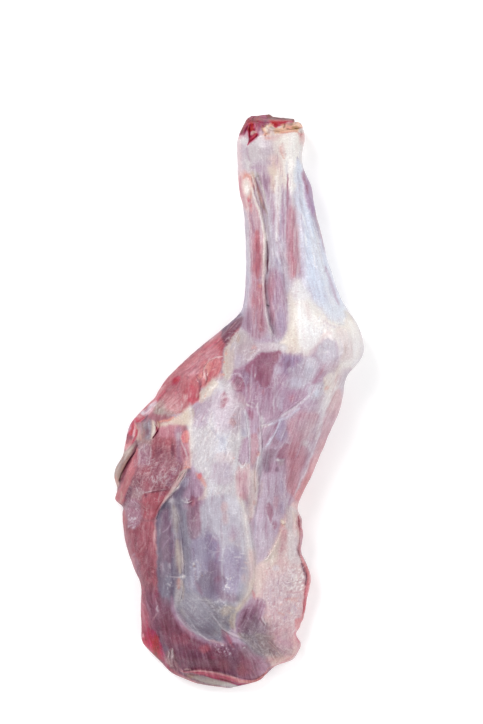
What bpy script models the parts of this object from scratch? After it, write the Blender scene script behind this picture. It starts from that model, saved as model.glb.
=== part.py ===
"""Raw veal foreleg, shoulder and shank in one piece, lying on its inner side.

The leg lies flat with its length along Y: the cut wrist at +Y, the blade end at -Y, the elbow at +X.
It rests on Z = 0 with the outer side of the leg up. Sizes are in millimetres until MM turns them
into metres. The forearm bone shows at the cut wrist and runs down the shank to the elbow.
"""

import bmesh
import bpy
import numpy as np

MM = 0.001

# The edge of the leg seen from above. Each row is one cross cut, from the wrist to the blade end:
# left x, left y, right x, right y.
OUTLINE = np.array([
    (8, 293, 67, 288),
    (1, 278, 70, 276),
    (-1, 261, 67, 259),
    (0, 243, 68, 243),
    (1, 224, 76, 225),
    (5, 205, 79, 207),
    (8, 169, 87, 169),
    (8, 131, 99, 130),
    (6, 103, 110, 101),
    (0, 90, 122, 84),
    (-17, 75, 129, 68),
    (-38, 58, 130, 54),
    (-57, 41, 123, 39),
    (-74, 24, 113, 26),
    (-89, 3, 108, 5),
    (-112, -23, 100, -22),
    (-119, -45, 91, -45),
    (-129, -70, 80, -71),
    (-129, -96, 68, -97),
    (-123, -111, 63, -112),
    (-121, -129, 66, -128),
    (-117, -153, 66, -153),
    (-109, -176, 72, -174),
    (-102, -194, 76, -187),
    (-102, -217, 71, -211),
    (-102, -240, 68, -232),
    (-101, -253, 62, -245),
    (-92, -264, 64, -258),
    (-81, -275, 57, -271),
    (-70, -286, 39, -278),
    (-51, -295, 29, -288),
    (-36, -299, 17, -296),
    (-14, -302, -6, -302),
], float)

# Thickness along the leg, from the blade end to the wrist: y, height of the crest, place of the
# crest across the cut (0 left edge, 1 right edge), height of the two edges, height of the underside.
# The underside is cut off flat at zero, so a height below zero makes a flat resting face.
THICKNESS = np.array([
    (-302, 10, 0.50, 5.0, -2),
    (-294, 21, 0.48, 7.0, -2),
    (-275, 34, 0.47, 8.0, -2),
    (-245, 49, 0.47, 9.0, -2),
    (-200, 62, 0.48, 10.0, -2),
    (-150, 72, 0.50, 11.0, -2),
    (-100, 80, 0.54, 12.0, -2),
    (-40, 84, 0.57, 16.0, -2),
    (10, 81, 0.60, 24.0, -2),
    (50, 73, 0.60, 30.0, 0),
    (90, 65, 0.52, 32.0, 6),
    (130, 59, 0.50, 31.0, 8),
    (190, 54, 0.50, 29.0, 6),
    (240, 51, 0.50, 27.0, 1),
    (270, 51, 0.50, 26.0, -1),
    (296, 49, 0.50, 25.0, -1),
], float)

# How the cut is rounded. 1 makes a half ellipse; more makes thin edges, less makes full sides.
SHANK_Y, SHOULDER_Y = 95.0, 10.0
TOP_ROUND = {"shank": 1.0, "shoulder": 1.12}
UNDER_ROUND = {"shank": 1.0, "shoulder": 0.35}

# Muscles and bones that stand out from the rounded body, or hollows in it:
# centre x, centre y, half length, half width, lean of the length from +Y towards +X, rise.
BELLIES = {
    "wrist_knuckle": (36, 268, 26, 26, 0, 3),
    "wrist_side_bone": (7, 212, 16, 7, -5, 3),
    "extensor_cord": (17, 125, 80, 12, 3, 4),
    "extensor_belly": (46, 122, 62, 11, -4, 3),
    "flexor_sheet": (84, 128, 78, 15, -13, 4),
    "elbow_dome": (70, 76, 34, 32, 0, 4),
    "elbow_point": (108, 60, 32, 24, -25, 11),
    "elbow_hollow": (26, 32, 26, 24, 60, -4),
    "front_muscle": (-40, 28, 62, 26, 40, 8),
    "outer_triceps": (84, 0, 78, 22, 25, 7),
    "long_triceps": (42, -56, 70, 24, 6, 6),
    "shoulder_cap": (-14, -44, 52, 30, 5, 4),
    "front_flap_muscle": (-88, -84, 52, 26, 10, 7),
    "blade_muscle": (-22, -172, 82, 38, 0, 9),
    "ridge_strip": (-67, -170, 66, 11, 0, 3),
    "blade_end_muscle": (-30, -262, 62, 26, 90, 8),
    "back_flap": (44, -216, 52, 24, -8, 4),
}

# Seams between muscles: width, depth, then the points that the seam runs through.
SEAMS = {
    "shank_split": (5, 5, ((20, 232), (28, 190), (30, 130), (36, 72))),
    "flexor_edge": (5, 3, ((58, 236), (62, 180), (66, 120))),
    "front_seam": (10, 4, ((-8, 62), (-22, 22), (-56, -14), (-104, -34))),
    "triceps_seam": (9, 4, ((100, 20), (66, -44), (24, -70), (18, -110))),
    "ridge_seam": (9, 5, ((-66, -110), (-60, -160), (-62, -210), (-46, -238), (-16, -252))),
    "blade_back_seam": (9, 6, ((12, -108), (18, -160), (16, -196), (-6, -232))),
}

# The wrist is cut at a slant: the end leans back by this much for each step up from CUT_MIDDLE.
CUT_START_Y, CUT_END_Y = 245.0, 285.0
CUT_SLANT, CUT_MIDDLE = 0.36, 25.0

# The forearm bone: y, height of its axis, radius. Its axis runs straight, leaning across the shank.
BONE_X, BONE_SLANT = 62.0, -0.105
BONE = np.array([
    (60, 38, 15.0),
    (85, 36, 16.0),
    (115, 33, 11.5),
    (170, 29, 10.5),
    (225, 26, 14.0),
    (258, 25, 21.0),
    (280, 25, 23.5),
    (295, 25, 22.0),
], float)
BONE_GAP = 0.3
BONE_FLATNESS = 0.78

RINGS, TOP_POINTS, UNDER_POINTS = 74, 38, 18
BONE_RINGS, BONE_POINTS, ROUNDED_RINGS = 20, 20, 4
SOCKET_MOUTH = 14.0
MUSCLE_FINISH = ((0.42, 0.17, 0.21, 1.0), 0.38)
BONE_FINISH = ((0.80, 0.72, 0.62, 1.0), 0.42)


def through(at, knots, values):
    """Values at each place of a cubic curve through the knots, level with its neighbours' mean slope."""
    slopes = np.gradient(values, knots, axis=0)
    i = np.clip(np.searchsorted(knots, at) - 1, 0, len(knots) - 2)
    step = knots[i + 1] - knots[i]
    t = (at - knots[i]) / step
    if values.ndim > 1:
        t, step = t[:, None], step[:, None]
    start = (1 + 2 * t) * (1 - t) ** 2 * values[i] + t * (1 - t) ** 2 * step * slopes[i]
    end = t**2 * (3 - 2 * t) * values[i + 1] + t**2 * (t - 1) * step * slopes[i + 1]
    return start + end


def smooth_step(x, low, high):
    t = np.clip((x - low) / (high - low), 0, 1)
    return t * t * (3 - 2 * t)


def belly(x, y, spec):
    """A dome over an ellipse: the rise times one less the squared distance from the centre, squared."""
    cx, cy, half_length, half_width, lean, rise = spec
    turn = np.radians(lean)
    along = (x - cx) * np.sin(turn) + (y - cy) * np.cos(turn)
    across = (x - cx) * np.cos(turn) - (y - cy) * np.sin(turn)
    far = (along / half_length) ** 2 + (across / half_width) ** 2
    return rise * np.clip(1 - far, 0, None) ** 2


def distance_to(x, y, points):
    """The distance from each place to the nearest stretch of the line through the points."""
    nearest = np.full(np.shape(x), np.inf)
    for (ax, ay), (bx, by) in zip(points, points[1:]):
        dx, dy = bx - ax, by - ay
        t = np.clip(((x - ax) * dx + (y - ay) * dy) / (dx * dx + dy * dy), 0, 1)
        nearest = np.minimum(nearest, np.hypot(x - ax - t * dx, y - ay - t * dy))
    return nearest


def relief(x, y):
    """What the muscles add to the rounded body and the seams take from it."""
    height = sum(belly(x, y, spec) for spec in BELLIES.values())
    for width, depth, points in SEAMS.values():
        height = height - depth * np.exp(-((distance_to(x, y, points) / width) ** 2))
    return height


def slanted(points):
    """The points with the wrist's end leant back, fading out along the shank."""
    leant = points.copy()
    share = smooth_step(points[:, 1], CUT_START_Y, CUT_END_Y)
    leant[:, 1] -= share * CUT_SLANT * (points[:, 2] - CUT_MIDDLE)
    return leant


def ring(place):
    """One closed cross cut of the leg: over the top from the left edge to the right, back underneath."""
    rows = np.arange(len(OUTLINE), dtype=float)
    left_x, left_y, right_x, right_y = through(np.array([place]), rows, OUTLINE)[0]
    middle_y = (left_y + right_y) / 2
    crest, crest_at, edge, under = through(np.array([middle_y]), THICKNESS[:, 0], THICKNESS[:, 1:])[0]
    shank = smooth_step(middle_y, SHOULDER_Y, SHANK_Y)
    top_round = TOP_ROUND["shoulder"] + shank * (TOP_ROUND["shank"] - TOP_ROUND["shoulder"])
    under_round = UNDER_ROUND["shoulder"] + shank * (UNDER_ROUND["shank"] - UNDER_ROUND["shoulder"])

    def place_across(points):
        across = (1 - np.cos(np.linspace(0, np.pi, points + 1))) / 2
        return across, left_x + across * (right_x - left_x), left_y + across * (right_y - left_y)

    across, x, y = place_across(TOP_POINTS)
    skewed = across ** (np.log(0.5) / np.log(crest_at))
    rise = np.clip(4 * skewed * (1 - skewed), 0, 1) ** (top_round / 2)
    top = edge + (crest - edge) * rise + relief(x, y) * np.clip(2 * rise, 0, 1)
    over = np.stack([x, y, top], axis=1)

    across, x, y = place_across(UNDER_POINTS)
    sink = np.clip(4 * across * (1 - across), 0, 1) ** (under_round / 2)
    bottom = np.clip(edge - (edge - under) * sink, 0, None)
    back = np.stack([x, y, bottom], axis=1)[-2:0:-1]
    return np.concatenate([over, back])


def ring_places():
    """Where the cross cuts lie along the outline's rows, closer together at the blade end."""
    last = len(OUTLINE) - 1
    return last * np.linspace(0, 1, RINGS) ** 0.96


def loft(name, rings, first_cap, last_cap):
    """A closed mesh through the rings, with a fan of faces from each cap's point to the end ring."""
    bm = bmesh.new()
    loops = []
    for points in rings:
        verts = [bm.verts.new(p * MM) for p in points]
        edges = [bm.edges.new((a, b)) for a, b in zip(verts, verts[1:] + verts[:1])]
        loops.append((verts, edges))
    for (a, _), (b, _) in zip(loops, loops[1:]):
        for i in range(len(a)):
            j = (i + 1) % len(a)
            bm.faces.new((a[i], a[j], b[j], b[i]))
    for (verts, _), middle in ((loops[0], first_cap), (loops[-1], last_cap)):
        tip = bm.verts.new(np.array(middle) * MM)
        for a, b in zip(verts, verts[1:] + verts[:1]):
            bm.faces.new((a, b, tip))
    bmesh.ops.recalc_face_normals(bm, faces=bm.faces)
    mesh = bpy.data.meshes.new(name)
    bm.to_mesh(mesh)
    bm.free()
    mesh.shade_smooth()
    obj = bpy.data.objects.new(name, mesh)
    bpy.context.scene.collection.objects.link(obj)
    return obj


def shrunk(points, share, push):
    """A ring drawn in towards its middle and moved along Y, for a rounded end."""
    middle = points.mean(axis=0)
    moved = middle + (points - middle) * share
    moved[:, 1] += push
    moved[:, 2] = np.clip(moved[:, 2], 0, None)
    return moved


def make_flesh():
    """The whole boneless body: the lofted leg, closed by a domed cut at the wrist."""
    rings = [ring(place) for place in ring_places()]
    wrist = rings[0]
    cut = [shrunk(wrist, 0.8, 3.0), shrunk(wrist, 0.93, 2.0)]
    tip = rings[-1].mean(axis=0) - (0, 0.6, 0)
    cut_middle = wrist.mean(axis=0) + (0, 3.0, 0)
    return loft("leg_flesh", [slanted(points) for points in cut + rings], cut_middle, tip)


def make_bone(name, grown, mouth):
    """The forearm bone, flattened a little from above and rounded off inside the elbow.

    A socket for it is the same shape grown all round, with its mouth carried out past the wrist."""
    stations = np.linspace(BONE[0, 0], BONE[-1, 0], BONE_RINGS)
    height, radius = through(stations, BONE[:, 0], BONE[:, 1:]).T
    radius = radius * np.sin(np.pi / 2 * np.clip(np.arange(1, BONE_RINGS + 1) / ROUNDED_RINGS, 0, 1))
    if mouth:
        stations = np.append(stations, stations[-1] + mouth)
        height, radius = np.append(height, height[-1]), np.append(radius, radius[-1])
    angle = np.linspace(0, 2 * np.pi, BONE_POINTS, endpoint=False)
    rings = []
    for y, z, r in zip(stations, height, radius + grown):
        x = BONE_X + BONE_SLANT * (y - BONE[0, 0])
        rings.append(slanted(np.stack([
            x + r * np.cos(angle),
            np.full(BONE_POINTS, y),
            z + BONE_FLATNESS * r * np.sin(angle),
        ], axis=1)))
    low_tip = rings[0].mean(axis=0) - (0, 2 + grown, 0)
    high_tip = rings[-1].mean(axis=0) + (0, 2.5, 0)
    return loft(name, rings, low_tip, high_tip)


def give_finish(obj, colour, roughness):
    material = bpy.data.materials.new(obj.name)
    material.use_nodes = True
    shader = material.node_tree.nodes["Principled BSDF"]
    shader.inputs["Base Color"].default_value = colour
    shader.inputs["Roughness"].default_value = roughness
    shader.inputs["Metallic"].default_value = 0.0
    obj.data.materials.append(material)


def main():
    for obj in list(bpy.data.objects):
        bpy.data.objects.remove(obj)
    flesh = make_flesh()
    bone = make_bone("forearm_bone", 0.0, 0.0)
    socket = make_bone("bone_socket", BONE_GAP, SOCKET_MOUTH)
    socket.hide_render = True
    socket.display_type = "WIRE"
    cut = flesh.modifiers.new("bone_socket", "BOOLEAN")
    cut.operation = "DIFFERENCE"
    cut.object = socket
    give_finish(flesh, *MUSCLE_FINISH)
    give_finish(bone, *BONE_FINISH)


main()
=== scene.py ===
"""The looks of a raw veal foreleg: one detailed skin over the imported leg, painted region by region.

Places are in millimetres on a plan of the leg seen from above: X towards the elbow, Y towards the cut
wrist. Every surface is a grid worked out with numpy, which on_part() carries to the CAD's box in metres.
The places of a path are written flat, as x, y, x, y and so on.
"""

import bpy
import numpy as np
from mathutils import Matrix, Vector


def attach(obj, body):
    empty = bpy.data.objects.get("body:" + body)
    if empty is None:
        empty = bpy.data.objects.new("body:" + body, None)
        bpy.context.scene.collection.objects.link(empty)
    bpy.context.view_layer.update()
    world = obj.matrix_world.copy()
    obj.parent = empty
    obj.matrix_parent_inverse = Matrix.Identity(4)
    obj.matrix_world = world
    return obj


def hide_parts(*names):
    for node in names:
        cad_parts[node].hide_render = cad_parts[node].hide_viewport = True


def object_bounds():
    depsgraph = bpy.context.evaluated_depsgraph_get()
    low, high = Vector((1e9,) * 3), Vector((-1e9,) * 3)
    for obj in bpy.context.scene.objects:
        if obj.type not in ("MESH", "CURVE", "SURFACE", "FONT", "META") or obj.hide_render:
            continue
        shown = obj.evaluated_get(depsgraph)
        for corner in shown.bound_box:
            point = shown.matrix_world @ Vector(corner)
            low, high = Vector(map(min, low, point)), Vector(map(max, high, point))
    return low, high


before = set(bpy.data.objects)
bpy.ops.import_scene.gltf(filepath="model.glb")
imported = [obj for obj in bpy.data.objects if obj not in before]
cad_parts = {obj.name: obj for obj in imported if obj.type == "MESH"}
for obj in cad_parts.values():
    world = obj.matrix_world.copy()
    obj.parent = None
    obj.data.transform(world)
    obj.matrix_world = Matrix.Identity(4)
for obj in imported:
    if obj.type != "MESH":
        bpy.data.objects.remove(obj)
cad_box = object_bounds()

MM = 0.001

# Colours of the raw meat, as seen under white light, in 0 to 255 steps of red, green and blue. Laid region
# # by region, some also stand in for light and shade: painted shade, painted highlights and glints, marked
# where they lie.
SHADES = {
    "milk": (252, 248, 244),
    "cream": (240, 230, 220),
    "fat": (228, 212, 194),
    "tallow": (212, 190, 168),
    "pearl": (220, 213, 214),
    "membrane": (205, 198, 201),
    "silver": (196, 190, 202),
    "ice": (217, 224, 240),
    "frost": (226, 222, 230),
    "steel": (176, 174, 192),
    "slate": (141, 137, 152),
    "shadow_slate": (118, 106, 126),
    "lilac": (190, 168, 188),
    "violet": (160, 145, 176),
    "mauve": (172, 138, 160),
    "orchid": (184, 148, 172),
    "plum": (134, 98, 118),
    "dusk": (106, 74, 94),
    "wine": (146, 76, 100),
    "maroon": (118, 62, 80),
    "rose": (200, 138, 150),
    "blush": (226, 190, 188),
    "salmon": (214, 134, 138),
    "brick": (182, 98, 108),
    "flesh": (161, 104, 116),
    "russet": (160, 92, 102),
    "coral": (224, 152, 136),
    "scarlet": (206, 62, 90),
    "blood": (182, 16, 66),
    "clot": (100, 26, 48),
    "black_clot": (76, 20, 38),
    "tan": (190, 152, 128),
    "brown": (124, 84, 74),
    "stone": (164, 150, 142),
    "oat": (211, 200, 191),
    "claret": (134, 36, 70),
    "crimson": (172, 4, 46),
    "amethyst": (170, 118, 166),
    "peach": (238, 192, 164),
    "ochre": (182, 140, 94),
    "white": (255, 255, 255),
}

# How strong the fibres, the white threads, the lacy skin and the wet shine are, from 0 to 1.
MARKS = ("grain", "veil", "net", "gloss")
WANDER, WANDER_SIZE = 1.1, 9.0


def whole_hash(ix, iy, seed):
    """A repeatable value from 0 to 1 at each whole-number place, by mixing the bits of its numbers."""
    h = (ix.astype(np.int64) * 374761393 + iy.astype(np.int64) * 668265263 + seed * 974634777) & 0xFFFFFFFF
    h = ((h ^ (h >> 13)) * 1274126177) & 0xFFFFFFFF
    return ((h ^ (h >> 16)) & 0xFFFF) / 65535.0


def noise(x, y, size, seed=0):
    """Smooth noise from -1 to 1: random values on a square grid of that size, joined by smooth steps."""
    gx, gy = x / size, y / size
    ix, iy = np.floor(gx), np.floor(gy)
    fx, fy = gx - ix, gy - iy
    fx, fy = fx * fx * (3 - 2 * fx), fy * fy * (3 - 2 * fy)
    near = whole_hash(ix, iy, seed) * (1 - fx) + whole_hash(ix + 1, iy, seed) * fx
    far = whole_hash(ix, iy + 1, seed) * (1 - fx) + whole_hash(ix + 1, iy + 1, seed) * fx
    return 2 * (near * (1 - fy) + far * fy) - 1


def cloud(x, y, size, seed=0, layers=3):
    """Layers of noise, each half the size and half the strength of the one before."""
    shares = 0.5 ** np.arange(layers)
    return sum(s * noise(x, y, size * s, seed + i) for i, s in enumerate(shares)) / shares.sum()


def smooth_step(x, low, high):
    """0 below the low value and 1 above the high one, level at both."""
    t = np.clip((x - low) / (high - low), 0, 1)
    return t * t * (3 - 2 * t)


def bend(points, closed=False, steps=6):
    """A smooth curve through the points: on each stretch a cubic whose ends slope like the chords."""
    p = np.reshape(points, (-1, 2)).astype(float)
    ends = (p[-1:], p[:2]) if closed else (2 * p[:1] - p[1:2], 2 * p[-1:] - p[-2:-1])
    q = np.concatenate([ends[0], p, ends[1]])
    t = (np.arange(steps) / steps)[None, :, None]
    a, b, c, d = (q[i : len(q) - 3 + i][:, None] for i in range(4))
    curve = b + 0.5 * t * ((c - a) + t * ((2 * a - 5 * b + 4 * c - d) + t * (3 * (b - c) + d - a)))
    curve = curve.reshape(-1, p.shape[1])
    return curve if closed else np.concatenate([curve, p[-1:]])


def reach(x, y, curve):
    """The distance of each place from the curve, and how far along the curve its nearest point is."""
    best, along = np.full(x.shape, np.inf), np.zeros(x.shape)
    steps = np.hypot(*np.diff(curve, axis=0).T)
    start = 0.0
    for (ax, ay), (bx, by), length in zip(curve, curve[1:], steps):
        dx, dy = bx - ax, by - ay
        t = np.clip(((x - ax) * dx + (y - ay) * dy) / max(length * length, 1e-9), 0, 1)
        d = np.hypot(x - ax - t * dx, y - ay - t * dy)
        closer = d < best
        best = np.where(closer, d, best)
        along = np.where(closer, start + t * length, along)
        start += length
    return best, along


def inside(x, y, curve):
    """Whether each place lies inside the closed curve: a ray from it crosses the curve an odd number of
    times."""
    odd = np.zeros(x.shape, bool)
    for (ax, ay), (bx, by) in zip(curve, np.roll(curve, -1, axis=0)):
        if ay != by:
            crosses = ((ay > y) != (by > y)) & (x < (bx - ax) * (y - ay) / (by - ay) + ax)
            odd ^= crosses
    return odd


class Canvas:
    """The looks of the leg at a set of places: colour, rise in mm, and how strong each mark is. Strands are
    laid where they are; regions are laid at places combed along the fibres, so that their borders fray."""

    def __init__(self, x, y, shade, comb_x=0.0, comb_y=0.0):
        """Every place starts in the one shade, wanders a little, and is moved by the comb for regions."""
        self.x = x + WANDER * cloud(x, y, WANDER_SIZE, 11)
        self.y = y + WANDER * cloud(x, y, WANDER_SIZE, 23)
        self.combed_x, self.combed_y = self.x + comb_x, self.y + comb_y
        self.colour = np.tile(np.array(SHADES[shade], float), (len(x), 1))
        self.rise = np.zeros(len(x))
        self.lean = np.zeros(len(x))
        self.marks = {name: np.zeros(len(x)) for name in MARKS}
        self.seed = 0

    def lay(self, near, cover, shade, rise, lean, marks):
        """Mixes a shade, a rise and marks into the near places, each as far as it is covered."""
        if shade:
            self.colour[near] += cover[:, None] * (np.array(SHADES[shade], float) - self.colour[near])
        self.rise[near] += rise * cover
        if lean is not None:
            self.lean[near] = np.where(cover > 0.4, lean, self.lean[near])
        for name, value in marks.items():
            self.marks[name][near] += cover * (value - self.marks[name][near])

    def rest(self, shape):
        """The four marks and the lean, as grids of this shape."""
        return [self.marks[name].reshape(shape) for name in MARKS] + [self.lean.reshape(shape)]

    def near(self, x, y, points, margin):
        """Which places lie in the box round the points, with that margin."""
        low, high = points.min(axis=0) - margin, points.max(axis=0) + margin
        self.seed += 7
        return np.nonzero((x > low[0]) & (x < high[0]) & (y > low[1]) & (y < high[1]))[0]

    def within(self, points, soft):
        """The combed places in or near a smooth closed curve, and how deep inside it each one lies."""
        curve = bend(points, closed=True)
        near = self.near(self.combed_x, self.combed_y, curve, soft)
        x, y = self.combed_x[near], self.combed_y[near]
        depth = reach(x, y, np.concatenate([curve, curve[:1]]))[0]
        return near, x, y, np.where(inside(x, y, curve), depth, -depth)

    def zone(self, shade, points, soft=6.0, amount=1.0, rise=0.0, lean=None, ragged=0.35, **marks):
        """A region with a soft, uneven border, inside a smooth closed curve through the points."""
        near, x, y, depth = self.within(points, soft)
        depth = depth + ragged * soft * cloud(x, y, 1.2 * soft, self.seed)
        self.lay(near, amount * smooth_step(depth, -soft / 2, soft / 2), shade, rise, lean, marks)

    def line(self, shade, points, width, amount=1.0, rise=0.0, lean=None, taper=0.6, broken=0.25, **marks):
        """A strand along a smooth curve, thinner towards its ends, with uneven width and strength."""
        curve = bend(points)
        near = self.near(self.x, self.y, curve, 1.6 * width)
        x, y = self.x[near], self.y[near]
        far, along = reach(x, y, curve)
        length = np.hypot(*np.diff(curve, axis=0).T).sum()
        ends = np.abs(2 * along / length - 1)
        wide = width * (1 - taper * ends**3) * (1 + 0.3 * noise(along, 0 * along, 2.5 * width + 3, self.seed))
        gaps = broken * (0.5 + 0.5 * noise(along, far, 7.0, self.seed + 3))
        self.lay(near, amount * 0.5 ** ((2 * far / wide) ** 2) * (1 - gaps), shade, rise, lean, marks)

    def spot(self, shade, x, y, half_length, half_width, lean=0.0, amount=1.0, rise=0.0, soft=0.6, **marks):
        """A rounded patch with its length leaning from +Y towards +X, and a soft, uneven border."""
        turn = np.radians(lean)
        size = max(half_length, half_width) * (1 + soft)
        near = self.near(self.combed_x, self.combed_y, np.array([(x, y)], float), size)
        dx, dy = self.combed_x[near] - x, self.combed_y[near] - y
        along = dx * np.sin(turn) + dy * np.cos(turn)
        across = dx * np.cos(turn) - dy * np.sin(turn)
        far = np.hypot(along / half_length, across / half_width)
        far = far + 0.25 * cloud(dx, dy, 1.3 * min(half_length, half_width), self.seed, 2)
        cover = amount * (1 - smooth_step(far, 1 - soft, 1 + 0.5 * soft))
        self.lay(near, cover, shade, rise, None, marks)

    def flecks(self, shade, points, size, density, amount=0.8, soft=6.0, stretch=1.0, lean=0.0, rise=0.0,
               **marks):
        """Small flecks over a region: the peaks of a fine noise, drawn out along the lean."""
        near, x, y, depth = self.within(points, soft)
        turn = np.radians(lean)
        u, v = x * np.cos(turn) - y * np.sin(turn), (x * np.sin(turn) + y * np.cos(turn)) / stretch
        foot = 0.62 * (1 - 2 * density)
        peaks = smooth_step(cloud(u, v, size, self.seed, 2), foot, foot + 0.3)
        self.lay(near, amount * peaks * smooth_step(depth, -soft / 2, soft / 2), shade, rise, None, marks)


def paint_ground(leg):
    """The broad colour of every region, before its seams, tendons and flecks."""
    leg.zone("mauve", (-60, 70, 140, 90, 120, -20, 60, -130, 0, -120, -20, 0), 20, lean=24, grain=0.5)
    leg.zone("flesh", (-140, -20, -60, -20, -50, -70, -84, -118, -82, -210, -104, -260, -140, -200), 3,
             lean=8, grain=0.6, net=0.28)
    leg.zone("plum", (-110, -206, -78, -206, -62, -236, -36, -254, 0, -254, 34, -272, 34, -300,
              -60, -310, -120, -260), 4, lean=-14, grain=1, net=0.15)
    leg.zone("lilac", (0, 100, 0, 250, 70, 250, 84, 200, 104, 130, 126, 80, 80, 60, 0, 60), 10, lean=2,
             grain=0.5)


def paint_wrist(leg):
    """The bare knuckle: cream and pearl gristle, greyer on the left."""
    leg.zone("pearl", (-4, 232, -4, 285, 20, 300, 45, 300, 76, 292, 72, 240, 52, 226, 30, 232), 14,
             gloss=0.7, veil=0.1, grain=0)
    leg.zone("cream", (34, 290, 72, 288, 70, 250, 62, 226, 50, 222, 38, 226, 34, 250), 14, 0.85)
    leg.zone("milk", (46, 284, 66, 282, 66, 250, 62, 226, 54, 226, 50, 250), 12, 0.6)
    leg.zone("stone", (9, 254, 12, 270, 24, 275, 34, 264, 30, 250, 18, 248), 14, 0.12)
    leg.zone("membrane", (9, 252, 12, 268, 24, 272, 36, 262, 30, 248, 18, 246), 14, 0.55)
    leg.zone("lilac", (24, 274, 36, 272, 34, 258, 27, 258), 8, 0.35)
    leg.zone("blush", (32, 256, 44, 254, 47, 230, 40, 214, 33, 222), 10, 0.6)
    leg.line("tallow", (37, 250, 38, 236, 38, 222), 7, 0.32)
    leg.zone("lilac", (-4, 236, -4, 268, 5, 272, 9, 262, 9, 246, 12, 238), 7, 0.42)
    leg.line("blush", (2, 276, 1, 262, 2, 248, 3, 238), 5, 0.5, rise=0.5)
    leg.line("mauve", (9, 266, 10.5, 258, 13, 252), 2.4, 0.55, rise=-0.6)
    leg.line("lilac", (1, 263, 4, 262, 8, 262), 1.8, 0.45, rise=-0.4)
    leg.line("lilac", (2, 254, 5, 251, 8, 248), 1.8, 0.4, rise=-0.4)
    leg.line("pearl", (14, 247, 8, 251, 3, 250), 3.6, 0.6, rise=0.6)
    leg.line("membrane", (24, 270, 30, 256, 36, 246), 3, 0.4)
    leg.line("lilac", (16, 250, 26, 250, 34, 250), 8, 0.45)
    leg.spot("blush", 46, 264, 7, 4, -10, 0.7)
    leg.flecks("coral", (41, 272, 50, 270, 50, 252, 42, 254), 2.6, 0.3, 0.25, 6)
    leg.line("coral", (44, 268, 46, 260, 48, 254), 1.4, 0.4, rise=-0.2)
    leg.spot("blush", 68, 276, 9, 4, 0, 0.8)
    leg.spot("blush", 33, 276, 4, 9, 0, 0.7)
    leg.line("blush", (40, 279, 52, 280, 62, 280), 4, 0.35)
    leg.line("milk", (57.5, 280, 57.5, 262, 57.5, 244, 57, 222), 11, 0.7, rise=0.4, taper=0.3, broken=0)
    leg.line("silver", (51, 252, 51, 242, 52, 234), 2.2, 0.5, rise=-0.4)
    leg.line("violet", (62.5, 256, 63, 244, 63.5, 234), 1.8, 0.7, rise=-0.5)
    leg.line("membrane", (67, 272, 67, 256, 67, 242), 3.6, 0.5)
    leg.line("frost", (65, 262, 65, 250, 66, 238), 2, 0.6)
    leg.line("fat", (50, 282, 52, 274, 50, 264), 1.2, 0.3)


def paint_cut_end(leg):
    """The cut across the wrist: its pale right half, and the dark clots on its left."""
    leg.zone("peach", (20, 281, 30, 278.5, 42, 281.5, 62, 283, 74, 282, 76, 296, 44, 306, 20, 306), 2.5,
             net=0.2, gloss=0.6, grain=0, veil=0)
    leg.zone("wine", (-2, 280, 4, 280, 9, 276, 12, 273, 20, 279, 24, 286, 33, 291, 35, 306, 2, 306),
             2.4, gloss=0, veil=0)
    leg.zone("pearl", (2, 274, 5, 281, 9, 283, 11, 279, 10, 272, 4, 270), 3, 0.8)
    leg.line("rose", (1, 275, 3, 278, 4, 282), 2, 0.6)
    leg.zone("clot", (5, 286, 9, 298, 14, 306, 36, 306, 34, 297, 24, 293, 14, 291), 3, 0.7)
    leg.flecks("rose", (10, 291, 30, 292, 32, 299, 12, 298), 1.2, 0.22, 0.6, 2, 2.4, 60)
    leg.flecks("crimson", (8, 288, 24, 290, 26, 298, 10, 298), 1.3, 0.24, 0.7, 2, 2, 10)
    leg.line("clot", (3.4, 281, 5, 286, 6.6, 291, 8.6, 296), 2.6, 0.95, rise=-0.6, broken=0)
    leg.line("claret", (6, 282, 7.6, 287, 9.4, 292), 2, 0.6)
    leg.line("dusk", (9, 297.5, 14, 299, 22, 298.6), 2, 0.6)
    leg.line("black_clot", (13, 293.4, 14.6, 294.4, 17, 296.4), 1.4, 0.8, rise=-0.6)
    leg.spot("crimson", 20, 295.6, 0.9, 1.4, 0, 0.9)
    leg.line("russet", (9, 291, 10, 294, 13, 296), 1.4, 0.5)
    leg.zone("plum", (23, 296, 24, 300, 31, 301, 34, 297, 31, 295.6, 26, 295.6), 2, 0.7, rise=0.4)
    leg.line("lilac", (24, 298, 27, 298.4, 31, 297.4), 0.9, 0.6, rise=0.4)
    leg.line("shadow_slate", (23, 299.4, 27, 300.2, 31, 298.8), 1.1, 0.8)
    leg.spot("dusk", 28, 293.6, 1.5, 3, 10, 0.8, rise=-0.4)
    leg.line("brick", (22, 295, 23.6, 293, 23, 290), 1.4, 0.7)
    leg.spot("wine", 28, 295.6, 0.8, 1, 0, 0.7)


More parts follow.
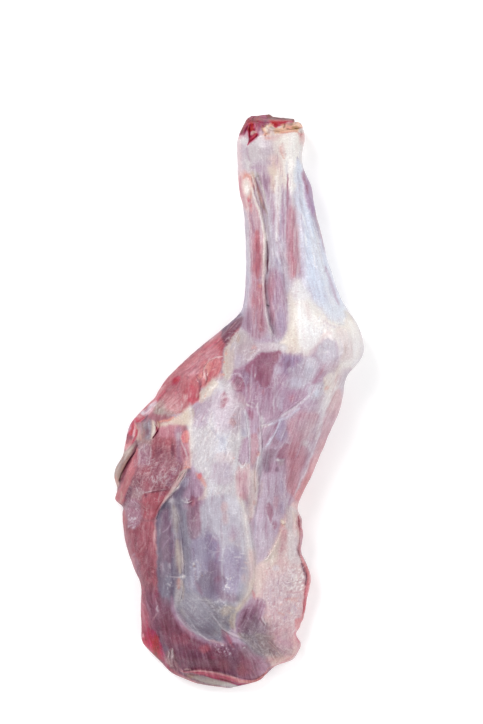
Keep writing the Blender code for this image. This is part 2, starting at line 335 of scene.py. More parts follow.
def paint_cut_folds(leg):
    """The red and rose folds on the left of the cut, with a tallow knob and a red crack below them."""
    leg.zone("mauve", (20, 280, 21, 287, 26, 288, 27, 280, 23, 278), 2.5, 0.8)
    leg.zone("wine", (19, 284, 20, 293, 26, 293, 25, 286, 22, 283), 3, 0.45)
    leg.zone("rose", (16, 284, 17, 291, 21, 290, 21, 283, 19, 281), 2, 0.8, rise=0.5)
    leg.zone("crimson", (10.4, 283, 10.6, 289, 14, 293, 17, 291, 17.6, 284.5, 14, 283), 2, 0.95,
             rise=-0.8)
    leg.line("rose", (13.4, 291.6, 13.2, 288.6, 12.4, 285), 1, 0.8, rise=0.6)
    leg.line("mauve", (10.4, 291.6, 10.8, 289.6, 10.6, 286.6), 1.3, 0.75, rise=0.5)
    leg.line("rose", (16.6, 293, 17.2, 290, 17, 287), 1.3, 0.75, rise=0.6)
    leg.line("blush", (18.4, 292, 19.6, 289, 19, 286), 0.9, 0.5, rise=0.5)
    leg.line("crimson", (15, 292.6, 15.2, 290, 14.8, 286), 1.2, 0.9, rise=-0.5, broken=0)
    leg.line("clot", (12.2, 288.6, 11.6, 285, 11.4, 281.6), 1.2, 0.7, rise=-0.5)
    leg.zone("tallow", (13.4, 280, 15, 284, 18, 284, 19.6, 281.4, 17, 280, 15, 278), 1.6, 0.9, rise=0.6)
    leg.spot("stone", 17, 281.8, 0.9, 1.6, 20, 0.8)
    leg.line("blush", (13, 279, 13.6, 281.6, 15, 283.6), 1, 0.8, rise=0.5)
    leg.line("crimson", (11.6, 284, 11.4, 281, 12, 278, 12.4, 275, 11.2, 271.4, 9.8, 269), 1.5, 1,
             rise=-0.8, broken=0)
    leg.line("crimson", (12.6, 273, 15, 275.4, 17.4, 278, 19.6, 279.4), 3.8, 1, rise=-0.3, broken=0,
             taper=0.3, gloss=0.3)
    leg.line("scarlet", (14, 276.4, 16, 278, 18, 279.6), 0.9, 0.6)
    leg.line("black_clot", (18, 276.8, 19, 277.8, 20, 279), 1, 0.7)


def paint_cut_blood(leg):
    """The band of dark blood along the upper edge of the cut."""
    leg.spot("crimson", 37, 293.4, 2.2, 2.6, 0, 0.4)
    leg.zone("blood", (32, 296, 34.6, 291, 39, 286.8, 43, 288.4, 47, 290.6, 59, 293.2, 61, 297, 44, 302,
              32, 302), 1.6, rise=-0.9, gloss=0.2)
    leg.zone("crimson", (33, 295, 36, 292, 40, 288.2, 40, 293, 38, 295), 2, 0.6)
    leg.line("scarlet", (42, 291, 45, 292.6, 50, 293.6), 1.6, 0.5)
    leg.line("blood", (45, 292, 46, 293.6, 50, 294), 2, 0.5)
    leg.line("clot", (33, 296.6, 42, 297, 50, 296.6, 58, 295.6), 2.4, 0.85, broken=0)
    leg.zone("clot", (31, 296.4, 40, 296.8, 52, 296, 60, 294.8, 64, 298, 50, 304, 30, 304), 1.6, 0.8,
             gloss=0)
    leg.line("plum", (42, 297, 48, 296.6), 1, 0.5)
    leg.line("blush", (31, 294.4, 34, 291, 37, 288.6), 1, 0.6, rise=0.4)


def paint_cut_rim(leg):
    """The frayed gristle rim on the right of the cut, with its brown hollows."""
    leg.line("ochre", (25.6, 289.6, 25.8, 286, 26.8, 282.6), 1.2, 0.8, rise=-0.6)
    leg.spot("ochre", 29.4, 289, 1.1, 1.8, 0, 0.95, rise=-0.5)
    leg.spot("brown", 29.4, 288.6, 0.7, 1.2, 0, 0.7)
    leg.line("cream", (31, 289, 30.6, 285.4, 31.6, 281), 3, 0.85, rise=1)
    leg.line("coral", (26, 279.6, 28, 279.4, 29.6, 281.4), 1.8, 0.8, rise=0.3)
    leg.spot("brown", 28.8, 278.4, 0.9, 1.2, 0, 0.75, rise=-0.5)
    leg.line("coral", (28, 276.4, 31.4, 275.4, 35, 276.6), 2.6, 0.7, rise=0.2)
    leg.line("blush", (34, 277, 40, 278.4, 46, 280), 3, 0.6)
    leg.zone("pearl", (32.6, 280, 33, 286, 37, 287, 38.4, 283, 38, 279.6), 2, 0.7)
    leg.line("stone", (34, 287.4, 36, 286.2, 39, 286), 1.4, 0.8, rise=-0.5)
    leg.line("pearl", (41, 287.4, 43.6, 287.6, 46, 288.6), 1.6, 0.8, rise=0.3)
    leg.line("tan", (37, 284, 40, 283.2, 44, 283), 2, 0.8, rise=-0.3)
    leg.line("tan", (38, 285.4, 42, 285, 46, 286), 0.9, 0.7, rise=-0.4)
    leg.line("coral", (44, 283, 50, 282.8, 58, 283.4, 63, 283.4), 1.3, 0.9, rise=0.5)
    leg.line("peach", (43, 284.8, 50, 284.8, 60, 285), 1.6, 0.8, rise=0.8)
    leg.line("brick", (44, 281.8, 50, 281.6, 54, 282.2), 0.9, 0.5, rise=-0.4)
    leg.line("brown", (47.6, 287, 48.6, 288.6, 49.4, 290.4), 1.4, 0.85, rise=-0.9)
    leg.zone("coral", (49.6, 287, 51, 289.6, 57, 290, 58, 287, 53, 286), 1.6, 0.75, rise=0.3)
    leg.zone("ochre", (56, 286.4, 57.4, 289.4, 62, 289.4, 63.4, 286.6, 60, 285.8), 1.6, 0.75, rise=-0.2)
    leg.spot("brown", 52, 287, 0.7, 1.6, 0, 0.6)
    leg.spot("brown", 60, 287, 0.7, 1.8, 0, 0.5)
    leg.line("stone", (49.6, 290.8, 53, 291.4, 57.4, 291), 1.6, 0.8, rise=-0.7)
    leg.line("brown", (54, 290.2, 58, 290.6, 60, 290.2), 0.8, 0.6, rise=-0.5)
    leg.line("cream", (48.6, 291, 52, 292.8, 58, 293, 62, 292), 1.1, 0.9, rise=1)
    leg.line("peach", (58.4, 290.4, 61, 291, 64.6, 290), 2, 0.9, rise=0.6)
    leg.line("brick", (64, 287.6, 66, 286.8, 68, 287.4), 1.3, 0.6)
    leg.line("dusk", (65, 291, 67, 290.8, 69.4, 289), 1.6, 0.85)
    # Painted shade: a grey-mauve patch at the right end of the gristle.
    leg.spot("mauve", 69, 287, 1.8, 1, 0, 0.7)
    leg.zone("pearl", (64, 283, 65, 286, 69, 286, 70.4, 283, 68, 281.6), 1.6, 0.85, rise=0.4)
    leg.line("salmon", (63.6, 282.4, 66, 280, 69, 280), 1.6, 0.7, rise=0.4)
    leg.line("blush", (64, 280, 67, 277, 70, 276), 3, 0.8)
    leg.line("lilac", (70, 280, 71, 278.6, 71.6, 277), 1.6, 0.7)


def paint_shank_back(leg):
    """The pale sheet on the left of the shank, and the knob at its top."""
    leg.zone("silver", (3, 214, 14, 216, 26, 200, 32, 170, 31, 120, 34, 72, 2, 66, 2, 90, 6, 120,
              6, 160), 8, 0.9, lean=2, grain=0.4, veil=0.2)
    leg.zone("rose", (9, 210, 17, 212, 25, 196, 28, 170, 28, 120, 31, 72, 8, 66, 10, 90, 13, 120,
              13, 160, 9, 196), 8, 0.62, lean=2, grain=0.7)
    leg.zone("blush", (0, 238, 7, 242, 14, 238, 16, 226, 16, 206, 11, 198, 5, 206, 0, 220), 6)
    leg.line("coral", (5, 234, 9, 238, 14, 232, 15, 222, 13, 213), 3.4, 0.62)
    leg.line("rose", (2, 236, 2.6, 222, 6, 211, 9, 202), 2.8, 0.85)
    leg.zone("cream", (5, 228, 9, 233, 13, 228, 13, 220, 10, 215, 6, 219), 5, 0.8, rise=1.4, gloss=0.9)
    leg.spot("milk", 9, 223, 5, 2.4, 0, 0.5, rise=0.3)
    leg.line("silver", (12, 219, 14, 214, 13, 210), 1.2, 0.5)
    leg.spot("scarlet", 11.5, 211, 3.4, 2, -20, 0.8)
    leg.spot("coral", 12.5, 214, 3.4, 3, 0, 0.7)
    leg.spot("scarlet", 14, 205, 2.6, 1.8, 10, 0.6)
    leg.line("salmon", (10, 208, 13, 202, 15, 196), 2.6, 0.8)
    leg.line("blush", (14, 210, 16, 204, 16, 198), 1.6, 0.8, rise=0.4)


def paint_leaning_cords(leg):
    """The hollow beside the knob and the cords that lean across it."""
    leg.zone("mauve", (15, 246, 26, 248, 33, 238, 35, 222, 33, 208, 28, 220, 22, 236), 7, 0.6,
             rise=-0.5)
    leg.line("plum", (24, 243, 27, 236, 29, 228, 31, 218), 4, 0.36, rise=-0.6)
    leg.line("lilac", (14, 246, 21, 244, 26, 238), 3, 0.6)
    leg.zone("fat", (33, 244, 40, 240, 42, 226, 37, 212, 34, 226), 7, 0.6)
    leg.line("membrane", (17, 243, 21, 234, 25, 222, 29, 208, 32, 196), 3.4, 0.7, rise=0.5)
    leg.line("tan", (15, 240, 18, 228, 22, 215, 27, 204), 3.6, 0.62, rise=0.3, taper=0.3)
    leg.line("coral", (20, 226, 23, 216, 26, 209), 2.4, 0.6)
    leg.line("stone", (20, 240, 24, 228, 28, 214, 31, 204), 1.5, 0.85, rise=-0.6)
    leg.line("plum", (18, 234, 22, 222, 26, 211, 30, 200), 1.1, 0.7, rise=-0.8)
    leg.line("pearl", (14, 238, 17, 228, 20, 217, 24, 206), 1.4, 0.7, rise=0.6)
    leg.line("plum", (13.5, 234, 16, 224, 20, 212, 25, 201), 1.1, 0.7, rise=-0.7)
    leg.line("milk", (22, 232, 26, 220, 29, 208), 0.9, 0.6, rise=0.4)


def paint_long_tendon(leg):
    """The long cream tendon on the left of the shank, the silver sheet beside it and the thin red muscle
    between them."""
    leg.line("cream", (14, 224, 18, 212, 22, 200, 26.5, 186, 28.5, 172, 28, 158, 27.4, 144, 27, 132,
              27, 120, 27.6, 106, 30, 90, 34, 76, 42, 62), 3.8, 0.95, rise=1.8, taper=0.5, broken=0.12,
             gloss=1)
    leg.line("milk", (25, 192, 28, 174, 28, 158, 27.2, 142), 1.5, 0.85, rise=0.4)
    leg.line("tallow", (30.4, 176, 30, 166, 29.6, 156, 28.8, 142), 1.2, 0.5)
    leg.line("cream", (19, 212, 23, 198, 27, 182, 28.6, 150, 27.6, 118, 30, 96, 35, 66), 2.4, 0.65,
             rise=0.4, taper=0.4)
    leg.line("rose", (18, 206, 22, 192, 25, 178), 1.2, 0.8, rise=-0.3)
    leg.line("silver", (7, 200, 9.5, 180, 10, 150, 10.6, 128, 8, 104, 3, 84), 4.6, 0.9, lean=2,
             grain=0.3)
    leg.line("steel", (8, 112, 6, 100, 4, 90), 4.6, 0.5)
    leg.line("steel", (10.6, 142, 10, 122, 9, 106), 1.6, 0.6)
    leg.line("frost", (12, 132, 12, 120, 11, 108), 1, 0.8, rise=0.3)
    leg.line("membrane", (10, 182, 11.6, 150, 12, 134), 1.4, 0.7)
    leg.line("lilac", (13, 198, 16, 184, 17, 172), 2.6, 0.7)
    leg.line("wine", (13, 199, 15.6, 188, 17, 176), 1.2, 0.7)
    leg.line("flesh", (10, 200, 12, 192, 14, 186), 1.2, 0.5)
    leg.line("brick", (20, 178, 20.6, 160, 20, 144, 20, 130), 8, 0.85, rise=0.5, taper=0.5, grain=1)
    leg.line("wine", (20, 166, 20.4, 152, 19.6, 136), 3.4, 0.34)
    leg.line("lilac", (16, 128, 21, 127, 25, 130), 2.4, 0.6)
    leg.line("brick", (19, 125, 22, 117, 22.6, 104, 23, 90, 24, 76), 8, 0.82, rise=0.5, taper=0.4,
             grain=1)
    leg.line("salmon", (16, 112, 17, 96, 17, 82), 3.6, 0.55)
    leg.line("plum", (10, 100, 11, 88, 12, 74), 5, 0.42, grain=0.8)
    leg.spot("mauve", 10, 76, 16, 6, 0, 0.7)
    leg.line("silver", (20, 100, 19, 84, 22, 68), 1.6, 0.4)
    leg.spot("coral", 23.5, 121, 2, 3.2, 0, 0.8)
    leg.spot("milk", 26.4, 121.5, 2, 0.9, 0, 0.7, rise=0.3)
    leg.line("clot", (29.8, 170, 31.2, 162, 31.8, 154, 31.4, 145, 30.6, 134), 1.1, 0.9, rise=-1.6,
             taper=0.8, broken=0)
    leg.line("clot", (29.8, 128, 28.9, 121, 29.1, 113, 30, 105), 1.1, 0.8, rise=-1.2, taper=0.8,
             broken=0)
    leg.line("brown", (31.6, 132, 30.6, 118, 31.4, 104), 1.6, 0.45)
    leg.line("stone", (27, 206, 31, 194, 32.4, 180, 32.6, 170), 1.6, 0.75, rise=-0.7)
    leg.line("brown", (26, 206, 29, 200, 31, 196), 1.4, 0.6, rise=-0.5)
    leg.line("milk", (33, 170, 33.6, 160, 33.4, 150, 32.6, 138), 1.2, 0.8, rise=0.5)
    leg.flecks("frost", (6, 200, 26, 200, 28, 80, 6, 80), 1.8, 0.3, 0.4, 4, 14, 1)
    leg.flecks("wine", (14, 180, 26, 180, 28, 76, 12, 76), 1.7, 0.25, 0.35, 4, 12, 1)
    leg.line("silver", (4, 64, 12, 60, 22, 62, 30, 58), 5, 0.7)


def paint_shank_front(leg):
    """The middle muscles of the shank under their silver sheet."""
    leg.zone("silver", (33, 200, 41, 184, 48, 160, 56, 130, 60, 96, 54, 70, 42, 62, 33, 80, 31, 110,
              33, 150), 9, lean=-6, grain=0.4, veil=0.2)
    leg.zone("lilac", (33, 216, 44, 216, 52, 214, 54, 180, 50, 150, 44, 150, 36, 176), 8, 0.7)
    leg.line("orchid", (47, 206, 47, 192, 46, 178, 44, 162), 5, 0.85, grain=0.6)
    leg.line("violet", (45, 196, 44, 180, 46, 164), 2.4, 0.6)
    leg.line("rose", (41, 200, 42, 186, 43, 172), 1.6, 0.4)
    leg.zone("mauve", (33, 132, 38, 140, 47, 130, 52, 110, 53, 84, 47, 68, 38, 72, 33, 92, 31, 112), 8,
             0.85, rise=1.2, lean=-6, grain=0.8)
    leg.spot("brick", 34, 116, 16, 3.4, -4, 0.62)
    leg.spot("rose", 36, 124, 12, 4, -6, 0.6)
    leg.spot("rose", 36, 92, 14, 3, -4, 0.55)
    leg.line("orchid", (42, 132, 43, 116, 42, 100), 4, 0.6)
    leg.spot("violet", 46, 84, 18, 6, 0, 0.7)
    leg.line("silver", (41, 176, 47, 156, 51, 132, 52, 108, 52, 92), 4.4, 0.75)
    leg.line("steel", (44, 150, 49, 132, 50, 116), 3, 0.45)
    leg.line("violet", (38, 152, 44, 140, 46, 128), 3.4, 0.5)
    leg.line("mauve", (56, 124, 57, 108, 56, 92), 3, 0.5)
    leg.line("frost", (38, 176, 43, 165, 49, 154, 54, 143), 0.9, 0.95, rise=0.4)
    leg.line("frost", (36, 164, 42, 150, 50, 136), 0.8, 0.55, rise=0.2)
    leg.line("frost", (44, 176, 47, 166, 50, 158), 0.8, 0.5, rise=0.2)
    leg.line("membrane", (34, 146, 35, 134, 34, 120), 1.2, 0.5)
    leg.line("mauve", (35, 216, 37, 200, 37, 182), 3.6, 0.85)
    leg.line("wine", (38, 210, 38.4, 198, 37, 186), 1.6, 0.6, rise=-0.4)
    leg.line("silver", (33, 206, 34, 190, 35, 172), 2.6, 0.6)


def paint_shank_tendons(leg):
    """The white tendons that run to the knuckle and the red muscle strip on their right."""
    leg.line("cream", (42, 244, 43, 228, 43, 212, 42, 200), 8, 0.7, broken=0.1)
    leg.line("milk", (40, 236, 41, 216, 42, 200, 41, 184, 40.6, 168), 4, 0.8, rise=0.9, gloss=1)
    leg.line("pearl", (45, 236, 45, 222, 45, 208), 4.6, 0.6, rise=0.4)
    leg.line("pearl", (33, 230, 34, 214, 34, 200), 2, 0.6, rise=0.4)
    leg.line("lilac", (47, 228, 47, 216, 48, 202), 2.4, 0.6, rise=-0.2)
    leg.line("wine", (52, 240, 52.4, 222, 52.2, 204, 52, 184, 51.4, 166), 2, 0.85, rise=-0.7, taper=0.8)
    leg.line("silver", (50, 220, 50, 200, 49.6, 180, 49.6, 164), 1.3, 0.7)
    leg.line("milk", (57, 272, 57, 240, 57, 218, 57.5, 202), 6, 0.85, rise=1, taper=0.7, gloss=1)
    leg.line("pearl", (61, 226, 62, 208, 62.4, 190, 62, 172), 2.4, 0.6, rise=0.4)
    leg.line("rose", (57, 202, 57, 184, 57.4, 164, 57.4, 146, 58, 132), 8.8, 0.85, rise=0.7, taper=0.4,
             lean=1, grain=0.9)
    leg.line("brick", (56, 184, 56, 166, 56, 150, 56.4, 138), 5.6, 0.62)
    leg.line("wine", (55, 162, 55, 152, 55.6, 142), 2.6, 0.4)
    leg.line("coral", (60, 146, 60, 136, 58, 130), 3.4, 0.4)
    leg.zone("rose", (52, 196, 58, 200, 63, 180, 63, 150, 60, 131, 54, 131, 51, 160), 4, 0.5)
    leg.line("orchid", (57.4, 196, 57.6, 176, 58, 156, 58.4, 136), 4.4, 0.3)
    leg.line("orchid", (53.4, 192, 53.2, 176, 53, 160), 1.8, 0.5)
    leg.line("blush", (63.4, 184, 64.6, 166, 65, 150, 64, 136), 3.6, 0.75)
    leg.line("salmon", (62, 176, 63, 162, 62, 148), 1.2, 0.4)


def paint_ice_sheet(leg):
    """The blue-white sheet on the right of the shank, and fine streaks over the whole shank."""
    leg.zone("ice", (62, 252, 69, 244, 72, 222, 76, 200, 87, 172, 96, 148, 106, 120, 116, 98, 106, 86,
              92, 92, 76, 110, 68, 134, 65, 160, 62, 190, 60, 220), 7, lean=-16, veil=0.5, grain=0.1,
             gloss=1)
    leg.line("lilac", (68, 150, 69, 134, 72, 120), 4.6, 0.5)
    leg.line("violet", (69, 244, 73, 230, 77, 214, 80, 198, 82, 186, 84, 170), 5, 0.6, taper=0.5,
             grain=0.4)
    leg.line("amethyst", (67, 240, 70, 228, 72, 214, 75, 202), 4.4, 0.6)
    leg.line("amethyst", (72, 236, 75, 222, 78, 208, 80, 194), 5, 0.5)
    leg.line("wine", (68.6, 242, 71, 230, 74, 218), 3, 0.6)
    leg.line("violet", (76, 220, 79, 208, 81, 196), 2.4, 0.6)
    leg.line("steel", (79, 196, 82, 180, 84, 164, 88, 148), 3, 0.62)
    leg.line("steel", (63, 240, 64, 228, 65, 214, 67, 200), 2.2, 0.75, rise=-0.5)
    leg.line("silver", (65, 226, 67, 210, 70, 194), 1.6, 0.5)
    leg.line("frost", (67, 238, 69, 220, 73, 200), 1.8, 0.7)
    leg.line("silver", (67, 192, 69, 172, 70, 152, 72, 132, 76, 116), 2.2, 0.5)
    leg.line("silver", (74, 186, 78, 166, 84, 142, 88, 124), 2, 0.4)
    leg.line("white", (76, 180, 82, 158, 89, 134, 97, 110, 102, 98), 6, 0.45)
    leg.line("frost", (92, 120, 98, 106, 102, 96), 8, 0.6)
    leg.line("orchid", (92, 140, 97, 126, 102, 112, 108, 99), 3.4, 0.6)
    leg.line("silver", (86, 190, 91, 172, 97, 154, 104, 134, 111, 114), 2.4, 0.5)
    leg.line("fat", (84, 196, 90, 176, 96, 156, 102, 138, 109, 118, 118, 98, 127, 80), 5, 0.75,
             rise=0.4, taper=0.2)
    leg.line("cream", (88, 192, 93, 174, 100, 152, 108, 130, 116, 110), 2.6, 0.6)
    leg.line("pearl", (80, 176, 86, 152, 92, 130), 1.2, 0.5, rise=0.3)
    leg.flecks("steel", (64, 230, 76, 214, 100, 118, 76, 112, 66, 150), 2.2, 0.24, 0.3, 5, 12, -15)
    leg.flecks("white", (66, 220, 78, 196, 104, 112, 80, 112, 68, 150), 2, 0.3, 0.5, 5, 12, -15)
    leg.flecks("frost", (33, 206, 60, 206, 62, 96, 33, 90), 1.6, 0.3, 0.4, 4, 14, -3)
    leg.flecks("plum", (33, 206, 60, 206, 60, 96, 33, 90), 1.6, 0.22, 0.32, 4, 12, -3)
    leg.flecks("milk", (16, 246, 66, 250, 62, 96, 10, 96), 1, 0.24, 0.4, 6, 14, -1)
    leg.flecks("mauve", (16, 246, 66, 250, 62, 96, 10, 96), 1, 0.22, 0.35, 6, 14, 2)


def paint_elbow(leg):
    """The broad cream sinew that spreads over the elbow and the bare point of the joint."""
    leg.zone("cream", (54, 112, 62, 128, 70, 120, 80, 106, 92, 94, 106, 86, 114, 94, 124, 88, 136, 66,
              133, 40, 117, 33, 106, 40, 103, 60, 92, 65, 80, 56, 70, 46, 52, 50, 42, 56, 48, 66,
              53, 84), 7, lean=-8, veil=0.3, grain=0.12, gloss=0.8)
    leg.zone("fat", (52, 112, 58, 112, 62, 90, 64, 70, 62, 52, 50, 52, 44, 58, 51, 74, 54, 92), 5, 0.6,
             veil=0.3)
    leg.zone("milk", (62, 118, 72, 104, 84, 88, 97, 82, 101, 72, 90, 65, 78, 56, 66, 56, 64, 80,
              62, 100), 7, 0.9)
    leg.line("fat", (56, 112, 59, 94, 60, 78, 59, 60), 3.5, 0.5, broken=0.5)
    leg.line("milk", (64, 108, 66, 90, 66, 72, 65, 60), 3, 0.8, rise=0.3)
    leg.line("white", (70, 92, 73, 78, 78, 70, 84, 72, 90, 78), 7, 0.8, rise=0.5)
    leg.line("blush", (70, 104, 73, 92, 76, 84), 4, 0.45)
    leg.line("blush", (72, 48, 78, 52, 84, 58, 90, 68, 98, 72), 6, 0.5)
    leg.zone("milk", (56, 122, 64, 126, 74, 112, 72, 100, 64, 94, 56, 104), 8, 0.5)
    leg.zone("frost", (54, 128, 66, 132, 76, 116, 72, 106, 58, 108), 7, 0.45)
    leg.zone("white", (58, 98, 70, 98, 80, 84, 78, 70, 64, 66, 58, 80), 9, 0.35)
    leg.flecks("frost", (84, 92, 104, 92, 102, 72, 84, 70), 2.2, 0.3, 0.7, 5)
    leg.flecks("steel", (88, 90, 100, 90, 99, 80, 90, 80), 1.6, 0.08, 0.4, 4)
    leg.zone("ice", (92, 100, 108, 100, 113, 90, 111, 81, 100, 82, 92, 90), 5, 0.75)
    leg.line("milk", (88, 88, 96, 82, 104, 79, 112, 80), 5, 0.5)
    leg.line("lilac", (90, 84, 98, 79, 108, 77), 3.4, 0.35)
    leg.line("silver", (88, 96, 93, 91, 97, 86), 1.2, 0.6, rise=-0.3)
    leg.line("slate", (105, 79.5, 108, 80, 112, 79.5), 1.1, 0.6, rise=-0.5)
    leg.line("white", (111, 86, 111.5, 82), 1.2, 0.8, rise=0.3)
    leg.zone("blush", (104, 74, 114, 74, 120, 60, 120, 46, 110, 40, 105, 46, 107, 60), 7, 0.55)
    leg.line("tan", (112, 60, 112, 50, 108, 42), 3, 0.22)
    leg.line("silver", (107, 66, 109, 56, 108, 48), 3, 0.5)
    # Painted highlight: a white band along the ridge of the elbow point.
    leg.line("milk", (116, 84, 122, 74, 124, 60, 122, 48), 5, 0.75, rise=0.4)
    leg.line("pearl", (121, 84, 127, 74, 129.5, 60, 128, 46, 120, 38), 5, 0.9)
    leg.line("silver", (118, 90, 126, 79, 131, 66, 131.5, 54, 128, 43, 120, 36), 1.6, 0.6)
    leg.line("stone", (112, 94, 116, 90, 120, 86), 4, 0.35)
    leg.line("pearl", (115, 76, 117, 66, 116, 56), 0.9, 0.6)
    leg.line("pearl", (110, 76, 112, 70, 111, 62), 0.8, 0.5)
    leg.zone("silver", (84, 44, 84, 54, 90, 62, 98, 65, 103, 60, 105, 50, 104, 40, 94, 38), 4, 0.9,
             rise=-0.4, lean=-4, grain=0.3, veil=0.3)
    leg.line("pearl", (85, 50, 90, 58, 97, 60), 5, 0.5)
    leg.line("mauve", (103, 64, 103, 56, 104, 46, 102, 40), 3.2, 0.6)
    leg.line("frost", (106, 54, 107, 50, 106, 47), 2.4, 0.7, rise=0.2)
    leg.line("mauve", (108, 48, 106, 43, 108, 40), 3.2, 0.45)
    # Painted highlight on the silver button.
    leg.spot("milk", 92.5, 51.5, 1.4, 3, 0, 0.75, rise=0.4)
    leg.spot("steel", 92, 47, 2.6, 4, 0, 0.45)
    leg.spot("steel", 90, 57, 3, 5, 0, 0.35)
    leg.line("rose", (60, 46, 66, 47, 70, 44), 3, 0.55)


def paint_arm_top(leg):
    """The pale sheet and the fat under the cream sinew."""
    leg.zone("membrane", (-6, 76, 4, 78, 20, 62, 36, 62, 50, 58, 46, 50, 26, 49, 12, 40, 4, 38, -6, 34,
              -10, 50), 5, lean=4, veil=0.5, grain=0.15)
    leg.zone("pearl", (20, 60, 36, 60, 50, 57, 46, 51, 28, 51, 21, 54), 5, 0.8)
    leg.zone("stone", (4, 74, 14, 66, 18, 54, 10, 44, 2, 50, 0, 64), 7, 0.35)
    leg.zone("silver", (-4, 48, 4, 48, 6, 38, -2, 36), 5, 0.8)
    leg.flecks("stone", (-2, 70, 16, 64, 14, 44, -2, 40), 1.8, 0.2, 0.45, 4, 8, 6)
    leg.flecks("cream", (-2, 70, 16, 64, 14, 44, -2, 40), 1.6, 0.18, 0.5, 4, 9, 6)
    leg.zone("oat", (-10, 74, -3, 72, -4, 56, -4, 40, -6, 26, -14, 22, -17, 34, -15, 50, -12, 62), 4,
             lean=-4, grain=0.2, veil=0.4)
    leg.line("tan", (-8, 70, -11, 58, -12, 44, -11, 30), 4, 0.35, broken=0.5)
    leg.line("steel", (-4, 62, -6, 56, -7, 52), 2.2, 0.55)
    leg.line("tan", (-4, 72, 0, 68, 1, 62), 3, 0.45)
    leg.line("russet", (1, 76, 0, 71), 1.8, 0.45)
    leg.flecks("coral", (-18, 52, -9, 54, -10, 24, -20, 22), 1.4, 0.14, 0.8, 3, 3, 10)
    leg.line("coral", (-12, 52, -13, 48), 1.6, 0.6, rise=0.2)
    leg.line("coral", (-20, 26, -17, 28, -14, 27), 1.8, 0.8, rise=0.3)
    leg.line("coral", (14, 55, 17, 57, 19, 54), 2.6, 0.7, rise=0.3)
    leg.line("tan", (12, 49, 16, 52, 19, 51), 1.6, 0.6, rise=0.2)
    leg.line("milk", (10, 41, 14, 46, 18, 50, 23, 54), 1.8, 0.7, rise=0.5)
    # Painted highlight: a small white spot at the end of the thread.
    leg.spot("milk", 22, 53.5, 2.4, 1.6, 40, 0.8, rise=0.4)


def paint_arm_gaps(leg):
    """The violet, mauve and wine-dark muscles seen through gaps in that sheet."""
    leg.zone("violet", (45, 47, 56, 48, 66, 48, 70, 40, 66, 28, 58, 23, 49, 21, 45, 32), 8, 0.9, lean=4,
             grain=0.6, veil=0.3)
    leg.flecks("plum", (46, 46, 66, 46, 64, 32, 50, 22), 2.6, 0.25, 0.35, 4, 3.2, 4)
    leg.spot("orchid", 61, 40, 5, 2.4, 0, 0.5)
    leg.spot("plum", 53, 37, 6, 4, 20, 0.35)
    leg.spot("silver", 54, 32, 3.4, 2.6, 0, 0.9)
    leg.line("lilac", (47, 40, 48, 34, 46, 28), 1.2, 0.6)
    leg.zone("mauve", (-6, 30, 8, 30, 14, 36, 30, 40, 37, 36, 38, 20, 36, 0, 32, -24, 14, -14, 6, 0,
              -4, 10), 5, lean=5, grain=0.75, veil=0.3)
    leg.zone("plum", (3, 32, 9, 33, 13, 28, 12, 14, 7, 16, 4, 24), 4, 0.6)
    leg.spot("violet", 8, 24, 7, 4, 0, 0.5)
    leg.zone("wine", (9, 32, 10, 38, 18, 44, 24, 50, 32, 51, 42, 52, 46, 50, 42, 44, 38, 38, 36, 30,
              34, 22, 31, 15, 27, 15, 22, 20, 17, 24, 13, 30), 4, rise=-0.5, lean=4, grain=0.35,
             veil=0.1, gloss=0)
    leg.line("wine", (11, 37.5, 16, 43, 22, 48.6, 32, 49.6, 41, 50.6), 3, 0.5, broken=0)
    leg.spot("brick", 38, 46, 4, 4, 30, 0.4)
    leg.spot("scarlet", 38, 48, 2.4, 2.6, 30, 0.25)
    leg.zone("maroon", (20, 46, 32, 50, 42, 50, 38, 38, 34, 22, 28, 15, 22, 22, 17, 34), 4, 0.5,
             gloss=0)
    leg.line("orchid", (32, 49, 31, 46, 33, 44), 1.6, 0.4)
    leg.spot("maroon", 24, 30, 6, 6, 0, 0.25)
    leg.spot("claret", 26, 31, 7, 6, 0, 0.3)
    leg.line("wine", (33, 36, 31, 28, 31, 18), 4, 0.6)
    leg.line("maroon", (18, 24, 18, 18), 3, 0.3)
    leg.line("maroon", (11, 36, 15, 36), 4, 0.3)
    leg.line("orchid", (13, 34, 15, 28, 15, 20), 2, 0.7, rise=0.3)
    leg.line("lilac", (18, 36, 19, 32, 19, 28), 1.4, 0.7)
    leg.line("orchid", (28, 28, 26, 22, 25, 18), 1.2, 0.5)
    # Painted glint: a small white spot on the dark muscle.
    leg.spot("white", 17.4, 28, 3.2, 0.8, 4, 0.95, rise=0.3)
    leg.spot("lilac", 20, 20.5, 1.6, 1.2, 0, 0.7)
    leg.flecks("rose", (14, 18, 36, 18, 34, 8, 14, 6), 2, 0.25, 0.6, 4, 5, 2)


